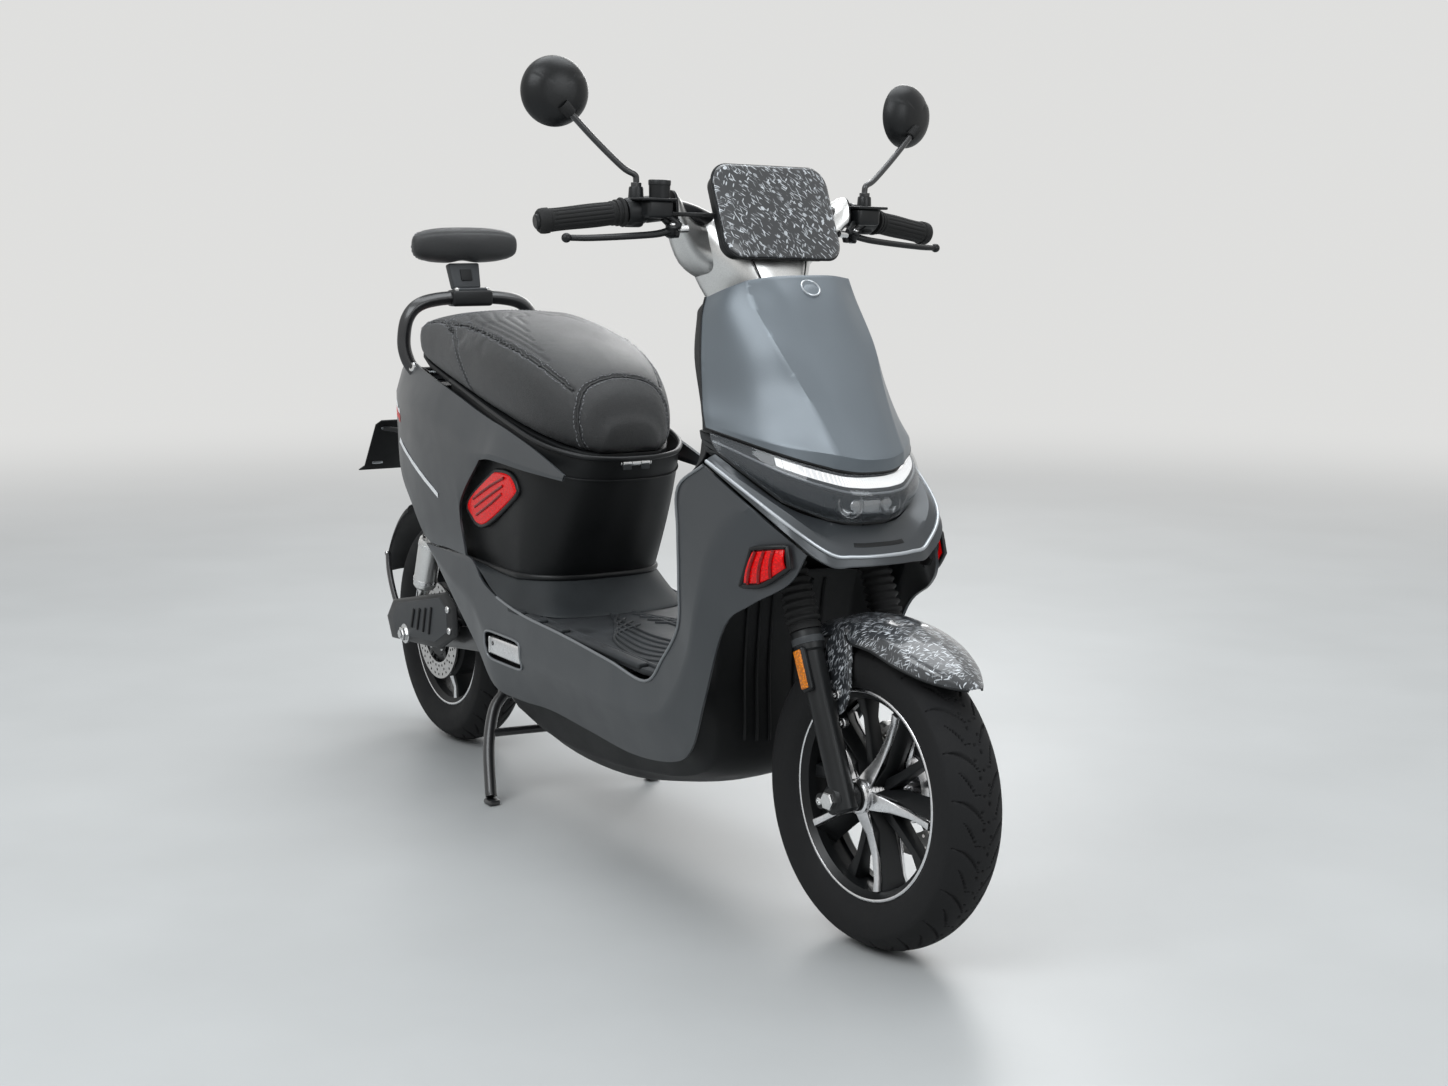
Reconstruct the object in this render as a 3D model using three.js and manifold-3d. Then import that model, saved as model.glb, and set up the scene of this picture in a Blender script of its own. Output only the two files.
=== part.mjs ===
// Seated electric scooter, millimetres, X forward, Y to the rider's left, Z up.
// The origin is on the ground below the middle of the bounding box.
import * as THREE from "three";
import { mergeVertices } from "three/addons/utils/BufferGeometryUtils.js";
import Module from "manifold-3d";

const wasm = await Module();
wasm.setup();

// Driving dimensions of the whole scooter
const WHEEL_BASE = 1347;
const WHEEL_RADIUS = 208;
const WHEEL_SIDES = 18;
const TYRE_WIDTH = 90;
const RIM_RADIUS = 141;
const RIM_WIDTH = 64;
const BODY_HALF_WIDTH = 170;
const COWL_TOP = 883;
const MIDDLE_TO_AXLE_MIDDLE = 30;

// Steering geometry; the scooter stands with the bar turned a little to the left
const CASTER_DEG = 24;
const TRAIL = 73;
const STEER_REST_DEG = 4;
const LEG_OUT = 70;
const LEG_LEAD = 8;
const LEG_RADIUS = 17;
const COLLAR_RADIUS = 21;
const STANCHION_RADIUS = 13;
const LEG_LENGTH = 226;
const BELLOWS_LENGTH = 116;
const YOKE_HEIGHT = 26;
const YOKE_MARGIN = 20;
const STEM_RADIUS = 14;
const HEAD_TUBE_RADIUS = 27;
const HEAD_TUBE_LENGTH = 170;
const RACE_RADIUS = 22;
const RACE_HEIGHT = 8;

// Clearances and common walls
const GAP = 0.3;
const SEAM = 0.8;
const PANEL_WALL = 3.5;
const THIN_WALL = 3;
const OVERRUN = 2;

// Wheels, brakes and axles
const AXLE_RADIUS = 8;
const NUT_RADIUS = 13;
const NUT_WIDTH = 10;
const FRONT_HUB_RADIUS = 26;
const FRONT_HUB_HALF = 46;
const MOTOR_RADIUS = 88;
const MOTOR_HALF = 44;
const RIM_WALL = 5;
const RIM_DROP = 16;
const SPOKE_COUNT = 5;
const SPOKE_PHASE_DEG = 66;
const SPOKE_WIDTH = 26;
const SPOKE_TIP_WIDTH = 16;
const SPOKE_DEPTH = 26;
const DISC_RADIUS = 90;
const DISC_BORE = 32;
const DISC_THICKNESS = 4;
const DISC_HOLES = 6;
const DISC_HOLE_RADIUS = 7;
// Front fork, fender and front wheel sizes
const LUG_RADIUS = 18;
const FENDER_WALL = 3;
const CALIPER_LENGTH = 44;
const CALIPER_WIDTH = 34;
const CALIPER_HEIGHT = 56;
const CALIPER_ANGLE_DEG = 158;
const BRACKET_THICKNESS = 1.7;
const BRACKET_HOOK_RADIUS = 3;
const RIB_COUNT = 10;
const BELLOWS_RADIUS = 24;
const BELLOWS_WAIST = 19.5;
const BELLOWS_BORE = 14.5;

// Handlebar, grips, levers and mirrors
const BAR_RADIUS = 11;
const BAR_ALONG = 1024;
const BAR_LEAD = 8;
const BAR_HALF = 332;
const BAR_BEND = 150;
const BAR_FORWARD = 20;
const BAR_RISE = 31;
const BAR_SWEEP = 30;
const BAR_DROP = 24;
const SLEEVE_RADIUS = 20;
const SLEEVE_LENGTH = 52;
const SLEEVE_TOP = 8;
const GRIP_FROM = 214;
const GRIP_RADIUS = 16;
const GRIP_CAP = 4;
const POD_FROM = 160;
const POD_RADIUS = 18;
const RESERVOIR_RADIUS = 14;
const RESERVOIR_HEIGHT = 26;
const MASTER_DEPTH = 34;
const MASTER_WIDTH = 40;
const MASTER_HEIGHT = 28;
const LEVER_PIVOT_OUT = 156;
const LEVER_PIVOT_FORWARD = 20;
const LEVER_PIVOT_DROP = 30;
const LEVER_PIN_RADIUS = 4;
const LEVER_BOSS_RADIUS = 8;
const LEVER_THICKNESS = 9;
const LEVER_TIP_OUT = 316;
const LEVER_TIP_FORWARD = 41;
const LEVER_TIP_DROP = 23;
const LEVER_RADIUS = 4.5;
const LEVER_BALL = 7;
const MIRROR_STEM_RADIUS = 4.5;
const MIRROR_BOSS_OUT = 196;
const MIRROR_RISE = 34;
const MIRROR_OUT = 300;
const MIRROR_HEIGHT = 155;
const MIRROR_FORWARD = -30;
const MIRROR_RADIUS = 47;
const MIRROR_DEPTH = 30;
const MIRROR_YAW_DEG = 12;
const MIRROR_BALL = 6;
const HOSE_RADIUS = 3;
const BUTTON_RADIUS = 6;
const BUTTON_HEIGHT = 5;
const BUTTON_TRAVEL = 2;

// Instrument panel and neck
const PANEL_HALF_WIDTH = 97;
const PANEL_WALL_FRONT = 4;
const PANEL_DEPTH = 34;
const NECK_WALL = 4;
const NECK_ARM_END = 146;

// Floor, tub, seat and tail
const MAT_THICKNESS = 12;
const FLOOR_FRONT_HEIGHT = 312;
const FLOOR_REAR_HEIGHT = 330;
const SEAT_NOSE_UNDER = 593.4;
const SEAT_SLOPE = 0.23;
const SEAT_PAN = 14;
const TUB_WALL = 4;
const TUB_FLOOR = 385;
const HINGE_X = 4;
const HINGE_DROP = 10;
const HINGE_PIN_RADIUS = 4;
const HINGE_KNUCKLE_RADIUS = 8;
const HINGE_HALF = 46;
const RAIL_TUBE_RADIUS = 11;
const FRAME_TUBE_RADIUS = 15;
const SIDE_TUBE_RADIUS = 11;
const SIDE_TUBE_OUT = 64;

// Rear suspension and stand
const SWING_PIVOT_BACK = 345;
const SWING_PIVOT_HEIGHT = 245;
const SWING_PIVOT_RADIUS = 9;
const SWING_EYE_RADIUS = 20;
const ARM_FROM = 76.5;
const ARM_THICKNESS = 8;
const ARM_HEIGHT = 40;
const COVER_FROM = 104;
const COVER_THICKNESS = 8;
const SHOCK_TOP_BACK = 555;
const SHOCK_TOP_HEIGHT = 475;
const SHOCK_FOOT_BACK = 640;
const SHOCK_FOOT_HEIGHT = 252;
const SHOCK_OUT = 93;
const SHOCK_EYE_RADIUS = 12;
const SHOCK_EYE_HALF = 7;
const SHOCK_PIN_RADIUS = 5;
const CAN_RADIUS = 21;
const CAN_FROM = 58;
const CAN_LENGTH = 94;
const ROD_RADIUS = 7;
const ROD_DEPTH = 50;
const PIVOT_PLAY = 1.6;
const STAND_PIVOT_BACK = 300;
const STAND_PIVOT_HEIGHT = 166;
const STAND_TUBE_RADIUS = 10;
const STAND_HALF = 96;
const PEG_LENGTH = 118;
const PEG_THICKNESS = 13;
const PEG_HEIGHT = 32;
const PEG_BACK = 174;
const PEG_BOTTOM = 252;
const PEG_PIN_RADIUS = 3;
const PEG_MARGIN = 7;
const POCKET_DEPTH = 24;

// Floor frame, body fixings and lamps
const FLOOR_BAR_WIDTH = 30;
const FLOOR_BAR_HEIGHT = 14;
const STUD_RADIUS = 3;
const STAND_LUG = 5;
const STAND_LUG_RADIUS = 18;
const STAND_FOOT_LENGTH = 42;
const STAND_FOOT_WIDTH = 24;
const RAIL_FOOT_OUT = 104;
const POST_RADIUS = 12;
const HOUSING_DEPTH = 30;
const HOUSING_WIDTH_SHARE = 0.985;
const BRIM_DEPTH = 3.9;
const LAMP_DEPTH = 50;
const LAMP_OUT = 30;
const LAMP_RADIUS = 17;
const LAMP_SLAB = 11.5;
const LAMP_PROUD = 6;
const KEY_RADIUS = 13;
const KEY_DEPTH = 9;
const PEG_FACE_OUT = 148;
const PEG_SINK = 2;
const SHIELD_STAY_ALONG = 740;
const SHIELD_STAY_REACH = 90;

// Seat, backrest, tail and inner units
const KNUCKLE_LENGTH = 16;
const SEAT_CHANNEL = 0.045;
const SEAT_STEPS = 16;
const PAD_HALF = 105;
const PAD_HEIGHT = 66;
const PAD_DEPTH = 55;
const PAD_BOW = 16;
const TAIL_LAMP_HALF = 90;
const PLATE_HALF = 90;
const TUB_HALF = 124;
const BATTERY_LENGTH = 200;
const BATTERY_WIDTH = 150;
const BATTERY_HEIGHT = 165;
const CONTROLLER_LENGTH = 180;
const CONTROLLER_HEIGHT = 60;
const HUGGER_RADIUS = 258;
const HUGGER_HALF = 54;
const NECK_SIZE = 98;
const REAR_CALIPER_DEG = 20;
const REAR_CALIPER_FROM = 36.5;
const REAR_CALIPER_LENGTH = 38;

// Colours
const paint = (color, roughness, metalness) => new THREE.MeshStandardMaterial({ color, roughness, metalness });
const gunmetal = paint(0x4a5056, 0.42, 0.6);
const cowlBlue = paint(0x74828d, 0.38, 0.5);
const blackPlastic = paint(0x17191b, 0.55, 0);
const blackRubber = paint(0x121314, 0.85, 0);
const blackSteel = paint(0x1c1e20, 0.45, 0.7);
const silver = paint(0xb9bdbf, 0.3, 0.9);
const castSilver = paint(0xa3a6a6, 0.35, 0.9);
const leatherBlack = paint(0x1b1d1f, 0.6, 0);
const redLens = paint(0xc40f14, 0.2, 0);
const clearLens = paint(0xdfe6ea, 0.08, 0);
const patterned = paint(0x2b2d2f, 0.25, 0.1);
const brakeSteel = paint(0x9a9da0, 0.3, 1);
const caseGrey = paint(0x55595c, 0.5, 0.2);

// Points of the body follow the wheel base, the half width and the cowl height
const place = ([x, y, z]) => new THREE.Vector3(x * WHEEL_BASE, y * BODY_HALF_WIDTH, z * COWL_TOP);
const mirrored = (point) => new THREE.Vector3(point.x, -point.y, point.z);
const onSide = (shares, side) => shares.map((share) => place(share)).map((p) => (side > 0 ? p : mirrored(p)));
const spot = (x, y, z) => new THREE.Vector3(x, y, z);

// Turns a closed geometry into a solid that can be joined and cut
const solid = (geometry) => {
  const bare = geometry.clone();
  bare.deleteAttribute("normal");
  bare.deleteAttribute("uv");
  const merged = mergeVertices(bare);
  const triVerts = merged.index ? merged.index.array : Array.from({ length: merged.attributes.position.count }, (_, i) => i);
  return new wasm.Manifold(
    new wasm.Mesh({ numProp: 3, vertProperties: merged.attributes.position.array, triVerts: Uint32Array.from(triVerts) })
  );
};

const joined = (pieces) => pieces.reduce((whole, piece) => whole.add(piece));
const cutBy = (whole, tools) => tools.reduce((rest, tool) => rest.subtract(tool), whole);

// Gives a solid back as a named mesh
const meshOf = (name, body, material) => {
  const { vertProperties, triVerts } = body.getMesh();
  const geometry = new THREE.BufferGeometry();
  geometry.setAttribute("position", new THREE.BufferAttribute(vertProperties, 3));
  geometry.setIndex(new THREE.BufferAttribute(triVerts, 1));
  const mesh = new THREE.Mesh(geometry, material);
  mesh.name = name;
  return mesh;
};

// A round bar between two points
const rod = (from, to, radius, sides = 10) => {
  const length = from.distanceTo(to);
  const geometry = new THREE.CylinderGeometry(radius, radius, length, sides);
  const direction = to.clone().sub(from).normalize();
  geometry.applyQuaternion(new THREE.Quaternion().setFromUnitVectors(spot(0, 1, 0), direction));
  const middle = from.clone().add(to).multiplyScalar(0.5);
  geometry.translate(middle.x, middle.y, middle.z);
  return solid(geometry);
};

const block = (middle, size, turn = new THREE.Euler()) => {
  const geometry = new THREE.BoxGeometry(...size);
  geometry.applyMatrix4(new THREE.Matrix4().makeRotationFromEuler(turn).setPosition(middle));
  return solid(geometry);
};

// A ball round a point
// A shaft turns freely in a bore of this radius, flats and all
const roomFor = (radius, sides) => (radius + GAP) / Math.cos(Math.PI / sides);

const ballAt = (middle, radius) => {
  const geometry = new THREE.SphereGeometry(radius, 8, 4);
  geometry.translate(middle.x, middle.y, middle.z);
  return solid(geometry);
};

// A tube along a smooth route
const tube = (route, radius, sides = 10, steps = 24, tension = 0.5) => {
  const section = new THREE.Shape();
  section.absarc(0, 0, radius, 0, Math.PI * 2, false);
  const path = new THREE.CatmullRomCurve3(route, false, "catmullrom", tension);
  return solid(
    new THREE.ExtrudeGeometry(section, { steps, curveSegments: sides / 2, extrudePath: path, bevelEnabled: false })
  );
};

// A flat plate: an outline of X and Z points with its faces at two Y places
const plate = (outline, from, to) => {
  const shape = new THREE.Shape(outline.map(([x, z]) => new THREE.Vector2(x, z)));
  const depth = Math.abs(to - from);
  const geometry = new THREE.ExtrudeGeometry(shape, { depth, bevelEnabled: false });
  geometry.rotateX(Math.PI / 2);
  geometry.translate(0, Math.max(from, to), 0);
  return solid(geometry);
};

// A turned piece about a line along Y: profile points are radius and place along Y
const turned = (profile, x, z, segments = 40) => {
  const geometry = new THREE.LatheGeometry(profile.map(([r, y]) => new THREE.Vector2(r, y)), segments);
  geometry.translate(x, 0, z);
  return outward(solid(geometry), geometry);
};

// Reverses the faces of a solid that came out inside out
const outward = (body, geometry) => {
  if (body.volume() > 0) return body;
  const flipped = geometry.clone();
  const order = flipped.index.array;
  for (let i = 0; i < order.length; i += 3) {
    [order[i], order[i + 1]] = [order[i + 1], order[i]];
  }
  return solid(flipped);
};

const fromGrid = (points, triangles) => {
  const geometry = new THREE.BufferGeometry();
  geometry.setAttribute("position", new THREE.Float32BufferAttribute(points.flatMap((p) => [p.x, p.y, p.z]), 3));
  geometry.setIndex(triangles);
  return outward(solid(geometry), geometry);
};

// Draws extra points between given points on a smooth line
const refined = (points, fine) => {
  if (fine < 2) return points;
  return new THREE.CatmullRomCurve3(points).getPoints((points.length - 1) * fine).map((_, i) => {
    const curve = new THREE.CatmullRomCurve3(points, false, "centripetal");
    return curve.getPoint(i / ((points.length - 1) * fine));
  });
};

const refinedRows = (rows, alongFine, acrossFine) => {
  const long = rows.map((row) => refined(row, acrossFine));
  const columns = long[0].map((_, j) => refined(long.map((row) => row[j]), alongFine));
  return columns[0].map((_, i) => columns.map((column) => column[i]));
};

// A shell whose outer face passes through rows of points, thickened towards a point inside
const skin = (rows, wall, inside, alongFine = 1, acrossFine = 1) => {
  const grid = refinedRows(rows, alongFine, acrossFine);
  const count = grid.length;
  const width = grid[0].length;
  const at = (i, j) => grid[Math.min(Math.max(i, 0), count - 1)][Math.min(Math.max(j, 0), width - 1)];
  const normalAt = (i, j) => {
    const along = at(i + 1, j).clone().sub(at(i - 1, j));
    const across = at(i, j + 1).clone().sub(at(i, j - 1));
    return along.cross(across).normalize();
  };
  const normals = grid.map((row, i) => row.map((_, j) => normalAt(i, j)));
  const votes = grid.flatMap((row, i) => row.map((p, j) => Math.sign(normals[i][j].dot(inside.clone().sub(p)))));
  const way = Math.sign(votes.reduce((sum, vote) => sum + vote, 0));
  const outer = grid.flat();
  const inner = grid.flatMap((row, i) => row.map((p, j) => p.clone().addScaledVector(normals[i][j], way * wall)));
  const triangles = [];
  const quad = (a, b, c, d) => triangles.push(a, b, c, a, c, d);
  const offset = outer.length;
  for (let i = 0; i < count - 1; i += 1) {
    for (let j = 0; j < width - 1; j += 1) {
      const a = i * width + j;
      quad(a, a + 1, a + width + 1, a + width);
      quad(offset + a, offset + a + width, offset + a + width + 1, offset + a + 1);
    }
  }
  for (let j = 0; j < width - 1; j += 1) {
    const last = (count - 1) * width + j;
    quad(j, offset + j, offset + j + 1, j + 1);
    quad(last, last + 1, offset + last + 1, offset + last);
  }
  for (let i = 0; i < count - 1; i += 1) {
    const a = i * width;
    const b = a + width - 1;
    quad(a, a + width, offset + a + width, offset + a);
    quad(b, offset + b, offset + b + width, b + width);
  }
  return fromGrid([...outer, ...inner], triangles);
};

// A closed body through rings of points, with flat fans as ends
const loft = (rings) => {
  const size = rings[0].length;
  const points = rings.flat();
  const triangles = [];
  for (let i = 0; i < rings.length - 1; i += 1) {
    for (let j = 0; j < size; j += 1) {
      const a = i * size + j;
      const b = i * size + ((j + 1) % size);
      triangles.push(a, b, b + size, a, b + size, a + size);
    }
  }
  const cap = (ring, start, reverse) => {
    const middle = ring.reduce((sum, p) => sum.add(p), spot(0, 0, 0)).multiplyScalar(1 / size);
    points.push(middle);
    const tip = points.length - 1;
    for (let j = 0; j < size; j += 1) {
      const a = start + j;
      const b = start + ((j + 1) % size);
      triangles.push(...(reverse ? [tip, b, a] : [tip, a, b]));
    }
  };
  cap(rings[0], 0, true);
  cap(rings[rings.length - 1], (rings.length - 1) * size, false);
  return fromGrid(points, triangles);
};

// A point a little way from a face towards the middle of its shell
const inward = (point, core, depth) => point.clone().addScaledVector(core.clone().sub(point).normalize(), depth);

// Closes an outline that is given on one side of the middle plane
const closedOutline = (half) => [...half, ...half.filter((p) => p.y !== 0).reverse().map(mirrored)];

// Makes full rows from rows given on one side of the middle plane
const fullRow = (near) => [...near.filter((p) => p.y !== 0).map(mirrored).reverse(), ...near];
const bothSides = (halfRows) => halfRows.map((row) => fullRow(row.map(place)));

// Steering axis: distances along it, ahead of it and to the side
const caster = THREE.MathUtils.degToRad(CASTER_DEG);
const axisUp = spot(-Math.sin(caster), 0, Math.cos(caster));
const axisAhead = spot(Math.cos(caster), 0, Math.sin(caster));
const frontAxleX = WHEEL_BASE / 2;
const rearAxleX = -WHEEL_BASE / 2;
const axisFoot = spot(frontAxleX + TRAIL, 0, 0);
const steerSpot = (along, out, ahead) =>
  axisFoot.clone().addScaledVector(axisUp, along).addScaledVector(axisAhead, ahead).add(spot(0, out, 0));
const axleAlong = TRAIL * Math.sin(caster) + WHEEL_RADIUS * Math.cos(caster);
const axleAhead = WHEEL_RADIUS * Math.sin(caster) - TRAIL * Math.cos(caster);
const legAhead = axleAhead + LEG_LEAD;
const legTop = axleAlong + LEG_LENGTH;
const yokeBottom = legTop + BELLOWS_LENGTH + 2 * GAP;
const yokeTop = yokeBottom + YOKE_HEIGHT;
const headBottom = yokeTop + RACE_HEIGHT + GAP;
const headTop = headBottom + HEAD_TUBE_LENGTH;

const fullTurn = Math.PI * 2;
const polar = (x, z, radius, angle) => [x + radius * Math.cos(angle), z + radius * Math.sin(angle)];
const degrees = THREE.MathUtils.degToRad;

// Places of the body, as shares of the wheel base, the half width and the cowl height
const bodyCoreShares = [0.3192, 0, 0.6795];
const fairingCoreShares = [0.1114, 0.2353, 0.3737];
const sidePanelCoreShares = [-0.2227, 0.1765, 0.6342];
const bellyCoreShares = [0.0742, 0, 0.3398];
const lampMiddleShares = [0.4781, 0, 0.6772];
const innerShieldShares = [
  [[0.2762, 0, 0.3601], [0.2732, 0.3529, 0.3601], [0.2658, 0.6353, 0.3601], [0.2509, 0.8412, 0.3613]],
  [[0.291, 0, 0.487], [0.291, 0.3529, 0.487], [0.294, 0.6588, 0.487], [0.3044, 0.8941, 0.4892]],
  [[0.288, 0, 0.5889], [0.2895, 0.3529, 0.5889], [0.2984, 0.6941, 0.5889], [0.3118, 0.9294, 0.5889]],
  [[0.2762, 0, 0.6795], [0.2791, 0.3529, 0.6795], [0.2925, 0.6588, 0.6795], [0.314, 0.9353, 0.6772]],
  [[0.2658, 0, 0.7361], [0.2687, 0.3529, 0.7361], [0.288, 0.6235, 0.7339], [0.3378, 0.8294, 0.7305]],
  [[0.2569, 0, 0.7814], [0.2613, 0.3529, 0.7814], [0.2858, 0.6, 0.7814], [0.3311, 0.8118, 0.7837]],
  [[0.2316, 0, 0.8664], [0.2361, 0.3235, 0.8664], [0.2598, 0.5588, 0.8698], [0.3059, 0.7059, 0.8777]],
  [[0.2197, 0, 0.9162], [0.2242, 0.2941, 0.9196], [0.2569, 0.5176, 0.9411], [0.294, 0.5941, 0.9649]],
];
// Half width and distance ahead of the axis, as shares of the neck size
const deckShares = [[0, -0.82], [0.48, -0.76], [0.86, -0.26], [0.98, 0.34], [0.9, 0.7], [0.72, 1], [0.4, 1.12], [0, 1.15]];
const keyShares = [0.2613, -0.3647, 0.7814];
const frontLampShares = [[0.4343, 0.8765, 0.6048], [0.4699, 0.7353, 0.6127], [0.4751, 0.7412, 0.5821], [0.4454, 0.8353, 0.5527], [0.4172, 0.8882, 0.5459]];
const rearLampShares = [
  [-0.2472, 0.7882, 0.5413], [-0.2361, 0.7882, 0.5685], [-0.1752, 0.7882, 0.6206], [-0.1574, 0.7882, 0.6297], [-0.1225, 0.7882, 0.6285],
  [-0.1047, 0.7882, 0.6082], [-0.1114, 0.7882, 0.5878], [-0.1901, 0.7882, 0.5243], [-0.2242, 0.7882, 0.5198],
];
// Columns run from the rear along the floor and up the leg shield: upper edge, middle and outer edge
const fairingShares = [
  [[-0.3667, 0.8353, 0.4541], [-0.3549, 0.8294, 0.4417], [-0.343, 0.8235, 0.427]],
  [[-0.297, 0.8529, 0.4541], [-0.2895, 0.8647, 0.4077], [-0.2821, 0.8235, 0.3579]],
  [[-0.2227, 0.8647, 0.4553], [-0.2212, 0.8765, 0.3737], [-0.2227, 0.8118, 0.2865]],
  [[-0.1856, 0.8765, 0.419], [-0.1782, 0.8824, 0.3228], [-0.1774, 0.7941, 0.222]],
  [[-0.1411, 0.8824, 0.3986], [-0.1262, 0.8824, 0.3058], [-0.1188, 0.7529, 0.2106]],
  [[-0.0668, 0.8941, 0.3828], [-0.0445, 0.8882, 0.2967], [-0.0371, 0.7353, 0.2152]],
  [[0.0371, 0.9, 0.3737], [0.052, 0.8941, 0.2922], [0.0594, 0.7353, 0.2084]],
  [[0.1485, 0.9059, 0.3601], [0.1596, 0.9059, 0.2831], [0.1633, 0.7412, 0.2016]],
  [[0.2316, 0.9118, 0.3488], [0.245, 0.9118, 0.2945], [0.2561, 0.7647, 0.2197]],
  [[0.2717, 0.9235, 0.3964], [0.2895, 0.9294, 0.3398], [0.3059, 0.8118, 0.2582]],
  [[0.3081, 0.9412, 0.4587], [0.3267, 0.9529, 0.4134], [0.346, 0.8765, 0.3511]],
  [[0.3177, 0.9765, 0.5323], [0.3526, 0.9882, 0.4983], [0.3875, 0.8941, 0.4757]],
  [[0.32, 0.9941, 0.6116], [0.3749, 0.9882, 0.5776], [0.4306, 0.8588, 0.5198]],
  [[0.3222, 1, 0.6795], [0.4009, 0.9412, 0.6342], [0.4692, 0.7059, 0.5572]],
  [[0.3593, 0.9412, 0.718], [0.4306, 0.8706, 0.6659], [0.4818, 0.6118, 0.6014]],
];
const bellyShares = [
  [[-0.1707, 0, 0.1699], [-0.1707, 0.3529, 0.1699], [-0.167, 0.5765, 0.1778], [-0.1648, 0.7059, 0.2174]],
  [[-0.0742, 0, 0.1178], [-0.0742, 0.3529, 0.1223], [-0.0742, 0.5765, 0.1529], [-0.0742, 0.6941, 0.2152]],
  [[0.0594, 0, 0.1133], [0.0594, 0.3529, 0.12], [0.0594, 0.5765, 0.1529], [0.0594, 0.6882, 0.2129]],
  [[0.1826, 0, 0.1438], [0.1826, 0.3235, 0.1506], [0.1826, 0.5647, 0.1699], [0.1856, 0.6941, 0.2084]],
  [[0.2524, 0, 0.1721], [0.2524, 0.3235, 0.1789], [0.2561, 0.5765, 0.1925], [0.2569, 0.7118, 0.2265]],
  [[0.3029, 0, 0.2061], [0.3014, 0.3235, 0.2106], [0.2984, 0.5882, 0.2242], [0.2925, 0.7471, 0.2514]],
  [[0.3192, 0, 0.2605], [0.3177, 0.3235, 0.265], [0.3133, 0.6, 0.2786], [0.3059, 0.7765, 0.3012]],
  [[0.3177, 0, 0.3737], [0.3177, 0.3235, 0.376], [0.3177, 0.6235, 0.3851], [0.3267, 0.8118, 0.3851]],
  [[0.3252, 0, 0.487], [0.3252, 0.3235, 0.487], [0.3296, 0.6471, 0.487], [0.3489, 0.8353, 0.4813]],
  [[0.3333, 0, 0.5345], [0.3333, 0.3235, 0.5345], [0.3385, 0.6471, 0.5277], [0.3667, 0.8176, 0.5074]],
];
const matShares = [[0.2687, 0, 0.3624], [0.2613, 0.5882, 0.3624], [0.2361, 0.8353, 0.3624], [0.2153, 0.8706, 0.3624], [-0.0668, 0.8588, 0.3737], [-0.1232, 0.8412, 0.3737], [-0.1232, 0, 0.3737]];
// Half outline of the tub from the back round to the nose, low down and at the rim
const tubLowShares = [[-0.3118, 0, 0.436], [-0.3118, 0.6941, 0.436], [-0.1485, 0.7353, 0.436], [-0.1114, 0.7, 0.436], [-0.0831, 0.5176, 0.436], [-0.0728, 0.2647, 0.436], [-0.072, 0, 0.436]];
const tubTopShares = [[-0.3118, 0, 0.6795], [-0.3118, 0.7176, 0.6795], [-0.1485, 0.7529, 0.6795], [-0.0594, 0.7176, 0.6795], [-0.0119, 0.5176, 0.6795], [0.0045, 0.2647, 0.6795], [0.0074, 0, 0.6795]];
const TUB_MIDDLE_SHARE = -0.1856;
const PAN_WIDTH_SHARE = 0.955;
// X, half width and crown height of the seat from the back to the nose
const seatShares = [
  [-0.4425, 0.5176, 0.8743], [-0.4291, 0.6588, 0.889], [-0.386, 0.7412, 0.9003], [-0.3341, 0.7647, 0.9049],
  [-0.2524, 0.7765, 0.9026], [-0.1707, 0.7647, 0.8845], [-0.0965, 0.7176, 0.8573], [-0.0475, 0.6118, 0.8233],
  [-0.0208, 0.4706, 0.786], [-0.0089, 0.3294, 0.7418],
];
const seatChannelShares = [0.3, 0.86];
// Columns of the rear side panel from the tail to the arrow tip: lower edge, crease, upper edge
const sidePanelShares = [
  [[-0.5122, 0.6471, 0.6795], [-0.5122, 0.6412, 0.7361], [-0.5122, 0.5765, 0.7814]],
  [[-0.4781, 0.7294, 0.5832], [-0.4751, 0.7235, 0.7248], [-0.4751, 0.6235, 0.8063]],
  [[-0.4276, 0.7941, 0.5255], [-0.4157, 0.8, 0.7203], [-0.4157, 0.6882, 0.7995]],
  [[-0.3675, 0.8353, 0.4632], [-0.3563, 0.8353, 0.7203], [-0.3341, 0.7765, 0.7746]],
  [[-0.297, 0.8529, 0.4632], [-0.2895, 0.8588, 0.7067], [-0.2747, 0.8, 0.7565]],
  [[-0.2613, 0.8647, 0.4983], [-0.2487, 0.8706, 0.6931], [-0.2413, 0.8059, 0.7429]],
  [[-0.245, 0.8706, 0.5663], [-0.219, 0.8765, 0.6863], [-0.2116, 0.8059, 0.7327]],
  [[-0.1886, 0.8706, 0.6455], [-0.1782, 0.8765, 0.6795], [-0.1707, 0.8059, 0.7191]],
  [[-0.1574, 0.8706, 0.6501], [-0.1448, 0.8647, 0.6772], [-0.1336, 0.8059, 0.7089]],
  [[-0.0742, 0.8353, 0.6421], [-0.0668, 0.8294, 0.6614], [-0.0594, 0.8, 0.6818]],
  [[0.0119, 0.7882, 0.6365], [0.0141, 0.7941, 0.6421], [0.0163, 0.7882, 0.6478]],
];
const tailLampShares = [[-0.5019, 0, 0.6931], [-0.5019, 0, 0.7814], [-0.5197, 0, 0.7656], [-0.5212, 0, 0.6999]];
const plateShares = [[-0.6399, 0, 0.658], [-0.6941, 0, 0.5447]];
const plateArmShares = [[-0.4532, 0, 0.6795], [-0.4751, 0, 0.675], [-0.5642, 0, 0.6512]];
const railShares = [
  [-0.4499, 0, 0.9287], [-0.4499, 0.3529, 0.9264], [-0.4491, 0.5882, 0.9151], [-0.4506, 0.7118, 0.8879], [-0.4543, 0.7412, 0.8437], [-0.4521, 0.7176, 0.8109],
  [-0.4454, 0.6588, 0.786], [-0.4321, 0.6, 0.7746],
];
const postShares = [[-0.4499, 0, 0.9309], [-0.4588, 0, 0.9581], [-0.4751, 0, 0.9807]];
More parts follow.
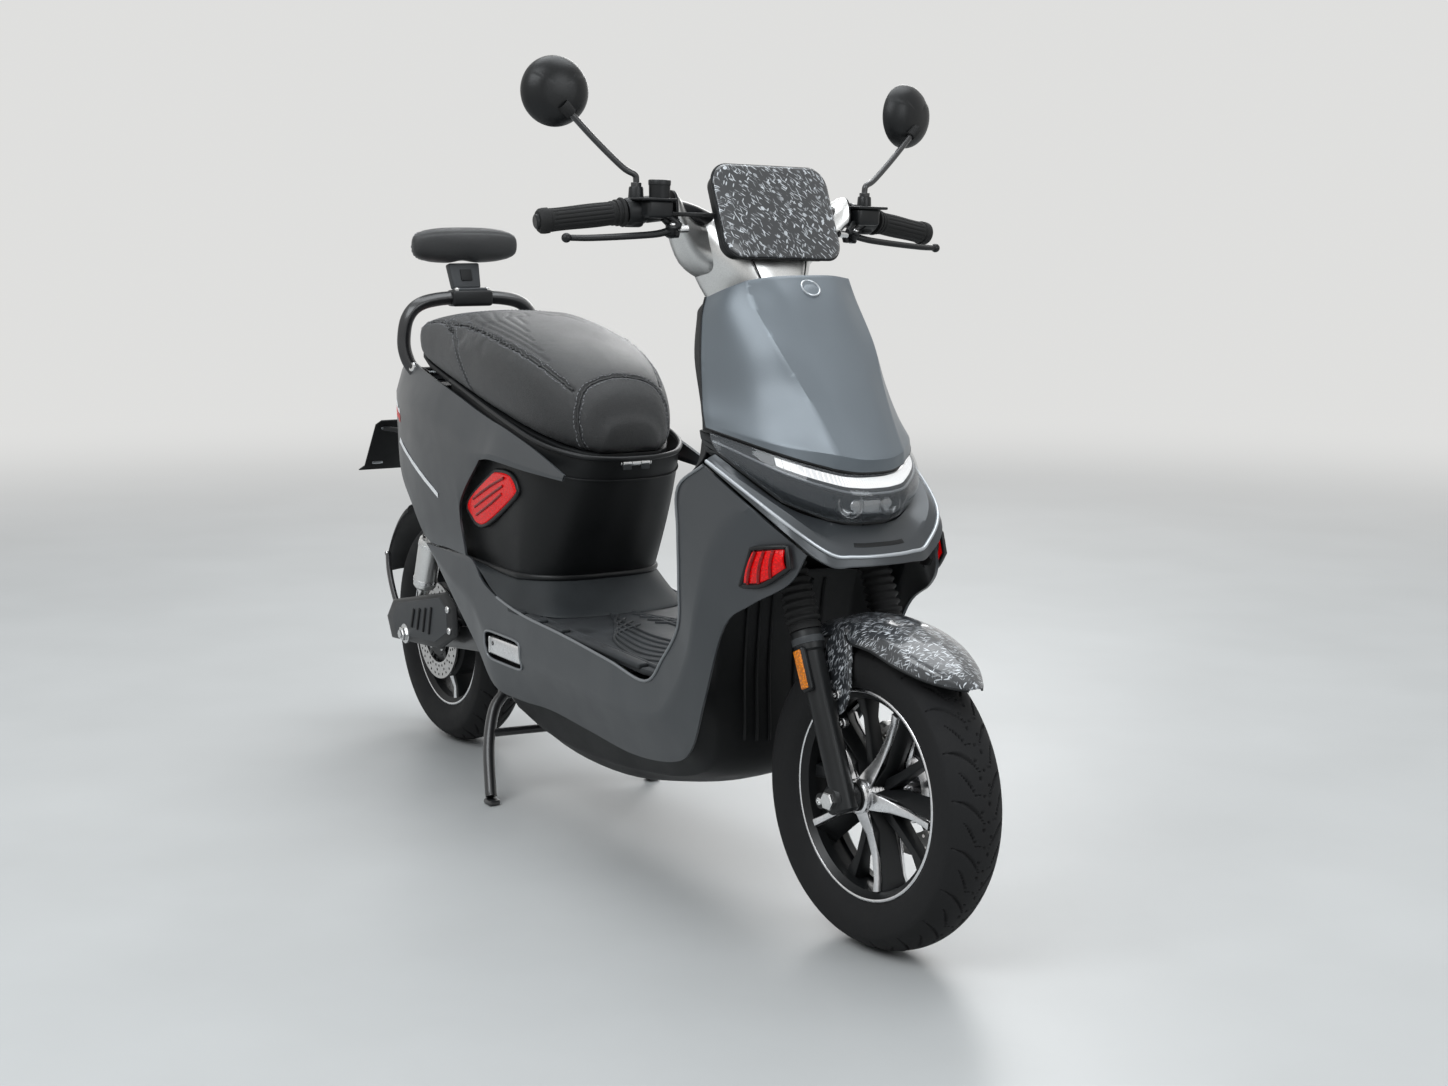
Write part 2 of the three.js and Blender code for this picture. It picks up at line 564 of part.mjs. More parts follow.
const padMiddleShares = [-0.4751, 0, 1.0328];
const batteryMiddleShares = [-0.2153, 0, 0.5436];
const coverShares = [[-0.5687, 0, 0.2559], [-0.5449, 0, 0.2967], [-0.3638, 0, 0.3533], [-0.3356, 0, 0.3307], [-0.3326, 0, 0.2718], [-0.386, 0, 0.2322], [-0.5531, 0, 0.2129]];
const coverPostShares = [-0.3712, 0, 0.2831];
const swingCrossShares = [-0.3148, 0, 0.2854];
const huggerStayShares = [[-0.631, 0.3882, 0.3284], [-0.5865, 0.4588, 0.2775], [-0.5457, 0.4706, 0.2514], [-0.5108, 0.4706, 0.2401]];
const standLegShares = [[-0.2168, 0.6588, 0.1586], [-0.1945, 0.8, 0.0997], [-0.1693, 0.8824, 0.0294], [-0.1633, 0.8941, 0.0136]];

// Wheels
const tyre = (x) => {
  const half = TYRE_WIDTH / 2;
  const foot = RIM_RADIUS + GAP;
  const depth = WHEEL_RADIUS - foot;
  const outerShares = [[0, RIM_WIDTH / TYRE_WIDTH], [0.3, 0.96], [0.62, 0.98], [0.9, 0.66], [1, 0]];
  const innerShares = [[0.76, 0], [0.15, 0.5]];
  const right = [...outerShares].map(([r, y]) => [foot + r * depth, y * half]);
  const left = right.slice(0, -1).reverse().map(([r, y]) => [r, -y]);
  const hollowLeft = innerShares.slice().reverse().map(([r, y]) => [foot + r * depth, -y * half]);
  const hollowRight = innerShares.slice(1).map(([r, y]) => [foot + r * depth, y * half]);
  const profile = [...right, ...left, ...hollowLeft, ...hollowRight];
  return turned([...profile, profile[0]], x, WHEEL_RADIUS, WHEEL_SIDES);
};

const rimBarrel = (x) => {
  const half = RIM_WIDTH / 2;
  const well = RIM_RADIUS - RIM_DROP;
  const upper = [[RIM_RADIUS, half], [well, half - 2 * RIM_WALL]];
  const lower = upper.slice().reverse().map(([r, y]) => [r, -y]);
  const edge = RIM_RADIUS - RIM_WALL;
  const inner = [[edge, half], [well - RIM_WALL, half - 2 * RIM_WALL]];
  const inside = [...inner.map(([r, y]) => [r, -y]), ...inner.slice().reverse()];
  const profile = [...upper, ...lower, ...inside];
  return turned([...profile, profile[0]], x, WHEEL_RADIUS, WHEEL_SIDES);
};

const spokes = (x, fromRadius, depth) =>
  Array.from({ length: SPOKE_COUNT }, (_, i) => {
    const angle = (i / SPOKE_COUNT) * fullTurn + degrees(SPOKE_PHASE_DEG);
    const end = RIM_RADIUS - RIM_DROP - RIM_WALL / 2;
    const corner = (radius, side) => {
      const [px, pz] = polar(x, WHEEL_RADIUS, radius, angle);
      return [px - side * Math.sin(angle), pz + side * Math.cos(angle)];
    };
    const outline = [
      corner(fromRadius, -SPOKE_WIDTH / 2),
      corner(end, -SPOKE_TIP_WIDTH / 2),
      corner(end, SPOKE_TIP_WIDTH / 2),
      corner(fromRadius, SPOKE_WIDTH / 2),
    ];
    return plate(outline, -depth / 2, depth / 2);
  });

const axleRoom = roomFor(AXLE_RADIUS, 12);
const frontRim = () => {
  const flange = DISC_BORE + 3 * DISC_THICKNESS;
  const hub = turned(
    [
      [axleRoom, -FRONT_HUB_HALF],
      [FRONT_HUB_RADIUS, -FRONT_HUB_HALF],
      [FRONT_HUB_RADIUS, FRONT_HUB_HALF - 2 * DISC_THICKNESS],
      [flange, FRONT_HUB_HALF - 2 * DISC_THICKNESS],
      [flange, FRONT_HUB_HALF],
      [axleRoom, FRONT_HUB_HALF],
      [axleRoom, -FRONT_HUB_HALF],
    ],
    frontAxleX,
    WHEEL_RADIUS,
    12
  );
  return joined([rimBarrel(frontAxleX), hub, ...spokes(frontAxleX, (AXLE_RADIUS + FRONT_HUB_RADIUS) / 2, SPOKE_DEPTH)]);
};

const rearRim = () => {
  const motor = turned(
    [
      [axleRoom, -MOTOR_HALF],
      [MOTOR_RADIUS * 0.7, -MOTOR_HALF],
      [MOTOR_RADIUS, -MOTOR_HALF * 0.7],
      [MOTOR_RADIUS, MOTOR_HALF * 0.7],
      [MOTOR_RADIUS * 0.7, MOTOR_HALF],
      [axleRoom, MOTOR_HALF],
      [axleRoom, -MOTOR_HALF],
    ],
    rearAxleX,
    WHEEL_RADIUS,
    16
  );
  return joined([rimBarrel(rearAxleX), motor, ...spokes(rearAxleX, MOTOR_RADIUS - RIM_WALL, SPOKE_DEPTH)]);
};

const disc = (x, from, to) => {
  const body = turned(
    [[DISC_BORE, from], [DISC_RADIUS, from], [DISC_RADIUS, to], [DISC_BORE, to], [DISC_BORE, from]],
    x,
    WHEEL_RADIUS,
    20
  );
  const middle = (DISC_BORE + DISC_RADIUS) / 2;
  const holes = Array.from({ length: DISC_HOLES }, (_, i) => {
    const [hx, hz] = polar(x, WHEEL_RADIUS, middle, (i / DISC_HOLES) * fullTurn);
    const [low, high] = [Math.min(from, to) - OVERRUN, Math.max(from, to) + OVERRUN];
    return rod(spot(hx, low, hz), spot(hx, high, hz), DISC_HOLE_RADIUS, 4);
  });
  return cutBy(body, holes);
};

// Front fork: yoke with stem and stanchions, lowers, bellows, fender
const forkCrown = () => {
  const stanchion = (side) =>
    rod(
      steerSpot(axleAlong + LEG_LENGTH / 2 - COLLAR_RADIUS / 2, side * LEG_OUT, legAhead),
      steerSpot(yokeTop - OVERRUN, side * LEG_OUT, legAhead),
      STANCHION_RADIUS,
      10
    );
  const yokeSize = [legAhead + STEM_RADIUS + 2 * YOKE_MARGIN, 2 * (LEG_OUT + YOKE_MARGIN), YOKE_HEIGHT];
  const yokeMiddle = steerSpot((yokeBottom + yokeTop) / 2, 0, (legAhead - STEM_RADIUS) / 2);
  const yoke = block(yokeMiddle, yokeSize, new THREE.Euler(0, -caster, 0));
  const race = rod(steerSpot(yokeTop - OVERRUN, 0, 0), steerSpot(yokeTop + RACE_HEIGHT, 0, 0), RACE_RADIUS, 8);
  const stem = rod(steerSpot(yokeBottom + OVERRUN, 0, 0), steerSpot(BAR_ALONG - SLEEVE_TOP, 0, 0), STEM_RADIUS, 10);
  return joined([yoke, race, stem, stanchion(1), stanchion(-1)]);
};

const forkLower = (side) => {
  const at = (along) => steerSpot(along, side * LEG_OUT, legAhead);
  const bottom = axleAlong - LUG_RADIUS;
  const collarFrom = legTop - COLLAR_RADIUS;
  const leg = rod(at(bottom), at(legTop - OVERRUN), LEG_RADIUS, 10);
  const collar = rod(at(collarFrom), at(legTop), COLLAR_RADIUS, 8);
  const axle = (from, to, radius, sides) =>
    rod(spot(frontAxleX, side * from, WHEEL_RADIUS), spot(frontAxleX, side * to, WHEEL_RADIUS), radius, sides);
  const lug = axle(FRONT_HUB_HALF + GAP, LEG_OUT + LEG_RADIUS, LUG_RADIUS, 8);
  const nut = axle(LEG_OUT, LEG_OUT + LEG_RADIUS + NUT_WIDTH, NUT_RADIUS, 6);
  const bore = rod(at(axleAlong + 2 * LUG_RADIUS), at(legTop + OVERRUN), STANCHION_RADIUS + GAP, 10);
  const parts = [leg, collar, lug, nut];
  if (side < 0) return joined([cutBy(joined(parts), [bore]), axle(LEG_OUT, -LEG_OUT + LEG_RADIUS, AXLE_RADIUS, 12)]);
  const axleHole = axle(0, LEG_OUT - LEG_RADIUS + GAP, AXLE_RADIUS + GAP, 12);
  return cutBy(joined([...parts, frontCaliper()]), [bore, axleHole]);
};

// The caliper straddles the disc behind the left leg
const frontCaliper = () => {
  const [x, z] = polar(frontAxleX, WHEEL_RADIUS, DISC_RADIUS - CALIPER_LENGTH / 4, degrees(CALIPER_ANGLE_DEG));
  const discMiddle = FRONT_HUB_HALF + GAP + DISC_THICKNESS / 2;
  const middle = spot(x, discMiddle + CALIPER_WIDTH / 5, z);
  const body = block(middle, [CALIPER_LENGTH, CALIPER_WIDTH, CALIPER_HEIGHT], new THREE.Euler(0, -degrees(CALIPER_ANGLE_DEG), 0));
  const slot = turned(
    [
      [AXLE_RADIUS, discMiddle - DISC_THICKNESS],
      [DISC_RADIUS + OVERRUN, discMiddle - DISC_THICKNESS],
      [DISC_RADIUS + OVERRUN, discMiddle + DISC_THICKNESS],
      [AXLE_RADIUS, discMiddle + DISC_THICKNESS],
      [AXLE_RADIUS, discMiddle - DISC_THICKNESS],
    ],
    frontAxleX,
    WHEEL_RADIUS,
    16
  );
  const leg = steerSpot(axleAlong + LEG_LENGTH * 0.28, LEG_OUT, legAhead);
  const arm = rod(spot(x, middle.y + CALIPER_WIDTH / 4, z), leg, DISC_THICKNESS * 1.5, 6);
  return joined([cutBy(body, [slot]), arm]);
};

const bellows = (side) => {
  const length = BELLOWS_LENGTH;
  const pitch = length / RIB_COUNT;
  const outer = [];
  for (let i = 0; i < RIB_COUNT; i += 1) {
    outer.push([BELLOWS_WAIST, i * pitch + pitch * 0.15], [BELLOWS_RADIUS, i * pitch + pitch * 0.6]);
  }
  const profile = [[BELLOWS_BORE, 0], [BELLOWS_WAIST, 0], ...outer, [BELLOWS_WAIST, length], [BELLOWS_BORE, length]];
  const bore = [0.75, 0.5, 0.25].map((share) => [BELLOWS_BORE, share * length]);
  const points = [...profile, ...bore, profile[0]].map(([r, y]) => new THREE.Vector2(r, y));
  const geometry = new THREE.LatheGeometry(points, 8);
  geometry.rotateX(Math.PI / 2);
  geometry.rotateY(-caster);
  const foot = steerSpot(legTop + GAP, side * LEG_OUT, legAhead);
  geometry.translate(foot.x, foot.y, foot.z);
  return outward(solid(geometry), geometry);
};

const fender = () => {
  // Angle in degrees round the axle, crown radius share of the wheel radius, half width share of the tyre width
  const ringShares = [
    [122, 1.172, 0.6], [114, 1.158, 0.48], [99, 1.149, 0.5], [90, 1.15, 0.69],
    [78, 1.155, 0.69], [66, 1.165, 0.66], [55, 1.18, 0.52], [48, 1.195, 0.32], [44, 1.205, 0.12],
  ];
  const crossShares = [[-1, 0.86], [-0.8, 0.945], [-0.42, 0.99], [0, 1], [0.42, 0.99], [0.8, 0.945], [1, 0.86]];
  const rows = ringShares.map(([angle, radiusShare, widthShare]) =>
    crossShares.map(([across, dropShare]) => {
      const drop = 1 - (1 - dropShare) * Math.min(1, widthShare * 1.5);
      const [x, z] = polar(frontAxleX, WHEEL_RADIUS, radiusShare * WHEEL_RADIUS * drop, degrees(angle));
      return spot(x, across * widthShare * TYRE_WIDTH, z);
    })
  );
  const shell = skin(rows, FENDER_WALL, spot(frontAxleX, 0, WHEEL_RADIUS), 1, 1);
  // A bracket runs down the inner face of each leg
  const ear = (side) => {
    const corner = (share, ahead) => {
      const p = steerSpot(axleAlong + LEG_LENGTH * share, 0, legAhead + ahead * LEG_RADIUS);
      return [p.x, p.z];
    };
    const outer = LEG_OUT - COLLAR_RADIUS - GAP;
    const outline = [
      corner(0.44, -0.5), corner(0.44, 0.5), corner(0.62, 2.2),
      corner(0.9, 2.6), corner(0.96, 0), corner(0.62, -0.6),
    ];
    const flat = plate(outline, side * (outer - BRACKET_THICKNESS), side * outer);
    const middle = outer - BRACKET_THICKNESS / 2;
    const hookFrom = steerSpot(axleAlong + LEG_LENGTH * 0.88, side * middle, legAhead + LEG_RADIUS);
    const [hx, hz] = polar(frontAxleX, WHEEL_RADIUS, 1.06 * WHEEL_RADIUS, degrees(99));
    const hook = rod(hookFrom, spot(hx, side * TYRE_WIDTH * 0.45, hz), BRACKET_HOOK_RADIUS, 5);
    const pin = steerSpot(axleAlong + LEG_LENGTH * 0.55, 0, legAhead);
    const boss = rod(aside(pin, side * middle), aside(pin, side * (LEG_OUT - LEG_RADIUS - GAP)), BRACKET_HOOK_RADIUS * 2, 6);
    return joined([flat, hook, boss]);
  };
  return joined([shell, ear(1), ear(-1)]);
};

// Handlebar
const barMiddle = steerSpot(BAR_ALONG, 0, BAR_LEAD);
const barSpot = (out) => {
  const side = Math.sign(out);
  const away = Math.abs(out);
  const bend = barMiddle.clone().add(spot(BAR_FORWARD, side * BAR_BEND, BAR_RISE));
  const share = (away - BAR_BEND) / (BAR_HALF - BAR_BEND);
  return spot(bend.x - share * BAR_SWEEP, side * away, bend.z - share * BAR_DROP);
};

const handlebar = () => {
  const middleRoute = [-1, -0.72, -0.35, 0, 0.35, 0.72, 1].map((share) => {
    const lift = Math.sin((Math.abs(share) * Math.PI) / 2) ** 2;
    return barMiddle.clone().add(spot(BAR_FORWARD * lift, share * BAR_BEND, BAR_RISE * lift));
  });
  const middle = tube(middleRoute, BAR_RADIUS, 8, 8);
  const ends = [-1, 1].map((side) => rod(barSpot(side * BAR_BEND), barSpot(side * BAR_HALF), BAR_RADIUS, 10));
  const sleeveFrom = steerSpot(BAR_ALONG - SLEEVE_LENGTH, 0, 0);
  const sleeve = rod(sleeveFrom, steerSpot(BAR_ALONG + SLEEVE_TOP, 0, 0), SLEEVE_RADIUS, 8);
  const socketTop = steerSpot(BAR_ALONG - SLEEVE_TOP + GAP, 0, 0);
  const socket = rod(steerSpot(BAR_ALONG - SLEEVE_LENGTH - OVERRUN, 0, 0), socketTop, STEM_RADIUS + GAP, 10);
  return cutBy(joined([middle, ...ends, sleeve]), [socket]);
};

const gripBody = (side) => {
  const outer = rod(barSpot(side * GRIP_FROM), barSpot(side * (BAR_HALF + GRIP_CAP)), GRIP_RADIUS, 10);
  const bore = rod(barSpot(side * (GRIP_FROM - OVERRUN)), barSpot(side * (BAR_HALF + GAP)), roomFor(BAR_RADIUS, 10), 10);
  return cutBy(outer, [bore]);
};

const leverPivot = (side) =>
  barSpot(side * LEVER_PIVOT_OUT).add(spot(LEVER_PIVOT_FORWARD, 0, -LEVER_PIVOT_DROP));
const leverTip = (side) => barSpot(side * LEVER_TIP_OUT).add(spot(LEVER_TIP_FORWARD, 0, -LEVER_TIP_DROP));
// The lever swings in the plane that holds its pivot, its tip and the bar
const leverAxis = (side) => {
  const reach = leverTip(side).sub(leverPivot(side));
  const toBar = barSpot(side * LEVER_TIP_OUT).sub(leverPivot(side));
  return reach.cross(toBar).multiplyScalar(side).normalize();
};

const lever = (side) => {
  const pivot = leverPivot(side);
  const tip = leverTip(side);
  const axis = leverAxis(side);
  const away = tip.clone().sub(pivot);
  const forward = axis.clone().cross(away).normalize().multiplyScalar(-side);
  const bulge = (share, out) => pivot.clone().addScaledVector(away, share).addScaledVector(forward, out);
  const route = [bulge(0.03, 0), bulge(0.2, LEVER_BALL), bulge(0.5, LEVER_BALL), bulge(0.8, LEVER_RADIUS), tip];
  const blade = tube(route, LEVER_RADIUS, 6, 5);
  const boss = rod(
    pivot.clone().addScaledVector(axis, -LEVER_THICKNESS / 2),
    pivot.clone().addScaledVector(axis, LEVER_THICKNESS / 2),
    LEVER_BOSS_RADIUS,
    10
  );
  const hole = rod(
    pivot.clone().addScaledVector(axis, -LEVER_THICKNESS),
    pivot.clone().addScaledVector(axis, LEVER_THICKNESS),
    roomFor(LEVER_PIN_RADIUS, 8),
    8
  );
  return cutBy(joined([blade, boss, ballAt(tip, LEVER_BALL)]), [hole]);
};

const mirrorBase = (side) => barSpot(side * MIRROR_BOSS_OUT).add(spot(0, 0, MIRROR_RISE));
const mirrorBall = (side) =>
  spot(barMiddle.x + MIRROR_FORWARD * 0.1, side * (MIRROR_OUT - 10 * GAP), barMiddle.z + MIRROR_HEIGHT);
const mirrorMiddle = (side) => {
  const height = barMiddle.z + MIRROR_HEIGHT + MIRROR_RADIUS * 0.5;
  return spot(barMiddle.x + MIRROR_FORWARD, side * MIRROR_OUT, height);
};

const controlPod = (side) => {
  const pivot = leverPivot(side);
  const axis = leverAxis(side);
  const clamp = rod(barSpot(side * POD_FROM), barSpot(side * (GRIP_FROM - SEAM)), POD_RADIUS, 8);
  const boreFrom = barSpot(side * (POD_FROM - 10 * OVERRUN));
  const bore = rod(boreFrom, barSpot(side * (GRIP_FROM + OVERRUN)), BAR_RADIUS + GAP, 10);
  const seat = barSpot(side * (POD_FROM + POD_RADIUS)).add(spot(MASTER_DEPTH / 2, 0, 0));
  const master = block(seat, [MASTER_DEPTH, MASTER_WIDTH, MASTER_HEIGHT]);
  // Two cheeks hold the lever between them, and a post on their inboard side carries them
  const pinHalf = LEVER_THICKNESS / 2 + GAP + THIN_WALL;
  const inboard = pivot.clone().sub(leverTip(side)).setLength(LEVER_BOSS_RADIUS + 2 * THIN_WALL);
  const cheeks = [-1, 1].flatMap((way) => {
    const middle = pivot.clone().addScaledVector(axis, way * (LEVER_THICKNESS / 2 + GAP + THIN_WALL / 2));
    const from = middle.clone().addScaledVector(axis, -THIN_WALL / 2);
    const to = middle.clone().addScaledVector(axis, THIN_WALL / 2);
    return [rod(from, to, LEVER_BOSS_RADIUS, 8), rod(middle, middle.clone().add(inboard), THIN_WALL / 2, 4)];
  });
  const postFoot = pivot.clone().add(inboard).addScaledVector(axis, -pinHalf);
  const postHead = pivot.clone().add(inboard).addScaledVector(axis, pinHalf);
  const postEnd = postHead.clone().addScaledVector(axis, THIN_WALL);
  const post = [rod(postFoot, postEnd, THIN_WALL, 5), rod(postHead, seat, THIN_WALL, 5)];
  const pin = rod(
    pivot.clone().addScaledVector(axis, -pinHalf),
    pivot.clone().addScaledVector(axis, pinHalf),
    LEVER_PIN_RADIUS,
    8
  );
  const base = mirrorBase(side);
  const low = barSpot(side * MIRROR_BOSS_OUT);
  const bend = base.clone().add(spot(0, 0, MIRROR_BALL * 1.5));
  const stem = tube([low, bend, mirrorBall(side)], MIRROR_STEM_RADIUS, 6, 6, 0.2);
  const ball = ballAt(mirrorBall(side), MIRROR_BALL - GAP);
  const parts = [clamp, master, ...cheeks, ...post, pin, stem, ball];
  if (side < 0) {
    const top = seat.clone().add(spot(0, 0, MASTER_HEIGHT / 2 - OVERRUN));
    parts.push(rod(top, top.clone().add(spot(0, 0, RESERVOIR_HEIGHT)), RESERVOIR_RADIUS, 8));
  }
  const cuts = [bore];
  if (side > 0) cuts.push(buttonHole());
  return cutBy(joined(parts), cuts);
};

const buttonSeat = () => barSpot(POD_FROM + 2 * POD_RADIUS).add(spot(-POD_RADIUS, 0, 0));
const buttonHole = () =>
  rod(buttonSeat().add(spot(BUTTON_HEIGHT * 0.8, 0, 0)), buttonSeat().add(spot(-BUTTON_HEIGHT, 0, 0)), BUTTON_RADIUS + GAP, 10);
const hornButton = () =>
  rod(
    buttonSeat().add(spot(BUTTON_HEIGHT * 0.8 - BUTTON_TRAVEL - GAP, 0, 0)),
    buttonSeat().add(spot(-BUTTON_HEIGHT, 0, 0)),
    BUTTON_RADIUS,
    10
  );

const mirrorHead = (side) => {
  const profile = [
    [0, -0.2], [0.88, -0.2], [1, -0.05], [0.97, 0.2], [0.8, 0.55], [0.5, 0.82], [0, 0.95],
  ].map(([r, h]) => new THREE.Vector2(r * MIRROR_RADIUS, h * MIRROR_DEPTH));
  const geometry = new THREE.LatheGeometry(profile, 10);
  geometry.rotateZ(-Math.PI / 2);
  geometry.rotateZ(side * degrees(MIRROR_YAW_DEG));
  const middle = mirrorMiddle(side);
  geometry.translate(middle.x, middle.y, middle.z);
  const shell = outward(solid(geometry), geometry);
  const ball = mirrorBall(side);
  const stemRoom = rod(ball, ball.clone().lerp(mirrorBase(side), 0.3), MIRROR_STEM_RADIUS + 1.6 * THIN_WALL, 8);
  return cutBy(shell, [ballAt(ball, MIRROR_BALL + GAP), stemRoom]);
};

// Instrument panel: a rounded plate that leans back, with its housing behind it
const panelFootShares = [0.3244, 0, 1.0272];
const panelHeadShares = [0.2858, 0, 1.1687];
const panelFoot = place(panelFootShares);
const panelHead = place(panelHeadShares);
const panelSlab = (inset, from, to) => {
  const half = PANEL_HALF_WIDTH - inset;
  const rise = panelHead.clone().sub(panelFoot);
  const halfHeight = rise.length() / 2 - inset;
  const corner = PANEL_HALF_WIDTH * 0.27;
  const shape = new THREE.Shape();
  const arc = (y, z, start) => shape.absarc(y, z, corner, start, start + Math.PI / 2, false);
  arc(half - corner, halfHeight - corner, 0);
  arc(-half + corner, halfHeight - corner, Math.PI / 2);
  arc(-half + corner, -halfHeight + corner, Math.PI);
  arc(half - corner, -halfHeight + corner, 1.5 * Math.PI);
  shape.closePath();
  const depth = to - from;
  const geometry = new THREE.ExtrudeGeometry(shape, { depth, curveSegments: 3, bevelEnabled: false });
  const normal = spot(rise.z, 0, -rise.x).normalize();
  const up = rise.clone().normalize();
  const middle = panelFoot.clone().add(panelHead).multiplyScalar(0.5).addScaledVector(normal, from);
  geometry.applyMatrix4(new THREE.Matrix4().makeBasis(spot(0, 1, 0), up, normal).setPosition(middle));
  return solid(geometry);
};
const panelCover = () => panelSlab(0, -PANEL_WALL_FRONT, 0);
const instrumentPanel = () => {
  const back = PANEL_WALL_FRONT + GAP;
  const housing = panelSlab(THIN_WALL, -back - PANEL_DEPTH, -back);
  const window = panelSlab(THIN_WALL * 5, -back - PANEL_DEPTH - OVERRUN, -back - PANEL_DEPTH + THIN_WALL);
  return cutBy(housing, [window]);
};

// The cast neck cover round the stem, with an arm along the bar to each side
const neckRing = (along, front, back, half, inset) => {
  const corner = 0.72;
  const pairs = [[1, -corner], [1, corner], [corner, 1], [-corner, 1], [-1, corner], [-1, -corner], [-corner, -1], [corner, -1]];
  const middle = (front + back) / 2;
  return pairs.map(([u, v]) => steerSpot(along, v * (half - inset), middle + u * ((front - back) / 2 - inset)));
};
// Distance along the axis as a share of the bar's, then front, back and half width as shares of the neck size
const neckLevelShares = [
  [0.903, 0.62, -0.62, 0.56],
  [0.93, 0.68, -0.66, 0.74],
  [0.965, 0.64, -0.6, 0.96],
  [1.016, 0.42, -0.36, 1],
];
const neckBody = (inset, lower, upper) =>
  loft(
    neckLevelShares.map(([alongShare, frontShare, backShare, halfShare], i) => {
      const lift = i === 0 ? -lower : i === neckLevelShares.length - 1 ? -upper : 0;
      const along = alongShare * BAR_ALONG + lift;
      return neckRing(along, frontShare * NECK_SIZE, backShare * NECK_SIZE, halfShare * NECK_SIZE, inset);
    })
  );
const barRoom = () => {
  const route = [-1, -0.72, -0.35, 0, 0.35, 0.72, 1].map((share) => {
    const lift = Math.sin((Math.abs(share) * Math.PI) / 2) ** 2;
    return barMiddle.clone().add(spot(BAR_FORWARD * lift, share * BAR_BEND, BAR_RISE * lift));
  });
  const ends = [-1, 1].map((side) => rod(barSpot(side * BAR_BEND), barSpot(side * POD_FROM), BAR_RADIUS + GAP, 10));
  return joined([tube(route, BAR_RADIUS + 2 * GAP, 8, 8), ...ends]);
};
const neckCover = () => {
  const arm = (side) => {
    const ring = (out, halfX, halfZ) => {
      const middle = barSpot(side * BAR_BEND);
      const share = out / BAR_BEND;
      const x = barMiddle.x + (middle.x - barMiddle.x) * share;
      const z = barMiddle.z + (middle.z - barMiddle.z) * share;
      const pairs = [[1, -0.6], [1, 0.6], [0.6, 1], [-0.6, 1], [-1, 0.6], [-1, -0.6], [-0.6, -1], [0.6, -1]];
      return pairs.map(([u, v]) => spot(x + u * halfX, side * out, z + v * halfZ));
    };
    const reach = NECK_ARM_END;
    return loft([
      ring(BAR_BEND * 0.45, 3.2 * BAR_RADIUS, 3 * BAR_RADIUS),
      ring(BAR_BEND * 0.72, 2.4 * BAR_RADIUS, 2.7 * BAR_RADIUS),
      ring(reach, 1.5 * BAR_RADIUS, 1.9 * BAR_RADIUS),
    ]);
  };
  const shell = joined([neckBody(0, 0, 0), arm(1), arm(-1)]);
  const hollow = neckBody(NECK_WALL, OVERRUN, NECK_WALL);
  const room = panelSlab(THIN_WALL - GAP, -PANEL_WALL_FRONT - PANEL_DEPTH - 2 * GAP, 0);
  return cutBy(shell, [hollow, barRoom(), room]);
};

const brakeHose = () => {
  const seat = barSpot(-(POD_FROM + POD_RADIUS)).add(spot(MASTER_DEPTH / 2, 0, 0));
  const start = seat.clone().add(spot(MASTER_DEPTH / 3.5, MASTER_WIDTH / 2 + 2 * GAP, -MASTER_HEIGHT / 5));
  const end = panelFoot.clone().add(panelHead).multiplyScalar(0.5);
  end.set(end.x - PANEL_DEPTH / 2 - PANEL_WALL_FRONT, -(PANEL_HALF_WIDTH - THIN_WALL + 3 * GAP), start.z);
  const bow = HOSE_RADIUS * 4;
  const near = start.clone().add(spot(0, bow, 0));
  const far = end.clone().add(spot(0, -bow, 0));
  const middle = start.clone().lerp(end, 0.5).add(spot(bow, 0, 0));
  return tube([start, near, middle, far, end], HOSE_RADIUS, 6, 8);
};

// Frame
const swingPivot = spot(-SWING_PIVOT_BACK, 0, SWING_PIVOT_HEIGHT);
const shockTop = spot(-SHOCK_TOP_BACK, 0, SHOCK_TOP_HEIGHT);
const shockFoot = spot(-SHOCK_FOOT_BACK, 0, SHOCK_FOOT_HEIGHT);
const standPivot = spot(-STAND_PIVOT_BACK, 0, STAND_PIVOT_HEIGHT);
const aside = (point, out) => spot(point.x, out, point.z);
const crossRod = (middle, half, radius, sides = 8) => rod(aside(middle, -half), aside(middle, half), radius, sides);
const seatUnder = (x) => SEAT_NOSE_UNDER - SEAT_SLOPE * x;
const downTubeShares = [[0.3155, 0, 0.6002], [0.3051, 0, 0.487], [0.2947, 0, 0.3794], [0.2821, 0, 0.3239], [0.245, 0, 0.2967]];
const sideTubeShares = [
  [0.242, 0.1765, 0.2945], [0.2049, 0.3765, 0.2831], [0.0891, 0.3765, 0.2775], [-0.0891, 0.3765, 0.2775], [-0.2079, 0.3765, 0.2786], [-0.2717, 0.3765, 0.2967],
  [-0.3341, 0.3765, 0.41],
];
const railFootShares = [[-0.4454, 0.3765, 0.6795], [-0.4336, 0.3765, 0.7492]];
const floorBarShares = [[0.1782, 0.8971, 0.3398], [-0.0371, 0.8841, 0.3398]];
const tubFootShares = [[-0.1366, 0.3765, 0.436], [-0.2561, 0.3765, 0.436]];
const bellyPostShares = [[-0.0742, 0.3529, 0.1223], [0.1826, 0.3235, 0.1506]];
const lampStayShares = [0.4725, 0, 0.6716];
const tailStayShares = [-0.5016, 0, 0.7492];
const floorHeight = (x) => {
  const share = (x + WHEEL_BASE * 0.14) / (WHEEL_BASE * 0.37);
  return FLOOR_REAR_HEIGHT + (FLOOR_FRONT_HEIGHT - FLOOR_REAR_HEIGHT) * share;
};

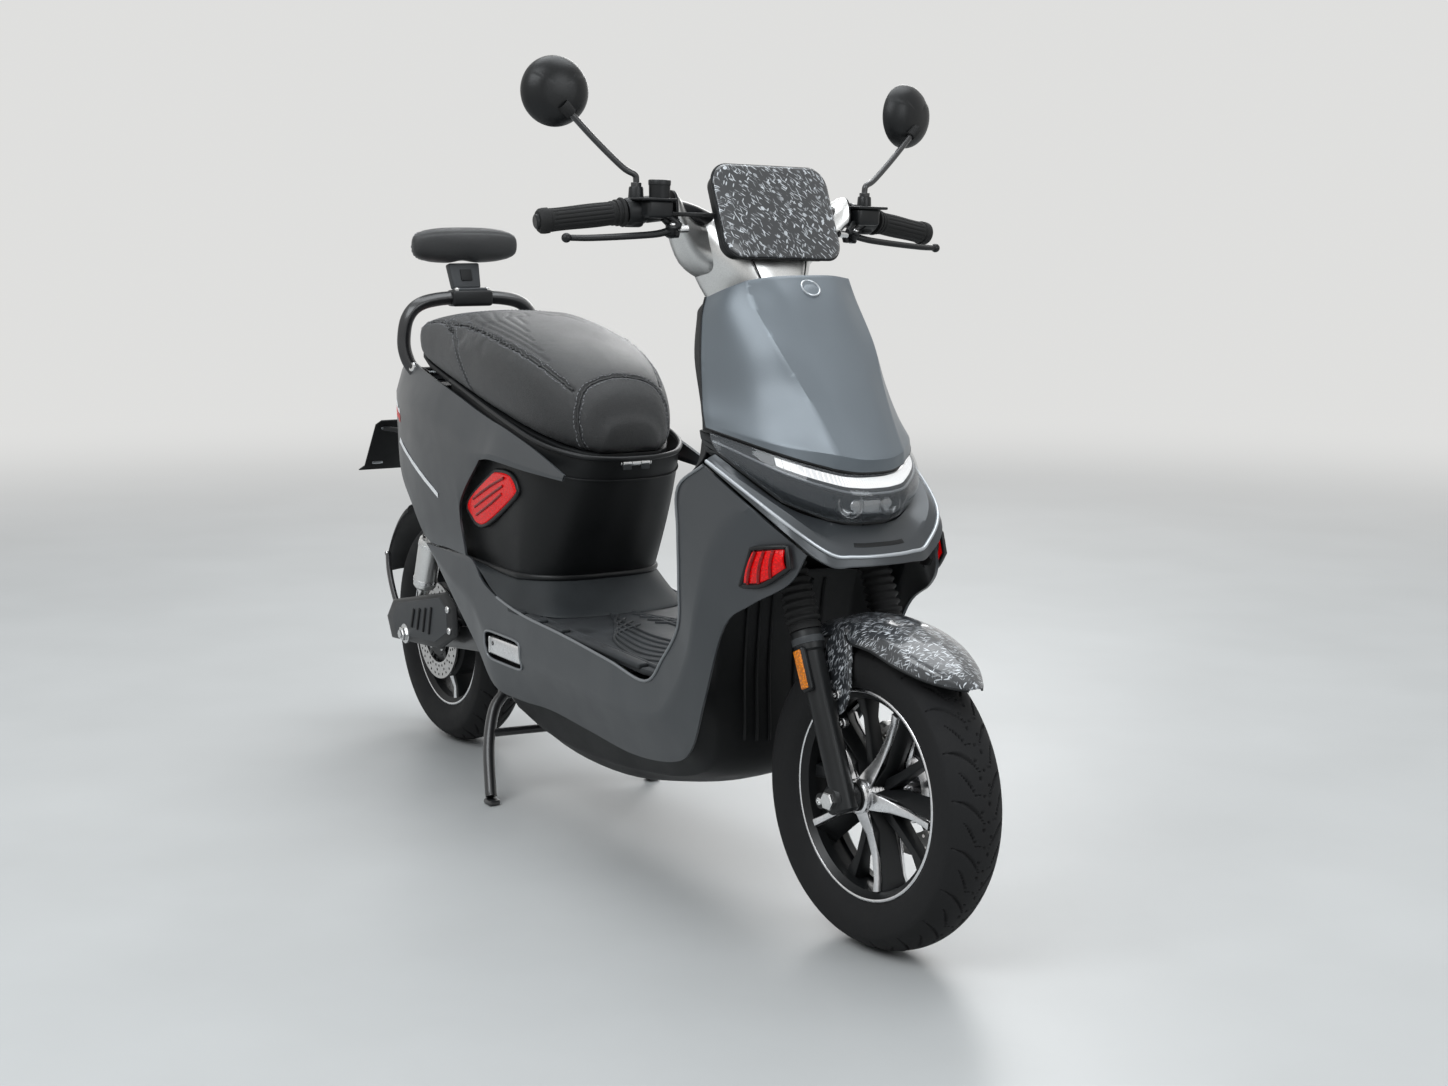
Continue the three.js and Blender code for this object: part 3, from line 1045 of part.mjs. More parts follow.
const headTube = () => {
  const along = (from, to, radius) => rod(steerSpot(from, 0, 0), steerSpot(to, 0, 0), radius, 10);
  const bore = along(headBottom - OVERRUN, headTop + OVERRUN, roomFor(STEM_RADIUS, 10));
  return { tube: along(headBottom, headTop, HEAD_TUBE_RADIUS), bore };
};
const lampStay = () => {
  const root = steerSpot((headBottom + headTop) / 2, 0, STEM_RADIUS + GAP);
  const end = inward(place(lampStayShares), place(bodyCoreShares), PANEL_WALL);
  return cutBy(rod(root, end, 2 * STUD_RADIUS, 6), [housingShell(PANEL_WALL + GAP)]);
};
const floorBarTop = (x) => floorHeight(x + FLOOR_BAR_WIDTH / 2) - MAT_THICKNESS - GAP;
const floorBar = (share) => {
  const end = place(share);
  const middle = spot(end.x, 0, floorBarTop(end.x) - FLOOR_BAR_HEIGHT / 2);
  const bar = block(middle, [FLOOR_BAR_WIDTH, 2 * end.y, FLOOR_BAR_HEIGHT]);
  const post = (side) => {
    const low = spot(end.x, side * SIDE_TUBE_OUT, SWING_PIVOT_HEIGHT);
    return rod(low, aside(middle, side * SIDE_TUBE_OUT), SIDE_TUBE_RADIUS / 2, 5);
  };
  return joined([bar, post(1), post(-1)]);
};
const tubFoot = (share) => {
  const middle = aside(place(share), 0).setZ(TUB_FLOOR - GAP - SIDE_TUBE_RADIUS / 2);
  const beam = block(middle, [2 * SIDE_TUBE_RADIUS, 2 * (SIDE_TUBE_OUT + SIDE_TUBE_RADIUS), SIDE_TUBE_RADIUS]);
  const leg = (side) => {
    const low = spot(middle.x, side * SIDE_TUBE_OUT, SWING_PIVOT_HEIGHT);
    return rod(low, aside(middle, side * SIDE_TUBE_OUT), SIDE_TUBE_RADIUS * 0.8, 6);
  };
  return joined([beam, leg(1), leg(-1)]);
};
const standLug = (side) => {
  const eye = (out) => aside(standPivot, side * (SIDE_TUBE_OUT + out));
  const web = rod(aside(swingPivot, side * SIDE_TUBE_OUT).setX(standPivot.x), eye(0), STAND_LUG, 6);
  return joined([web, rod(eye(-STAND_LUG), eye(STAND_LUG), STAND_LUG_RADIUS, 8)]);
};
const bellyPost = (share, side) => {
  const [end] = onSide([share], side);
  const low = inward(end, place(bellyCoreShares), THIN_WALL);
  return rod(spot(end.x, side * SIDE_TUBE_OUT, SWING_PIVOT_HEIGHT), low, STUD_RADIUS, 5);
};

const frame = () => {
  const head = headTube();
  const downTop = steerSpot((headBottom + headTop) / 2, 0, -STEM_RADIUS - GAP);
  const down = tube([downTop, ...downTubeShares.map(place)], FRAME_TUBE_RADIUS, 8, 7);
  const sideTube = (side) => {
    const top = aside(shockTop, side * SIDE_TUBE_OUT);
    return tube([...onSide(sideTubeShares, side), top, ...onSide(railFootShares, side)], SIDE_TUBE_RADIUS, 6, 10);
  };
  const nose = crossRod(place(downTubeShares[4]), SIDE_TUBE_OUT / 2 + SIDE_TUBE_RADIUS, SIDE_TUBE_RADIUS, 6);
  const [tailCross, railCross] = railFootShares.map(place);
  const sideEnd = ARM_FROM + ARM_THICKNESS + GAP;
  const swingNut = (side) => rod(aside(swingPivot, side * sideEnd), aside(swingPivot, side * (sideEnd + NUT_WIDTH)), NUT_RADIUS, 6);
  const outer = joined([
    ...floorBarShares.map(floorBar),
    ...bellyPostShares.flatMap((share) => [bellyPost(share, 1), bellyPost(share, -1)]),
  ]);
  const fixings = cutBy(outer, [
    fairingShell(1, PANEL_WALL + GAP), fairingShell(-1, PANEL_WALL + GAP), bellyShell(THIN_WALL + GAP),
  ]);
  const whole = joined([
    head.tube, down, sideTube(1), sideTube(-1), nose, lampStay(), fixings,
    crossRod(swingPivot, ARM_FROM - GAP, SWING_EYE_RADIUS, 8),
    crossRod(swingPivot, sideEnd + NUT_WIDTH, SWING_PIVOT_RADIUS, 10),
    swingNut(1), swingNut(-1),
    crossRod(shockTop, SHOCK_OUT + SHOCK_EYE_HALF + THIN_WALL, SHOCK_PIN_RADIUS, 8),
    crossRod(tailCross, SIDE_TUBE_OUT, SIDE_TUBE_RADIUS, 6),
    crossRod(railCross, RAIL_FOOT_OUT + RAIL_TUBE_RADIUS, SIDE_TUBE_RADIUS, 6),
    rod(aside(railCross, 0), place(tailStayShares), 2 * STUD_RADIUS, 6),
    standLug(1), standLug(-1), ...tubFootShares.map(tubFoot),
  ]);
  return cutBy(whole, [head.bore, crossRod(standPivot, STAND_HALF, roomFor(STAND_TUBE_RADIUS, 10), 10)]);
};

// Front body: rows run down, the first point of each row lies on the middle plane
const cowlShares = [
  [[0.3593, 0, 1], [0.3563, 0.2647, 0.9989], [0.3474, 0.4824, 0.9932], [0.3267, 0.5765, 0.9807], [0.2999, 0.6353, 0.966]],
  [[0.3786, 0, 0.9626], [0.3764, 0.2471, 0.9626], [0.3593, 0.4941, 0.9604], [0.3341, 0.6353, 0.949], [0.3036, 0.6882, 0.9377]],
  [[0.4128, 0, 0.8947], [0.4091, 0.2353, 0.8947], [0.3994, 0.4529, 0.8947], [0.3638, 0.6353, 0.889], [0.3148, 0.7529, 0.8811]],
  [[0.441, 0, 0.8381], [0.438, 0.2, 0.8381], [0.4276, 0.3824, 0.8392], [0.386, 0.6294, 0.8335], [0.3267, 0.8, 0.8267]],
  [[0.4692, 0, 0.7814], [0.467, 0.1647, 0.7814], [0.4573, 0.3235, 0.7837], [0.4098, 0.6294, 0.786], [0.34, 0.8529, 0.7973]],
  [[0.4915, 0, 0.7361], [0.4885, 0.1471, 0.7373], [0.4796, 0.2941, 0.7429], [0.4284, 0.6353, 0.7565], [0.346, 0.8647, 0.7792]],
  [[0.4848, 0, 0.7169], [0.4826, 0.1647, 0.718], [0.4736, 0.3294, 0.7237], [0.435, 0.6118, 0.7429], [0.3489, 0.8706, 0.7724]],
];
const lensShares = [
  [[0.4826, 0, 0.7123], [0.4811, 0.1647, 0.7135], [0.4722, 0.3294, 0.7191], [0.435, 0.6059, 0.7384], [0.3549, 0.8647, 0.7667]],
  [[0.4967, 0, 0.6863], [0.4944, 0.1647, 0.6874], [0.484, 0.3353, 0.6931], [0.4454, 0.6235, 0.7157], [0.3608, 0.8824, 0.7565]],
  [[0.4929, 0, 0.6569], [0.4907, 0.1765, 0.658], [0.4811, 0.3412, 0.6648], [0.4469, 0.6294, 0.6908], [0.3667, 0.8824, 0.7475]],
  [[0.4796, 0, 0.641], [0.4774, 0.1765, 0.6421], [0.4692, 0.3412, 0.6489], [0.4395, 0.6059, 0.6738], [0.3712, 0.8765, 0.7407]],
];
const apronShares = [
  [[0.4781, 0, 0.6365], [0.4759, 0.1765, 0.6376], [0.4677, 0.3412, 0.6444], [0.438, 0.6059, 0.6682], [0.3697, 0.8824, 0.7361]],
  [[0.4959, 0, 0.6093], [0.4922, 0.2353, 0.6104], [0.4848, 0.4235, 0.6195], [0.4543, 0.6824, 0.6636], [0.3653, 0.9235, 0.7305]],
  [[0.5026, 0, 0.5957], [0.4989, 0.2647, 0.5968], [0.4907, 0.4588, 0.6036], [0.4603, 0.7294, 0.6501], [0.3638, 0.9412, 0.7259]],
  [[0.5048, 0, 0.5821], [0.5011, 0.2706, 0.5821], [0.4929, 0.4706, 0.5855], [0.4692, 0.7294, 0.6319], [0.363, 0.9471, 0.7225]],
];
const bodySkin = (rows, wall, along, across) => skin(rows, wall, place(bodyCoreShares), along, across);
const frontSkin = (shares, wall, along, across) => bodySkin(bothSides(shares), wall, along, across);
const cowlShell = (wall) => frontSkin(cowlShares, wall, 1, 2);
const lensShell = (wall) => frontSkin(lensShares, wall, 1, 1);
const apronShell = (wall) => frontSkin(apronShares, wall, 1, 2);

// The housing is a tray behind the lens, with two lamp units in it
const housingPoint = (point, depth) => spot(point.x - depth, point.y * HOUSING_WIDTH_SHARE, point.z);
const housingRow = (k) => fullRow(lensShares[k].map((share) => housingPoint(place(share), HOUSING_DEPTH)));
const housingEdge = (k) => fullRow(lensShares[k].map((share) => inward(place(share), place(bodyCoreShares), BRIM_DEPTH)));
const housingShell = (wall) => {
  const last = lensShares.length - 1;
  return bodySkin([housingEdge(0), ...lensShares.map((_, k) => housingRow(k)), housingEdge(last)], wall, 1, 1);
};
const housingStudShares = [[0.4573, 0, 0.6625], [0.4781, 0, 0.5889], [0.4959, 0, 0.6093]];
const headlampHousing = () => {
  const lampMiddle = place(lampMiddleShares);
  const unit = (side) => {
    const front = aside(lampMiddle, side * LAMP_OUT);
    return rod(front.clone().add(spot(-LAMP_DEPTH, 0, 0)), front, LAMP_RADIUS, 8);
  };
  const [foot, elbow, end] = housingStudShares.map(place);
  const tip = inward(end, elbow, PANEL_WALL);
  const stud = joined([rod(foot, elbow, STUD_RADIUS, 5), rod(elbow, tip, STUD_RADIUS, 5)]);
  return joined([housingShell(PANEL_WALL), unit(1), unit(-1), cutBy(stud, [apronShell(PANEL_WALL + GAP)])]);
};

const innerShield = () => {
  const wall = skin(bothSides(innerShieldShares), PANEL_WALL, place(bodyCoreShares), 1, 1);
  // The deck lies square to the steering axis, under the neck cover
  const outline = closedOutline(deckShares.map(([out, ahead]) => spot(ahead * NECK_SIZE, out * NECK_SIZE, 0)));
  const ring = (along) => outline.map((p) => steerSpot(along, p.y, p.x));
  const deckTop = neckLevelShares[0][0] * BAR_ALONG - OVERRUN;
  const deck = loft([ring(deckTop - PANEL_WALL), ring(deckTop)]);
  const hole = rod(steerSpot(deckTop - 2 * PANEL_WALL, 0, 0), steerSpot(deckTop + 2 * PANEL_WALL, 0, 0), roomFor(STEM_RADIUS, 10) + SEAM, 8);
  const stayAt = (ahead) => steerSpot(SHIELD_STAY_ALONG, 0, ahead);
  const stay = rod(stayAt(-SHIELD_STAY_REACH), stayAt(-HEAD_TUBE_RADIUS - GAP), 2 * STUD_RADIUS, 5);
  const stud = (side) => {
    const [end] = onSide([cowlShares[1][2]], side);
    const root = steerSpot(deckTop - PANEL_WALL / 2, side * NECK_SIZE * 0.6, NECK_SIZE * 0.7);
    return rod(root, inward(end, place(bodyCoreShares), 2 * PANEL_WALL), STUD_RADIUS, 5);
  };
  const studs = cutBy(joined([stud(1), stud(-1)]), [cowlShell(PANEL_WALL + GAP)]);
  return cutBy(joined([wall, deck, stay, studs]), [hole, keyHole()]);
};

const keyMiddle = () => place(keyShares);
const keyBody = (radius, from, to) => {
  const lean = spot(-Math.cos(caster), 0, -Math.sin(caster));
  return rod(keyMiddle().addScaledVector(lean, from), keyMiddle().addScaledVector(lean, to), radius, 10);
};
const keyHole = () => keyBody(roomFor(KEY_RADIUS, 10), -2 * KEY_DEPTH, 2 * KEY_DEPTH);
const keySwitch = () => {
  const slot = keyBody(KEY_RADIUS * 0.25, KEY_DEPTH * 0.6, KEY_DEPTH + OVERRUN);
  return cutBy(keyBody(KEY_RADIUS, -KEY_DEPTH, KEY_DEPTH), [slot]);
};

// Side fairing: leg shield and floor side in one band, with a lamp pocket and a footpeg pocket
const lampSlab = (shares, side, inset, from, to) => {
  const points = shares.map((share) => place(share));
  const middle = points.reduce((sum, p) => sum.add(p), spot(0, 0, 0)).multiplyScalar(1 / points.length);
  const normal = points[2].clone().sub(points[0]).cross(points[1].clone().sub(points[points.length - 1])).normalize();
  if (normal.y < 0) normal.negate();
  const drawn = points.map((p) => p.clone().addScaledVector(p.clone().sub(middle).normalize(), inset));
  const ring = (offset) => drawn.map((p) => p.clone().addScaledVector(normal, offset));
  const rings = [ring(from), ring(to)].map((points) => points.map((p) => (side > 0 ? p : mirrored(p))));
  return loft(rings);
};
const frontLamp = (side) => lampSlab(frontLampShares, side, 0, -LAMP_SLAB, LAMP_PROUD);
const frontLampHole = (side) => lampSlab(frontLampShares, side, 2 * GAP, -LAMP_SLAB * 4, LAMP_SLAB * 2);
const rearLamp = (side) => lampSlab(rearLampShares, side, 0, -LAMP_SLAB, LAMP_PROUD);
const rearLampHole = (side) => lampSlab(rearLampShares, side, 2 * GAP, -LAMP_SLAB - 2 * GAP, LAMP_SLAB * 3);

const pegMiddle = (side) => spot(-PEG_BACK, side * PEG_FACE_OUT, PEG_BOTTOM + PEG_HEIGHT / 2);
const pegPocket = (side) => {
  const wide = PEG_LENGTH + 2 * PEG_MARGIN;
  const high = PEG_HEIGHT + 2 * PEG_MARGIN;
  const middle = pegMiddle(side).add(spot(0, (-side * POCKET_DEPTH) / 2, 0));
  const outer = block(middle, [wide + 2 * THIN_WALL, POCKET_DEPTH, high + 2 * THIN_WALL]);
  const hollowMiddle = middle.clone().add(spot(0, side * THIN_WALL, 0));
  const hollow = block(hollowMiddle, [wide, POCKET_DEPTH, high]);
  const mouth = block(middle.clone().add(spot(0, (side * POCKET_DEPTH) / 2, 0)), [wide, 2 * POCKET_DEPTH, high]);
  const pinZ = PEG_BOTTOM + PEG_PIN_RADIUS * 2;
  const pinY = side * (PEG_FACE_OUT - PEG_THICKNESS / 2 - PEG_SINK);
  const pin = rod(spot(-PEG_BACK - wide / 2 - THIN_WALL / 2, pinY, pinZ), spot(-PEG_BACK + wide / 2 + THIN_WALL / 2, pinY, pinZ), PEG_PIN_RADIUS, 6);
  return { outer, hollow, mouth, pin };
};
const fairingShell = (side, wall) => {
  const rows = [0, 1, 2].map((k) => onSide(fairingShares.map((column) => column[k]), side));
  return skin(rows, wall, place(fairingCoreShares), 2, 1);
};
const sideFairing = (side) => {
  const shell = fairingShell(side, PANEL_WALL);
  const pocket = pegPocket(side);
  const open = cutBy(shell, [pocket.mouth, frontLampHole(side)]);
  const tray = cutBy(pocket.outer, [pocket.hollow]);
  return joined([open, tray, pocket.pin]);
};
const footpeg = (side) => {
  const middle = pegMiddle(side).add(spot(0, -side * (PEG_THICKNESS / 2 + PEG_SINK), 0));
  const body = block(middle, [PEG_LENGTH, PEG_THICKNESS, PEG_HEIGHT]);
  const pinZ = PEG_BOTTOM + PEG_PIN_RADIUS * 2;
  const reach = PEG_LENGTH;
  const bore = rod(spot(-PEG_BACK - reach, middle.y, pinZ), spot(-PEG_BACK + reach, middle.y, pinZ), roomFor(PEG_PIN_RADIUS, 6), 6);
  return cutBy(body, [bore]);
};

const bellyShell = (wall) => skin(bothSides(bellyShares), wall, place(bellyCoreShares), 1, 1);

const floorMat = () => {
  const outline = closedOutline(matShares.map(place));
  const top = outline.map((p) => spot(p.x, p.y, floorHeight(p.x)));
  const low = outline.map((p) => spot(p.x, p.y, floorHeight(p.x) - MAT_THICKNESS));
  return loft([low, top]);
};

// Under-seat tub: its rim follows the underside of the seat
const tubSolid = (inset, bottom, lift = 0) => {
  const ring = (shares, heightOf) => {
    const half = shares.map(place).map((p) => {
      const middle = spot(TUB_MIDDLE_SHARE * WHEEL_BASE, 0, p.z);
      const away = p.clone().sub(middle);
      const pull = away.length() > 0 ? inset / away.length() : 0;
      return p.clone().addScaledVector(away, -pull);
    });
    return closedOutline(half).map((p) => spot(p.x, p.y, heightOf(p.x)));
  };
  const rim = (x) => seatUnder(x) - SEAT_PAN - GAP + lift;
  return loft([ring(tubLowShares, () => bottom), ring(tubTopShares, rim)]);
};
const panelStudShares = [[-0.2895, 0.8588, 0.7067], [-0.1448, 0.8647, 0.6772]];
const hingePin = () => spot(HINGE_X, 0, seatUnder(HINGE_X) - HINGE_DROP);
const knuckle = (from, to) => rod(aside(hingePin(), from), aside(hingePin(), to), HINGE_KNUCKLE_RADIUS, 8);
const seatTub = () => {
  const outer = tubSolid(0, TUB_FLOOR);
  const inner = tubSolid(TUB_WALL, TUB_FLOOR + TUB_WALL, OVERRUN * 4);
  const lugs = [1, -1].map((side) => {
    const middle = side * (HINGE_HALF - KNUCKLE_LENGTH / 2);
    const root = aside(hingePin(), middle).add(spot(HINGE_KNUCKLE_RADIUS * 0.2, 0, -3 * HINGE_KNUCKLE_RADIUS));
    const web = rod(aside(hingePin(), middle), root, TUB_WALL * 0.9, 6);
    return joined([knuckle(side * HINGE_HALF, side * (HINGE_HALF - KNUCKLE_LENGTH)), web]);
  });
  const pin = crossRod(hingePin(), HINGE_HALF, HINGE_PIN_RADIUS, 8);
  const stud = (share, side) => {
    const [end] = onSide([share], side);
    return rod(aside(end, side * (TUB_HALF - TUB_WALL)), aside(end, side * (Math.abs(end.y) - PANEL_WALL)), STUD_RADIUS, 5);
  };
  const studs = panelStudShares.flatMap((share) => [stud(share, 1), stud(share, -1)]);
  const fixings = cutBy(joined(studs), [1, -1].map((side) => sidePanelShell(side, PANEL_WALL + GAP)));
  const knuckleRoom = crossRod(hingePin(), HINGE_HALF - KNUCKLE_LENGTH, HINGE_KNUCKLE_RADIUS + SEAM, 8);
  const lampRoom = [1, -1].map((side) => rearLampHole(side));
  return joined([cutBy(outer, [inner, knuckleRoom, ...lampRoom]), ...lugs, pin, fixings]);
};

// Seat: a pan under a crowned cushion
const seatStations = () => seatShares.map(([x, half, rise]) => ({ x: x * WHEEL_BASE, half: half * BODY_HALF_WIDTH, top: rise * COWL_TOP }));
const seatBase = () => {
  const rings = seatStations().slice(0, -1).map(({ x, half }) => {
    const reach = half * PAN_WIDTH_SHARE;
    const low = seatUnder(x) - SEAT_PAN;
    const high = seatUnder(x) - GAP;
    return [spot(x, -reach, low), spot(x, reach, low), spot(x, reach, high), spot(x, -reach, high)];
  });
  const inner = HINGE_HALF - KNUCKLE_LENGTH - GAP;
  const bridgeMiddle = hingePin().add(spot(-2.5 * HINGE_KNUCKLE_RADIUS, 0, HINGE_KNUCKLE_RADIUS / 2));
  const bridge = block(bridgeMiddle, [5 * HINGE_KNUCKLE_RADIUS, 2 * inner, HINGE_KNUCKLE_RADIUS]);
  const bore = crossRod(hingePin(), HINGE_HALF, roomFor(HINGE_PIN_RADIUS, 8), 8);
  return cutBy(joined([loft(rings), bridge, knuckle(-inner, inner)]), [bore]);
};
const seatCushion = () => {
  // Half width share, and height share from underside to crown, round one side of the seat
  const crossShares = [
    [0, 0], [0.88, 0], [0.955, 0.12], [1, 0.5], [0.97, 0.76], [0.86, 0.9], [0.55, 0.98], [0, 1],
  ];
  const curve = (values) => new THREE.CatmullRomCurve3(values);
  const stations = seatStations();
  const path = curve(stations.map(({ x, half, top }) => spot(x, half, top)));
  const steps = SEAT_STEPS;
  const rings = [];
  for (let i = 0; i <= steps; i += 1) {
    const { x, y: half, z: top } = path.getPoint(i / steps);
    const channel = seatChannelShares.reduce((least, share) => Math.min(least, Math.abs(i / steps - share) * steps), 2);
    const draw = channel < 1 ? 1 - SEAT_CHANNEL * (1 - channel) : 1;
    const low = seatUnder(x);
    const side = crossShares.map(([u, v]) => spot(x, u * half * (v > 0 ? draw : 1), low + v * (top - low) * (v > 0.5 ? draw : 1)));
    rings.push([...side, ...side.slice(1, -1).reverse().map(mirrored)]);
  }
  return loft(rings);
};

const sidePanelShell = (side, wall) => {
  const rows = [0, 1, 2].map((k) => onSide(sidePanelShares.map((column) => column[k]), side));
  return skin(rows, wall, place(sidePanelCoreShares), 2, 1);
};
const sidePanel = (side) => cutBy(sidePanelShell(side, PANEL_WALL), [railTube(RAIL_TUBE_RADIUS + GAP)]);

const tailLamp = () => {
  const points = tailLampShares.map(place);
  const outline = points.map((p) => [p.x, p.z]);
  return plate(outline, -TAIL_LAMP_HALF, TAIL_LAMP_HALF);
};

const plateHolder = () => {
  const [head, foot] = plateShares.map(place);
  const slope = head.clone().sub(foot);
  const flat = block(
    head.clone().add(foot).multiplyScalar(0.5),
    [THIN_WALL, 2 * PLATE_HALF, slope.length()],
    new THREE.Euler(0, Math.atan2(slope.x, slope.z), 0)
  );
  const arm = tube([...plateArmShares.map(place), head.clone().lerp(foot, 0.25)], RAIL_TUBE_RADIUS * 0.8, 6, 8);
  return joined([flat, arm]);
};

const railTube = (radius) => {
  const half = railShares.map(place);
  return tube([...half.slice().reverse().map(mirrored), ...half.slice(1)], radius, 8, 14);
};
const grabRail = () => {
  const padFoot = place(padMiddleShares).add(spot(0, 0, -PAD_HEIGHT / 2 - GAP));
  const post = tube(postShares.map(place), POST_RADIUS, 8, 4);
  const plug = rod(padFoot.clone().setZ(place(postShares[2]).z - POST_RADIUS), padFoot, POST_RADIUS, 8);
  const clampSize = [3 * RAIL_TUBE_RADIUS, 5 * RAIL_TUBE_RADIUS, 2.6 * RAIL_TUBE_RADIUS];
  return joined([railTube(RAIL_TUBE_RADIUS), post, plug, block(place(railShares[0]), clampSize)]);
};

// The pad's ends are drawn in and bent towards the rider
const padAcrossShares = [-1, -0.93, -0.75, -0.4, 0, 0.4, 0.75, 0.93, 1];
const backrestPad = () => {
  const middle = place(padMiddleShares);
  const rings = padAcrossShares.map((across) => {
    const swell = Math.sqrt(Math.max(0.06, 1 - Math.abs(across) ** 3.2));
    return Array.from({ length: 16 }, (_, k) => {
      const angle = (k / 16) * fullTurn;
      const [c, s] = [Math.cos(angle), Math.sin(angle)];
      const depth = (Math.sign(c) * Math.abs(c) ** 0.7 * swell * PAD_DEPTH) / 2;
      const height = (Math.sign(s) * Math.abs(s) ** 0.7 * (0.3 + 0.7 * swell) * PAD_HEIGHT) / 2;
      return middle.clone().add(spot(depth + across ** 2 * PAD_BOW, across * PAD_HALF, height));
    });
  });
  return loft(rings);
};

const battery = () => {
  const middle = place(batteryMiddleShares).setZ(TUB_FLOOR + TUB_WALL + GAP + BATTERY_HEIGHT / 2);
  return block(middle, [BATTERY_LENGTH, BATTERY_WIDTH, BATTERY_HEIGHT]);
};
const controller = () => {
  const { x } = place(floorBarShares[1]);
  const top = floorBarTop(x) - FLOOR_BAR_HEIGHT - GAP;
  const width = 2 * (SIDE_TUBE_OUT - SIDE_TUBE_RADIUS - SEAM);
  return block(spot(x, 0, top - CONTROLLER_HEIGHT / 2), [CONTROLLER_LENGTH, width, CONTROLLER_HEIGHT]);
};

// Rear end
const rearAxle = spot(rearAxleX, 0, WHEEL_RADIUS);
const coverPlate = (side) => {
  const outline = coverShares.map(place).map((p) => [p.x, p.z]);
  return plate(outline, side * COVER_FROM, side * (COVER_FROM + COVER_THICKNESS));
};
const swingArmPlate = (side) => {
  const along = rearAxle.clone().sub(swingPivot);
  const angle = Math.atan2(along.z, along.x);
  const corner = (middle, radius, turn) => polar(middle.x, middle.z, radius, angle + turn);
  const front = [0.5, 0.75, 1, 1.25, 1.5].map((turn) => corner(swingPivot, ARM_HEIGHT / 2, turn * Math.PI));
  const back = [-0.5, -0.25, 0, 0.25, 0.5].map((turn) => corner(rearAxle, ARM_HEIGHT / 2, turn * Math.PI));
  return plate([...front, ...back], side * ARM_FROM, side * (ARM_FROM + ARM_THICKNESS));
};
const swingSide = (side) => {
  const middle = side * (ARM_FROM + ARM_THICKNESS / 2);
  const inside = side * (COVER_FROM + THIN_WALL);
  const spacer = (from, radius) => rod(aside(from, side * ARM_FROM), aside(from, inside), radius, 8);
  const lug = rod(spot(shockFoot.x, middle, WHEEL_RADIUS), aside(shockFoot, middle), ARM_THICKNESS / 2 - GAP, 6);
  const axleSpacer = rod(aside(rearAxle, side * (MOTOR_HALF + GAP)), aside(rearAxle, middle), SHOCK_EYE_RADIUS, 8);
  const pieces = [swingArmPlate(side), coverPlate(side), spacer(place(coverPostShares), NUT_WIDTH)];
  return joined([...pieces, spacer(shockFoot, SHOCK_PIN_RADIUS), lug, axleSpacer]);
};
const rearCaliper = () => {
  const [x, z] = polar(rearAxleX, WHEEL_RADIUS, DISC_RADIUS + CALIPER_WIDTH / 4, degrees(REAR_CALIPER_DEG));
  const reach = ARM_FROM + THIN_WALL;
  const turn = new THREE.Euler(0, -degrees(REAR_CALIPER_DEG), 0);
  const middle = spot(x, -(REAR_CALIPER_FROM + reach) / 2, z);
  const body = block(middle, [CALIPER_WIDTH, reach - REAR_CALIPER_FROM, REAR_CALIPER_LENGTH], turn);
  const slotFrom = -(MOTOR_HALF + GAP + DISC_THICKNESS + SEAM);
  const slotTo = -(MOTOR_HALF + GAP - SEAM);
  const bore = SHOCK_EYE_RADIUS;
  const far = DISC_RADIUS + OVERRUN;
  const profile = [[bore, slotFrom], [far, slotFrom], [far, slotTo], [bore, slotTo], [bore, slotFrom]];
  return cutBy(body, [turned(profile, rearAxleX, WHEEL_RADIUS, 20)]);
};
const swingarm = () => {
  const cross = crossRod(place(swingCrossShares), ARM_FROM + THIN_WALL, SIDE_TUBE_RADIUS, 8);
  const shaft = crossRod(rearAxle, COVER_FROM + THIN_WALL, AXLE_RADIUS, 12);
  const bore = crossRod(swingPivot, COVER_FROM, roomFor(SWING_PIVOT_RADIUS, 10), 10);
  const pieces = [swingSide(1), swingSide(-1), cross, shaft, rearCaliper(), hugger(), huggerStay(1), huggerStay(-1)];
  return cutBy(joined(pieces), [bore]);
};
const huggerAngles = [122, 132, 142, 152, 161];
const hugger = () => {
  const crossShares = [[-1, 0.93], [-0.8, 0.98], [0, 1], [0.8, 0.98], [1, 0.93]];
  const rows = huggerAngles.map((angle) =>
    crossShares.map(([across, share]) => {
      const [x, z] = polar(rearAxleX, WHEEL_RADIUS, share * HUGGER_RADIUS, degrees(angle));
      return spot(x, across * HUGGER_HALF, z);
    })
  );
  return skin(rows, THIN_WALL, spot(rearAxleX, 0, WHEEL_RADIUS), 1, 1);
};
const huggerStay = (side) => {
  const [x, z] = polar(rearAxleX, WHEEL_RADIUS, HUGGER_RADIUS * 0.95, degrees(152));
  const route = [spot(x, side * HUGGER_HALF * 0.96, z), ...onSide(huggerStayShares, side)];
  return tube(route, RAIL_TUBE_RADIUS * 0.5, 5, 5);
};

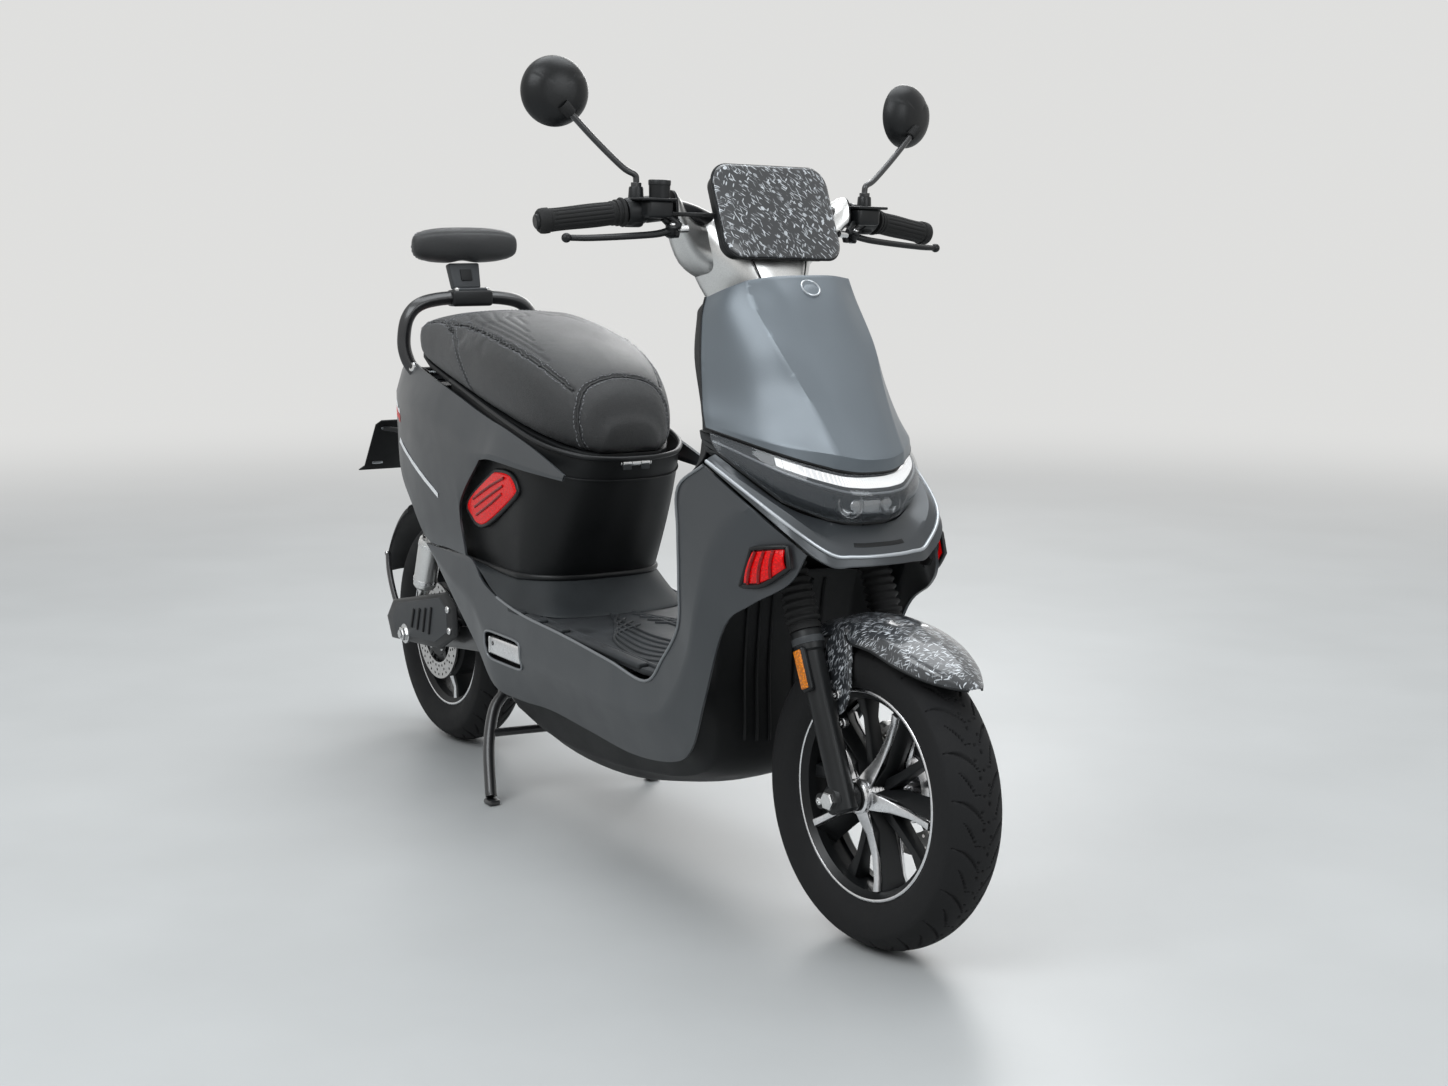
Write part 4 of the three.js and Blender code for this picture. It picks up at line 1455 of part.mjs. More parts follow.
const shockAxis = () => shockTop.clone().sub(shockFoot).normalize();
const shockRod = (side) => {
  const foot = aside(shockFoot, side * SHOCK_OUT);
  const top = aside(shockTop, side * SHOCK_OUT);
  const eye = rod(aside(top, side * (SHOCK_OUT - SHOCK_EYE_HALF)), aside(top, side * (SHOCK_OUT + SHOCK_EYE_HALF)), SHOCK_EYE_RADIUS, 10);
  const stem = rod(foot.clone().addScaledVector(shockAxis(), CAN_FROM + CAN_LENGTH - ROD_DEPTH), top, ROD_RADIUS, 8);
  const hole = rod(aside(top, 0), aside(top, side * 2 * SHOCK_OUT), roomFor(SHOCK_PIN_RADIUS, 8), 8);
  return cutBy(joined([eye, stem]), [hole]);
};
const shockBody = (side) => {
  const foot = aside(shockFoot, side * SHOCK_OUT);
  const at = (distance) => foot.clone().addScaledVector(shockAxis(), distance);
  const eye = rod(aside(foot, side * (SHOCK_OUT - SHOCK_EYE_HALF)), aside(foot, side * (SHOCK_OUT + SHOCK_EYE_HALF)), SHOCK_EYE_RADIUS, 10);
  const can = rod(at(CAN_FROM), at(CAN_FROM + CAN_LENGTH), CAN_RADIUS, 10);
  const neck = rod(at(0), at(CAN_FROM + OVERRUN), ROD_RADIUS, 8);
  const hole = rod(aside(foot, 0), aside(foot, side * 2 * SHOCK_OUT), SHOCK_PIN_RADIUS + PIVOT_PLAY, 8);
  const bore = rod(at(CAN_FROM + OVERRUN * 3), at(CAN_FROM + CAN_LENGTH + OVERRUN), ROD_RADIUS + GAP, 8);
  return cutBy(joined([eye, can, neck]), [hole, bore]);
};

const centreStand = () => {
  const shaft = crossRod(standPivot, STAND_HALF, STAND_TUBE_RADIUS, 10);
  const leg = (side) => {
    const root = aside(standPivot, side * (STAND_HALF - STAND_TUBE_RADIUS));
    return tube([root, ...onSide(standLegShares, side)], STAND_TUBE_RADIUS, 8, 7);
  };
  const foot = (side) => {
    const p = place(standLegShares[standLegShares.length - 1]);
    const high = p.z + STAND_TUBE_RADIUS / 2;
    return block(spot(p.x, side * p.y, high / 2), [STAND_FOOT_LENGTH, STAND_FOOT_WIDTH, high]);
  };
  return joined([shaft, leg(1), leg(-1), foot(1), foot(-1)]);
};

// Everything that turns with the bar is built straight ahead and turned to the rest angle here
const scooter = new THREE.Group();
scooter.position.x = MIDDLE_TO_AXLE_MIDDLE;
const steered = new THREE.Group();
steered.position.copy(axisFoot);
steered.quaternion.setFromAxisAngle(axisUp, degrees(STEER_REST_DEG));
const straight = new THREE.Group();
straight.position.copy(axisFoot).negate();
steered.add(straight);
scooter.add(steered);

const fixed = (name, body, material) => scooter.add(meshOf(name, body, material));
const turning = (name, body, material) => straight.add(meshOf(name, body, material));
const sides = [["right", -1], ["left", 1]];

fixed("frame", frame(), blackSteel);
fixed("front_cowl", cowlShell(PANEL_WALL), cowlBlue);
fixed("headlamp_lens", lensShell(THIN_WALL), clearLens);
fixed("headlamp_housing", headlampHousing(), blackPlastic);
fixed("front_apron", apronShell(PANEL_WALL), gunmetal);
fixed("inner_leg_shield", innerShield(), blackPlastic);
fixed("key_switch", keySwitch(), silver);
fixed("belly_pan", bellyShell(THIN_WALL), blackPlastic);
fixed("floor_mat", floorMat(), blackRubber);
fixed("seat_tub", seatTub(), blackPlastic);
fixed("tail_lamp", tailLamp(), redLens);
fixed("plate_holder", plateHolder(), blackPlastic);
fixed("grab_rail", grabRail(), blackSteel);
fixed("backrest_pad", backrestPad(), leatherBlack);
fixed("battery", battery(), caseGrey);
fixed("controller", controller(), caseGrey);
fixed("seat_base", seatBase(), blackPlastic);
fixed("seat_cushion", seatCushion(), leatherBlack);
fixed("rear_tyre", tyre(rearAxleX), blackRubber);
fixed("rear_rim", rearRim(), blackSteel);
fixed("rear_disc", disc(rearAxleX, -MOTOR_HALF - GAP - DISC_THICKNESS, -MOTOR_HALF - GAP), brakeSteel);
fixed("swingarm", swingarm(), blackSteel);
fixed("centre_stand", centreStand(), blackSteel);
for (const [label, side] of sides) {
  fixed(`side_fairing_${label}`, sideFairing(side), gunmetal);
  fixed(`front_lamp_${label}`, frontLamp(side), redLens);
  fixed(`side_panel_${label}`, sidePanel(side), gunmetal);
  fixed(`side_lamp_${label}`, rearLamp(side), redLens);
  fixed(`footpeg_${label}`, footpeg(side), silver);
  fixed(`shock_body_${label}`, shockBody(side), silver);
  fixed(`shock_rod_${label}`, shockRod(side), blackSteel);
  turning(`fork_lower_${label}`, forkLower(side), blackSteel);
  turning(`bellows_${label}`, bellows(side), blackRubber);
  turning(`control_pod_${label}`, controlPod(side), blackPlastic);
  turning(`brake_lever_${label}`, lever(side), blackSteel);
  turning(`mirror_${label}`, mirrorHead(side), blackPlastic);
}
turning("fork_crown", forkCrown(), blackSteel);
turning("handlebar", handlebar(), blackSteel);
turning("neck_cover", neckCover(), castSilver);
turning("instrument_panel", instrumentPanel(), blackPlastic);
turning("panel_cover", panelCover(), patterned);
turning("throttle_grip", gripBody(-1), blackRubber);
turning("grip_left", gripBody(1), blackRubber);
turning("horn_button", hornButton(), redLens);
turning("brake_hose", brakeHose(), blackRubber);
turning("front_fender", fender(), patterned);
turning("front_tyre", tyre(frontAxleX), blackRubber);
turning("front_rim", frontRim(), blackSteel);
turning("front_disc", disc(frontAxleX, FRONT_HUB_HALF + GAP, FRONT_HUB_HALF + GAP + DISC_THICKNESS), brakeSteel);

export default scooter;
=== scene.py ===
"""Looks of a seated electric scooter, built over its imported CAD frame

Metres, +X forward, +Y to the rider's left, +Z up.
"""

import math

import bmesh
import bpy
from mathutils import Matrix, Vector, kdtree


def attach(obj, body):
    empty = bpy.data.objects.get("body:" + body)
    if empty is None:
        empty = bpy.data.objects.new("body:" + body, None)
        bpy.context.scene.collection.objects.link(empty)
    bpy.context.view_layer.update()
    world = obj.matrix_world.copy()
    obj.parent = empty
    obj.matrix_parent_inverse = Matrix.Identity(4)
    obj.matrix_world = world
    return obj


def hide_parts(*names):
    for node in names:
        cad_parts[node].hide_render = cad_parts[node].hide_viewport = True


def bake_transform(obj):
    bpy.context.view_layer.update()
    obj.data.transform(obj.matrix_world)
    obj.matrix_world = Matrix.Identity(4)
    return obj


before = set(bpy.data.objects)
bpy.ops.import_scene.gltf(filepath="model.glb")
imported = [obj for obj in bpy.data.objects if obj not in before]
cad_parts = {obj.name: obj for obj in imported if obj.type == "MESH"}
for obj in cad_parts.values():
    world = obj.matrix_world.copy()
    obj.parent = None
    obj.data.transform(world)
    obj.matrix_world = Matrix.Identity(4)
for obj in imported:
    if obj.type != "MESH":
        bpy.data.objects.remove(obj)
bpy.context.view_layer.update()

# Driving sizes
SHIFT = 0.030
WHEEL_RADIUS = 0.208
FRONT_AXLE_X = 0.7035
REAR_AXLE_X = -0.6435
TYRE_HALF = 0.045
RIM_RADIUS = 0.141
RIM_HALF = 0.032
CASTER = math.radians(24)
FRONT_AXLE = Vector((FRONT_AXLE_X, 0, WHEEL_RADIUS))
REAR_AXLE = Vector((REAR_AXLE_X, 0, WHEEL_RADIUS))
AXIS_FOOT = Vector((0.7765, 0, 0))
AXIS_UP = Vector((-math.sin(CASTER), 0, math.cos(CASTER)))
AXIS_AHEAD = Vector((math.cos(CASTER), 0, math.sin(CASTER)))
STEER_REST = math.radians(4)
SIDES = {"right": -1, "left": 1}
TAGS = {-1: "r", 1: "l"}
X_AXIS = Vector((1, 0, 0))
Y_AXIS = Vector((0, 1, 0))
Z_AXIS = Vector((0, 0, 1))
# The radius at which a turned piece closes on its axis
TIP = 0.0002

STEER = (
    Matrix.Translation(AXIS_FOOT)
    @ Matrix.Rotation(STEER_REST, 4, AXIS_UP)
    @ Matrix.Translation(-AXIS_FOOT)
)


# Camera, floor and lights
CAMERA_SPOT = (2.9299, -1.5895, 0.9569)
CAMERA_HEADING = math.radians(31.17)
CAMERA_TILT = math.radians(8.65)
CAMERA_LENS = 52.8
CAMERA_SENSOR = 36
BACKDROP = (0.74, 0.74, 0.73, 1)
SKY = (0.84, 0.92, 1.0, 1)
SKY_LOW, SKY_HIGH = 0.10, 0.75
COOL, NEUTRAL = (0.93, 0.97, 1), (1, 1, 1)
# Each lamp: its place, what it points at, its size, its power and its colour
LAMPS = {
    "key": ((1.2, -2.6, 3.2), (0, 0, 0.5), (2.6, 2.2), 86, COOL),
    "front": ((4.2, 0.6, 2.4), (0.3, 0, 0.6), (2.2, 2.2), 50, COOL),
    "top": ((-0.4, 0.5, 3.8), (0, 0, 0.4), (3.4, 2.4), 84, COOL),
    "rim": ((-2.8, 2.4, 2.4), (0, 0, 0.6), (1.6, 2.2), 46, NEUTRAL),
}
FLOOR_SIZE = 60
FLOOR_DROP = 0.0006
FLOOR_GREY = ((0.40, 0.40, 0.39), (0.50, 0.50, 0.49))
FLOOR_FADE = (1.6, 7.5)


def make_camera():
    heading, tilt = CAMERA_HEADING, CAMERA_TILT
    look = Vector((-math.cos(heading) * math.cos(tilt), math.sin(heading) * math.cos(tilt), -math.sin(tilt)))
    data = bpy.data.cameras.new("camera")
    data.sensor_width = CAMERA_SENSOR
    data.lens = CAMERA_LENS
    camera = bpy.data.objects.new("camera", data)
    camera.location = CAMERA_SPOT
    camera.rotation_mode = "QUATERNION"
    camera.rotation_quaternion = look.to_track_quat("-Z", "Y")
    bpy.context.scene.collection.objects.link(camera)
    bpy.context.scene.camera = camera


def area_light(name, place, target, size, power, color):
    data = bpy.data.lights.new(name, "AREA")
    data.shape = "RECTANGLE"
    data.size, data.size_y = size
    data.energy = power
    data.color = color
    lamp = bpy.data.objects.new(name, data)
    lamp.location = place
    lamp.rotation_mode = "QUATERNION"
    lamp.rotation_quaternion = (Vector(target) - Vector(place)).to_track_quat("-Z", "Y")
    bpy.context.scene.collection.objects.link(lamp)


def seen_directly(nodes, links):
    """1 for the camera and for what shows in metal and glass, 0 for the light on the object"""
    path = nodes.new("ShaderNodeLightPath")
    level = path.outputs["Is Camera Ray"]
    for kind in ("Is Glossy Ray", "Is Transmission Ray"):
        level = arithmetic(nodes, links, "MAXIMUM", level, path.outputs[kind])
    return level


def make_world():
    """Pale backdrop to look at; the light itself is stronger from above"""
    world = bpy.data.worlds.new("world")
    bpy.context.scene.world = world
    world.use_nodes = True
    nodes, links = world.node_tree.nodes, world.node_tree.links
    nodes.clear()
    out = nodes.new("ShaderNodeOutputWorld")
    seen = nodes.new("ShaderNodeBackground")
    seen.inputs["Color"].default_value = BACKDROP
    light = nodes.new("ShaderNodeBackground")
    light.inputs["Color"].default_value = SKY
    coords = nodes.new("ShaderNodeTexCoord")
    parts = nodes.new("ShaderNodeSeparateXYZ")
    links.new(coords.outputs["Generated"], parts.inputs[0])
    links.new(spread(nodes, links, parts.outputs["Z"], SKY_LOW, SKY_HIGH, 0, 1), light.inputs["Strength"])
    mix = nodes.new("ShaderNodeMixShader")
    links.new(seen_directly(nodes, links), mix.inputs[0])
    links.new(light.outputs[0], mix.inputs[1])
    links.new(seen.outputs[0], mix.inputs[2])
    links.new(mix.outputs[0], out.inputs["Surface"])


def make_floor():
    """Pale polished floor; far out it fades, for the camera alone, to the tone of the backdrop"""
    bpy.ops.mesh.primitive_plane_add(size=FLOOR_SIZE, location=(0, 0, -FLOOR_DROP))
    floor = bpy.context.object
    floor.name = "floor"
    stuff, nodes, links, bsdf = tree_of("floor")
    bsdf.inputs["Roughness"].default_value = 0.42
    noise = texture(nodes, links, "ShaderNodeTexNoise", 2.2, Detail=8)
    links.new(two_tone(nodes, links, noise.outputs["Fac"], *FLOOR_GREY), bsdf.inputs["Base Color"])
    coords = nodes.new("ShaderNodeTexCoord")
    reach = nodes.new("ShaderNodeVectorMath")
    reach.operation = "LENGTH"
    links.new(coords.outputs["Object"], reach.inputs[0])
    far = spread(nodes, links, reach.outputs["Value"], 0, 1, *FLOOR_FADE)
    far.node.interpolation_type = "SMOOTHERSTEP"
    share = arithmetic(nodes, links, "MULTIPLY", far, seen_directly(nodes, links))
    glow = nodes.new("ShaderNodeEmission")
    glow.inputs["Color"].default_value = BACKDROP
    mix = nodes.new("ShaderNodeMixShader")
    links.new(share, mix.inputs[0])
    links.new(bsdf.outputs[0], mix.inputs[1])
    links.new(glow.outputs[0], mix.inputs[2])
    links.new(mix.outputs[0], nodes["Material Output"].inputs["Surface"])
    floor.data.materials.append(stuff)


def make_studio():
    bpy.context.scene.view_settings.view_transform = "Standard"
    make_world()
    make_floor()
    for name, lamp in LAMPS.items():
        area_light(name, *lamp)


# Materials
def tree_of(name):
    stuff = bpy.data.materials.new(name)
    stuff.use_nodes = True
    nodes, links = stuff.node_tree.nodes, stuff.node_tree.links
    return stuff, nodes, links, nodes["Principled BSDF"]


def texture(nodes, links, kind, scale, stretch=(1, 1, 1), turn=(0, 0, 0), **settings):
    """A procedural texture read in the piece's own coordinates"""
    coords = nodes.new("ShaderNodeTexCoord")
    mapping = nodes.new("ShaderNodeMapping")
    mapping.vector_type = "TEXTURE"
    mapping.inputs["Scale"].default_value = [1 / share for share in stretch]
    mapping.inputs["Rotation"].default_value = turn
    links.new(coords.outputs["Object"], mapping.inputs["Vector"])
    node = nodes.new(kind)
    links.new(mapping.outputs[0], node.inputs["Vector"])
    node.inputs["Scale"].default_value = scale
    for key, value in settings.items():
        if key in node.inputs:
            node.inputs[key].default_value = value
        else:
            setattr(node, key, value)
    return node


def spread(nodes, links, source, low, high, start=0.3, end=0.7):
    """Maps a texture value from start..end to low..high"""
    node = nodes.new("ShaderNodeMapRange")
    node.inputs["From Min"].default_value = start
    node.inputs["From Max"].default_value = end
    node.inputs["To Min"].default_value = low
    node.inputs["To Max"].default_value = high
    links.new(source, node.inputs["Value"])
    return node.outputs[0]


def two_tone(nodes, links, factor, dark, light):
    node = nodes.new("ShaderNodeMix")
    node.data_type = "RGBA"
    node.inputs[6].default_value = (*dark, 1)
    node.inputs[7].default_value = (*light, 1)
    links.new(factor, node.inputs[0])
    return node.outputs[2]


def bump(nodes, links, bsdf, height, depth, below=None):
    node = nodes.new("ShaderNodeBump")
    node.inputs["Strength"].default_value = 1
    node.inputs["Distance"].default_value = depth
    links.new(height, node.inputs["Height"])
    if below is not None:
        links.new(below, node.inputs["Normal"])
    links.new(node.outputs[0], bsdf.inputs["Normal"])
    return node.outputs[0]


def arithmetic(nodes, links, kind, first, second, clamp=False):
    """A sum, a product or the larger of two shader values"""
    node = nodes.new("ShaderNodeMath")
    node.operation = kind
    node.use_clamp = clamp
    links.new(first, node.inputs[0])
    links.new(second, node.inputs[1])
    return node.outputs[0]


def scaled(color, factor):
    return tuple(min(1, c * factor) for c in color)


def edge_lightening(nodes, links, amount):
    """Bright on convex edges, dark in flats, by pointiness"""
    geometry = nodes.new("ShaderNodeNewGeometry")
    return spread(nodes, links, geometry.outputs["Pointiness"], 0, amount, 0.52, 0.62)


def painted(name, color, roughness, metallic=0.55, coat=0.35, flake=0.10):
    """Metallic paint: fine flakes, slow drift of tone, faint orange peel, lighter on convex edges"""
    stuff, nodes, links, bsdf = tree_of(name)
    drift = texture(nodes, links, "ShaderNodeTexNoise", 3.0, Detail=3)
    flakes = texture(nodes, links, "ShaderNodeTexVoronoi", 2600)
    speck = spread(nodes, links, flakes.outputs["Color"], -flake, flake, 0, 1)
    tone = spread(nodes, links, drift.outputs["Fac"], 0.35, 0.65)
    both = arithmetic(nodes, links, "ADD", speck, tone)
    # Convex edges made lighter, by pointiness
    lightened = arithmetic(nodes, links, "ADD", both, edge_lightening(nodes, links, 0.5))
    links.new(
        two_tone(nodes, links, lightened, scaled(color, 0.82), scaled(color, 1.2)), bsdf.inputs["Base Color"]
    )
    haze = texture(nodes, links, "ShaderNodeTexNoise", 14, Detail=4)
    links.new(
        spread(nodes, links, haze.outputs["Fac"], roughness - 0.04, roughness + 0.05),
        bsdf.inputs["Roughness"]
    )
    bsdf.inputs["Metallic"].default_value = metallic
    bsdf.inputs["Coat Weight"].default_value = coat
    bsdf.inputs["Coat Roughness"].default_value = 0.18
    peel = texture(nodes, links, "ShaderNodeTexNoise", 420, Detail=2)
    bump(nodes, links, bsdf, peel.outputs["Fac"], 0.00006)
    return stuff


def moulded(name, color, roughness=0.55, grain=900, depth=0.00012, coat=0.0):
    """Moulded plastic: fine spark-eroded grain, a little unevenness, lighter on convex edges"""
    stuff, nodes, links, bsdf = tree_of(name)
    drift = texture(nodes, links, "ShaderNodeTexNoise", 9, Detail=5)
    tone = spread(nodes, links, drift.outputs["Fac"], 0, 1)
    base = two_tone(nodes, links, tone, scaled(color, 0.8), scaled(color, 1.25))
    # Convex edges mixed towards a lighter tone, by pointiness
    edge_mix = nodes.new("ShaderNodeMix")
    edge_mix.data_type = "RGBA"
    edge_mix.inputs[7].default_value = (*scaled(color, 2.2), 1)
    links.new(edge_lightening(nodes, links, 0.6), edge_mix.inputs[0])
    links.new(base, edge_mix.inputs[6])
    links.new(edge_mix.outputs[2], bsdf.inputs["Base Color"])
    links.new(
        spread(nodes, links, drift.outputs["Fac"], roughness - 0.06, roughness + 0.08),
        bsdf.inputs["Roughness"]
    )
    bsdf.inputs["Coat Weight"].default_value = coat
    bsdf.inputs["Specular IOR Level"].default_value = 0.28
    pits = texture(nodes, links, "ShaderNodeTexVoronoi", grain)
    bump(nodes, links, bsdf, pits.outputs["Distance"], depth)
    return stuff


def metal(name, color, roughness=0.3, grain=260, stretch=(1, 1, 1), depth=0.00005):
    """Bare metal: brushing or casting grain, smudges in the gloss"""
    stuff, nodes, links, bsdf = tree_of(name)
    lines = texture(nodes, links, "ShaderNodeTexNoise", grain, stretch=stretch, Detail=3)
    smudge = texture(nodes, links, "ShaderNodeTexNoise", 22, Detail=5)
    tone = spread(nodes, links, lines.outputs["Fac"], 0, 1, 0.25, 0.75)
    links.new(
        two_tone(nodes, links, tone, scaled(color, 0.86), scaled(color, 1.06)), bsdf.inputs["Base Color"]
    )
    links.new(
        spread(nodes, links, smudge.outputs["Fac"], roughness - 0.06, roughness + 0.1),
        bsdf.inputs["Roughness"]
    )
    bsdf.inputs["Metallic"].default_value = 1
    bump(nodes, links, bsdf, lines.outputs["Fac"], depth)
    return stuff


def rubber(name, color, roughness=0.72, grain=520, depth=0.00018):
    """Rubber: matt, dusty in patches, slightly mottled"""
    stuff, nodes, links, bsdf = tree_of(name)
    dust = texture(nodes, links, "ShaderNodeTexNoise", 26, Detail=8, Roughness=0.65)
    tone = spread(nodes, links, dust.outputs["Fac"], 0, 1, 0.35, 0.75)
    links.new(
        two_tone(nodes, links, tone, scaled(color, 0.75), scaled(color, 1.55)), bsdf.inputs["Base Color"]
    )
    links.new(
        spread(nodes, links, dust.outputs["Fac"], roughness - 0.1, roughness + 0.1),
        bsdf.inputs["Roughness"]
    )
    bsdf.inputs["Specular IOR Level"].default_value = 0.3
    fine = texture(nodes, links, "ShaderNodeTexNoise", grain, Detail=4)
    bump(nodes, links, bsdf, fine.outputs["Fac"], depth)
    return stuff


def leather(name, color):
    """Grained vinyl leather: pebbles, fine creases, soft sheen"""
    stuff, nodes, links, bsdf = tree_of(name)
    drift = texture(nodes, links, "ShaderNodeTexNoise", 12, Detail=6)
    tone = spread(nodes, links, drift.outputs["Fac"], 0, 1)
    links.new(two_tone(nodes, links, tone, scaled(color, 0.8), scaled(color, 1.3)), bsdf.inputs["Base Color"])
    links.new(spread(nodes, links, drift.outputs["Fac"], 0.36, 0.5), bsdf.inputs["Roughness"])
    bsdf.inputs["Sheen Weight"].default_value = 0.15
    bsdf.inputs["Sheen Roughness"].default_value = 0.5
    pebble = texture(nodes, links, "ShaderNodeTexVoronoi", 620, feature="DISTANCE_TO_EDGE")
    first = bump(nodes, links, bsdf, spread(nodes, links, pebble.outputs["Distance"], 0, 1, 0, 0.25), 0.00022)
    crease = texture(nodes, links, "ShaderNodeTexNoise", 70, Detail=6, Distortion=1.5)
    bump(nodes, links, bsdf, crease.outputs["Fac"], 0.0002, first)
    return stuff


def chopped(name):
    """Short pale slivers lying every way on dark grey, under a clear coat"""
    stuff, nodes, links, bsdf = tree_of(name)
    level = None
    for k, angle in enumerate((0.2, 0.75, 1.3, 1.8, 2.3, 2.9)):
        chips = texture(
            nodes, links, "ShaderNodeTexVoronoi", 62 + 6 * k,
            stretch=(0.8, 6.0, 0.8), turn=(angle, 0.5 * k, angle * 1.7),
        )
        shine = nodes.new("ShaderNodeSeparateColor")
        links.new(chips.outputs["Color"], shine.inputs[0])
        sliver = spread(nodes, links, chips.outputs["Distance"], 1, 0, 0.20, 0.27)
        picked = spread(nodes, links, shine.outputs[0], 0, 1, 0.30, 0.85)
        both = arithmetic(nodes, links, "MULTIPLY", sliver, picked, clamp=True)
        level = arithmetic(nodes, links, "MAXIMUM", level, both) if level else both
    links.new(
        two_tone(nodes, links, level, (0.024, 0.026, 0.029), (0.62, 0.64, 0.66)), bsdf.inputs["Base Color"]
    )
    links.new(spread(nodes, links, level, 0.34, 0.24, 0, 1), bsdf.inputs["Roughness"])
    bsdf.inputs["Coat Weight"].default_value = 0.8
    bsdf.inputs["Coat Roughness"].default_value = 0.06
    bump(nodes, links, bsdf, level, 0.00005)
    return stuff


def clear(name, color, alpha, roughness=0.04):
    """Clear polycarbonate with the faintest ripple"""
    stuff, nodes, links, bsdf = tree_of(name)
    ripple = texture(nodes, links, "ShaderNodeTexNoise", 30, Detail=2)
    links.new(
        two_tone(nodes, links, ripple.outputs["Fac"], scaled(color, 0.9), scaled(color, 1.1)),
        bsdf.inputs["Base Color"]
    )
    bsdf.inputs["Alpha"].default_value = alpha
    bsdf.inputs["Roughness"].default_value = roughness
    bsdf.inputs["Coat Weight"].default_value = 1
    bsdf.inputs["Coat Roughness"].default_value = 0.02
    bump(nodes, links, bsdf, ripple.outputs["Fac"], 0.00003)
    return stuff


def lamp_red(name, color, glow=0.0):
    """Moulded red lens with fine prisms that scatter the light"""
    stuff, nodes, links, bsdf = tree_of(name)
    prisms = texture(nodes, links, "ShaderNodeTexVoronoi", 330, distance="CHEBYCHEV")
    tone = spread(nodes, links, prisms.outputs["Distance"], 0, 1, 0.05, 0.5)
    links.new(
        two_tone(nodes, links, tone, scaled(color, 1.25), scaled(color, 0.45)), bsdf.inputs["Base Color"]
    )
    links.new(spread(nodes, links, prisms.outputs["Distance"], 0.12, 0.3, 0, 0.5), bsdf.inputs["Roughness"])
    bsdf.inputs["Coat Weight"].default_value = 0.12
    bsdf.inputs["Coat Roughness"].default_value = 0.05
    bsdf.inputs["Specular IOR Level"].default_value = 0.3
    bsdf.inputs["Emission Color"].default_value = (*color, 1)
    bsdf.inputs["Emission Strength"].default_value = glow
    bump(nodes, links, bsdf, prisms.outputs["Distance"], 0.0003)
    return stuff


def lit(name, color, strength):
    """A light guide: bright cells with a soft grain between them"""
    stuff, nodes, links, bsdf = tree_of(name)
    grain = texture(nodes, links, "ShaderNodeTexNoise", 260, Detail=2)
    links.new(
        two_tone(nodes, links, grain.outputs["Fac"], scaled(color, 0.85), color), bsdf.inputs["Base Color"]
    )
    bsdf.inputs["Emission Color"].default_value = (*color, 1)
    bsdf.inputs["Emission Strength"].default_value = strength
    bsdf.inputs["Roughness"].default_value = 0.3
    return stuff


GUNMETAL = painted("gunmetal", (0.055, 0.060, 0.065), 0.40, metallic=0.5, coat=0.25)
# A lighter grey laid on bevelled edges of the gunmetal panels: a painted highlight
BEVEL = painted("bevel_painted_highlight", (0.19, 0.20, 0.21), 0.36, metallic=0.6)
COWL_BLUE = painted("cowl_blue", (0.135, 0.155, 0.172), 0.42, metallic=0.45, coat=0.2, flake=0.06)
# Silver trim; the same silver is also laid along the apron's bevel as a painted highlight
SILVER_AND_HIGHLIGHT = painted("silver_and_painted_highlight", (0.42, 0.44, 0.46), 0.34, metallic=0.7)
STEEL_BLACK = painted("steel_black", (0.018, 0.018, 0.019), 0.36, metallic=0.1, coat=0.5, flake=0.02)
PLASTIC_BLACK = moulded("plastic_black", (0.0055, 0.006, 0.0065), 0.5)
PLASTIC_SATIN = moulded("plastic_satin", (0.009, 0.0095, 0.010), 0.36, grain=1400, depth=0.00006)
PLASTIC_GREY = moulded("plastic_grey", (0.036, 0.038, 0.040), 0.46)
PLASTIC_DECK = moulded("plastic_deck", (0.022, 0.025, 0.027), 0.5)
CAST_SILVER = metal("cast_silver", (0.74, 0.74, 0.73), 0.34, grain=700)
BRIGHT_STEEL = metal("bright_steel", (0.72, 0.72, 0.72), 0.2, grain=180, stretch=(1, 6, 1))
MACHINED = metal("machined_alloy", (0.78, 0.78, 0.79), 0.24, grain=240)
DISC_STEEL = metal("disc_steel", (0.56, 0.55, 0.54), 0.3, grain=160)
RUBBER = rubber("rubber", (0.012, 0.012, 0.012))
TYRE = rubber("tyre", (0.008, 0.008, 0.0085), 0.78, grain=380)
MAT_RUBBER = rubber("mat_rubber", (0.026, 0.028, 0.030), 0.62)
LEATHER = leather("leather", (0.0095, 0.010, 0.0108))
THREAD = rubber("thread", (0.17, 0.17, 0.175), 0.8, grain=1500)
FORGED = chopped("chopped_pattern")
LENS = clear("clear_lens", (0.10, 0.11, 0.12), 0.30)
GLASS_DARK = clear("dark_glass", (0.02, 0.02, 0.022), 0.94)
RED = lamp_red("red_lens", (0.66, 0.001, 0.002), 0.40)
RED_DARK = lamp_red("red_lens_dark", (0.30, 0.001, 0.002), 0.08)
# The amber lens glows a little (0.08): painted light, as the fork reflectors and the horn button that carry
# it are no lamps
AMBER = lamp_red("amber_reflector", (0.85, 0.24, 0.01), 0.08)
WHITE_GLOW = lit("light_guide", (1.0, 1.0, 1.0), 1.1)
STRIPE_WHITE = moulded("stripe_white", (0.72, 0.72, 0.72), 0.4)
STRIPE_RED = moulded("stripe_red", (0.42, 0.03, 0.03), 0.4)
MIRROR_GLASS = metal("mirror_glass", (0.86, 0.88, 0.9), 0.07, grain=20, depth=0.00001)

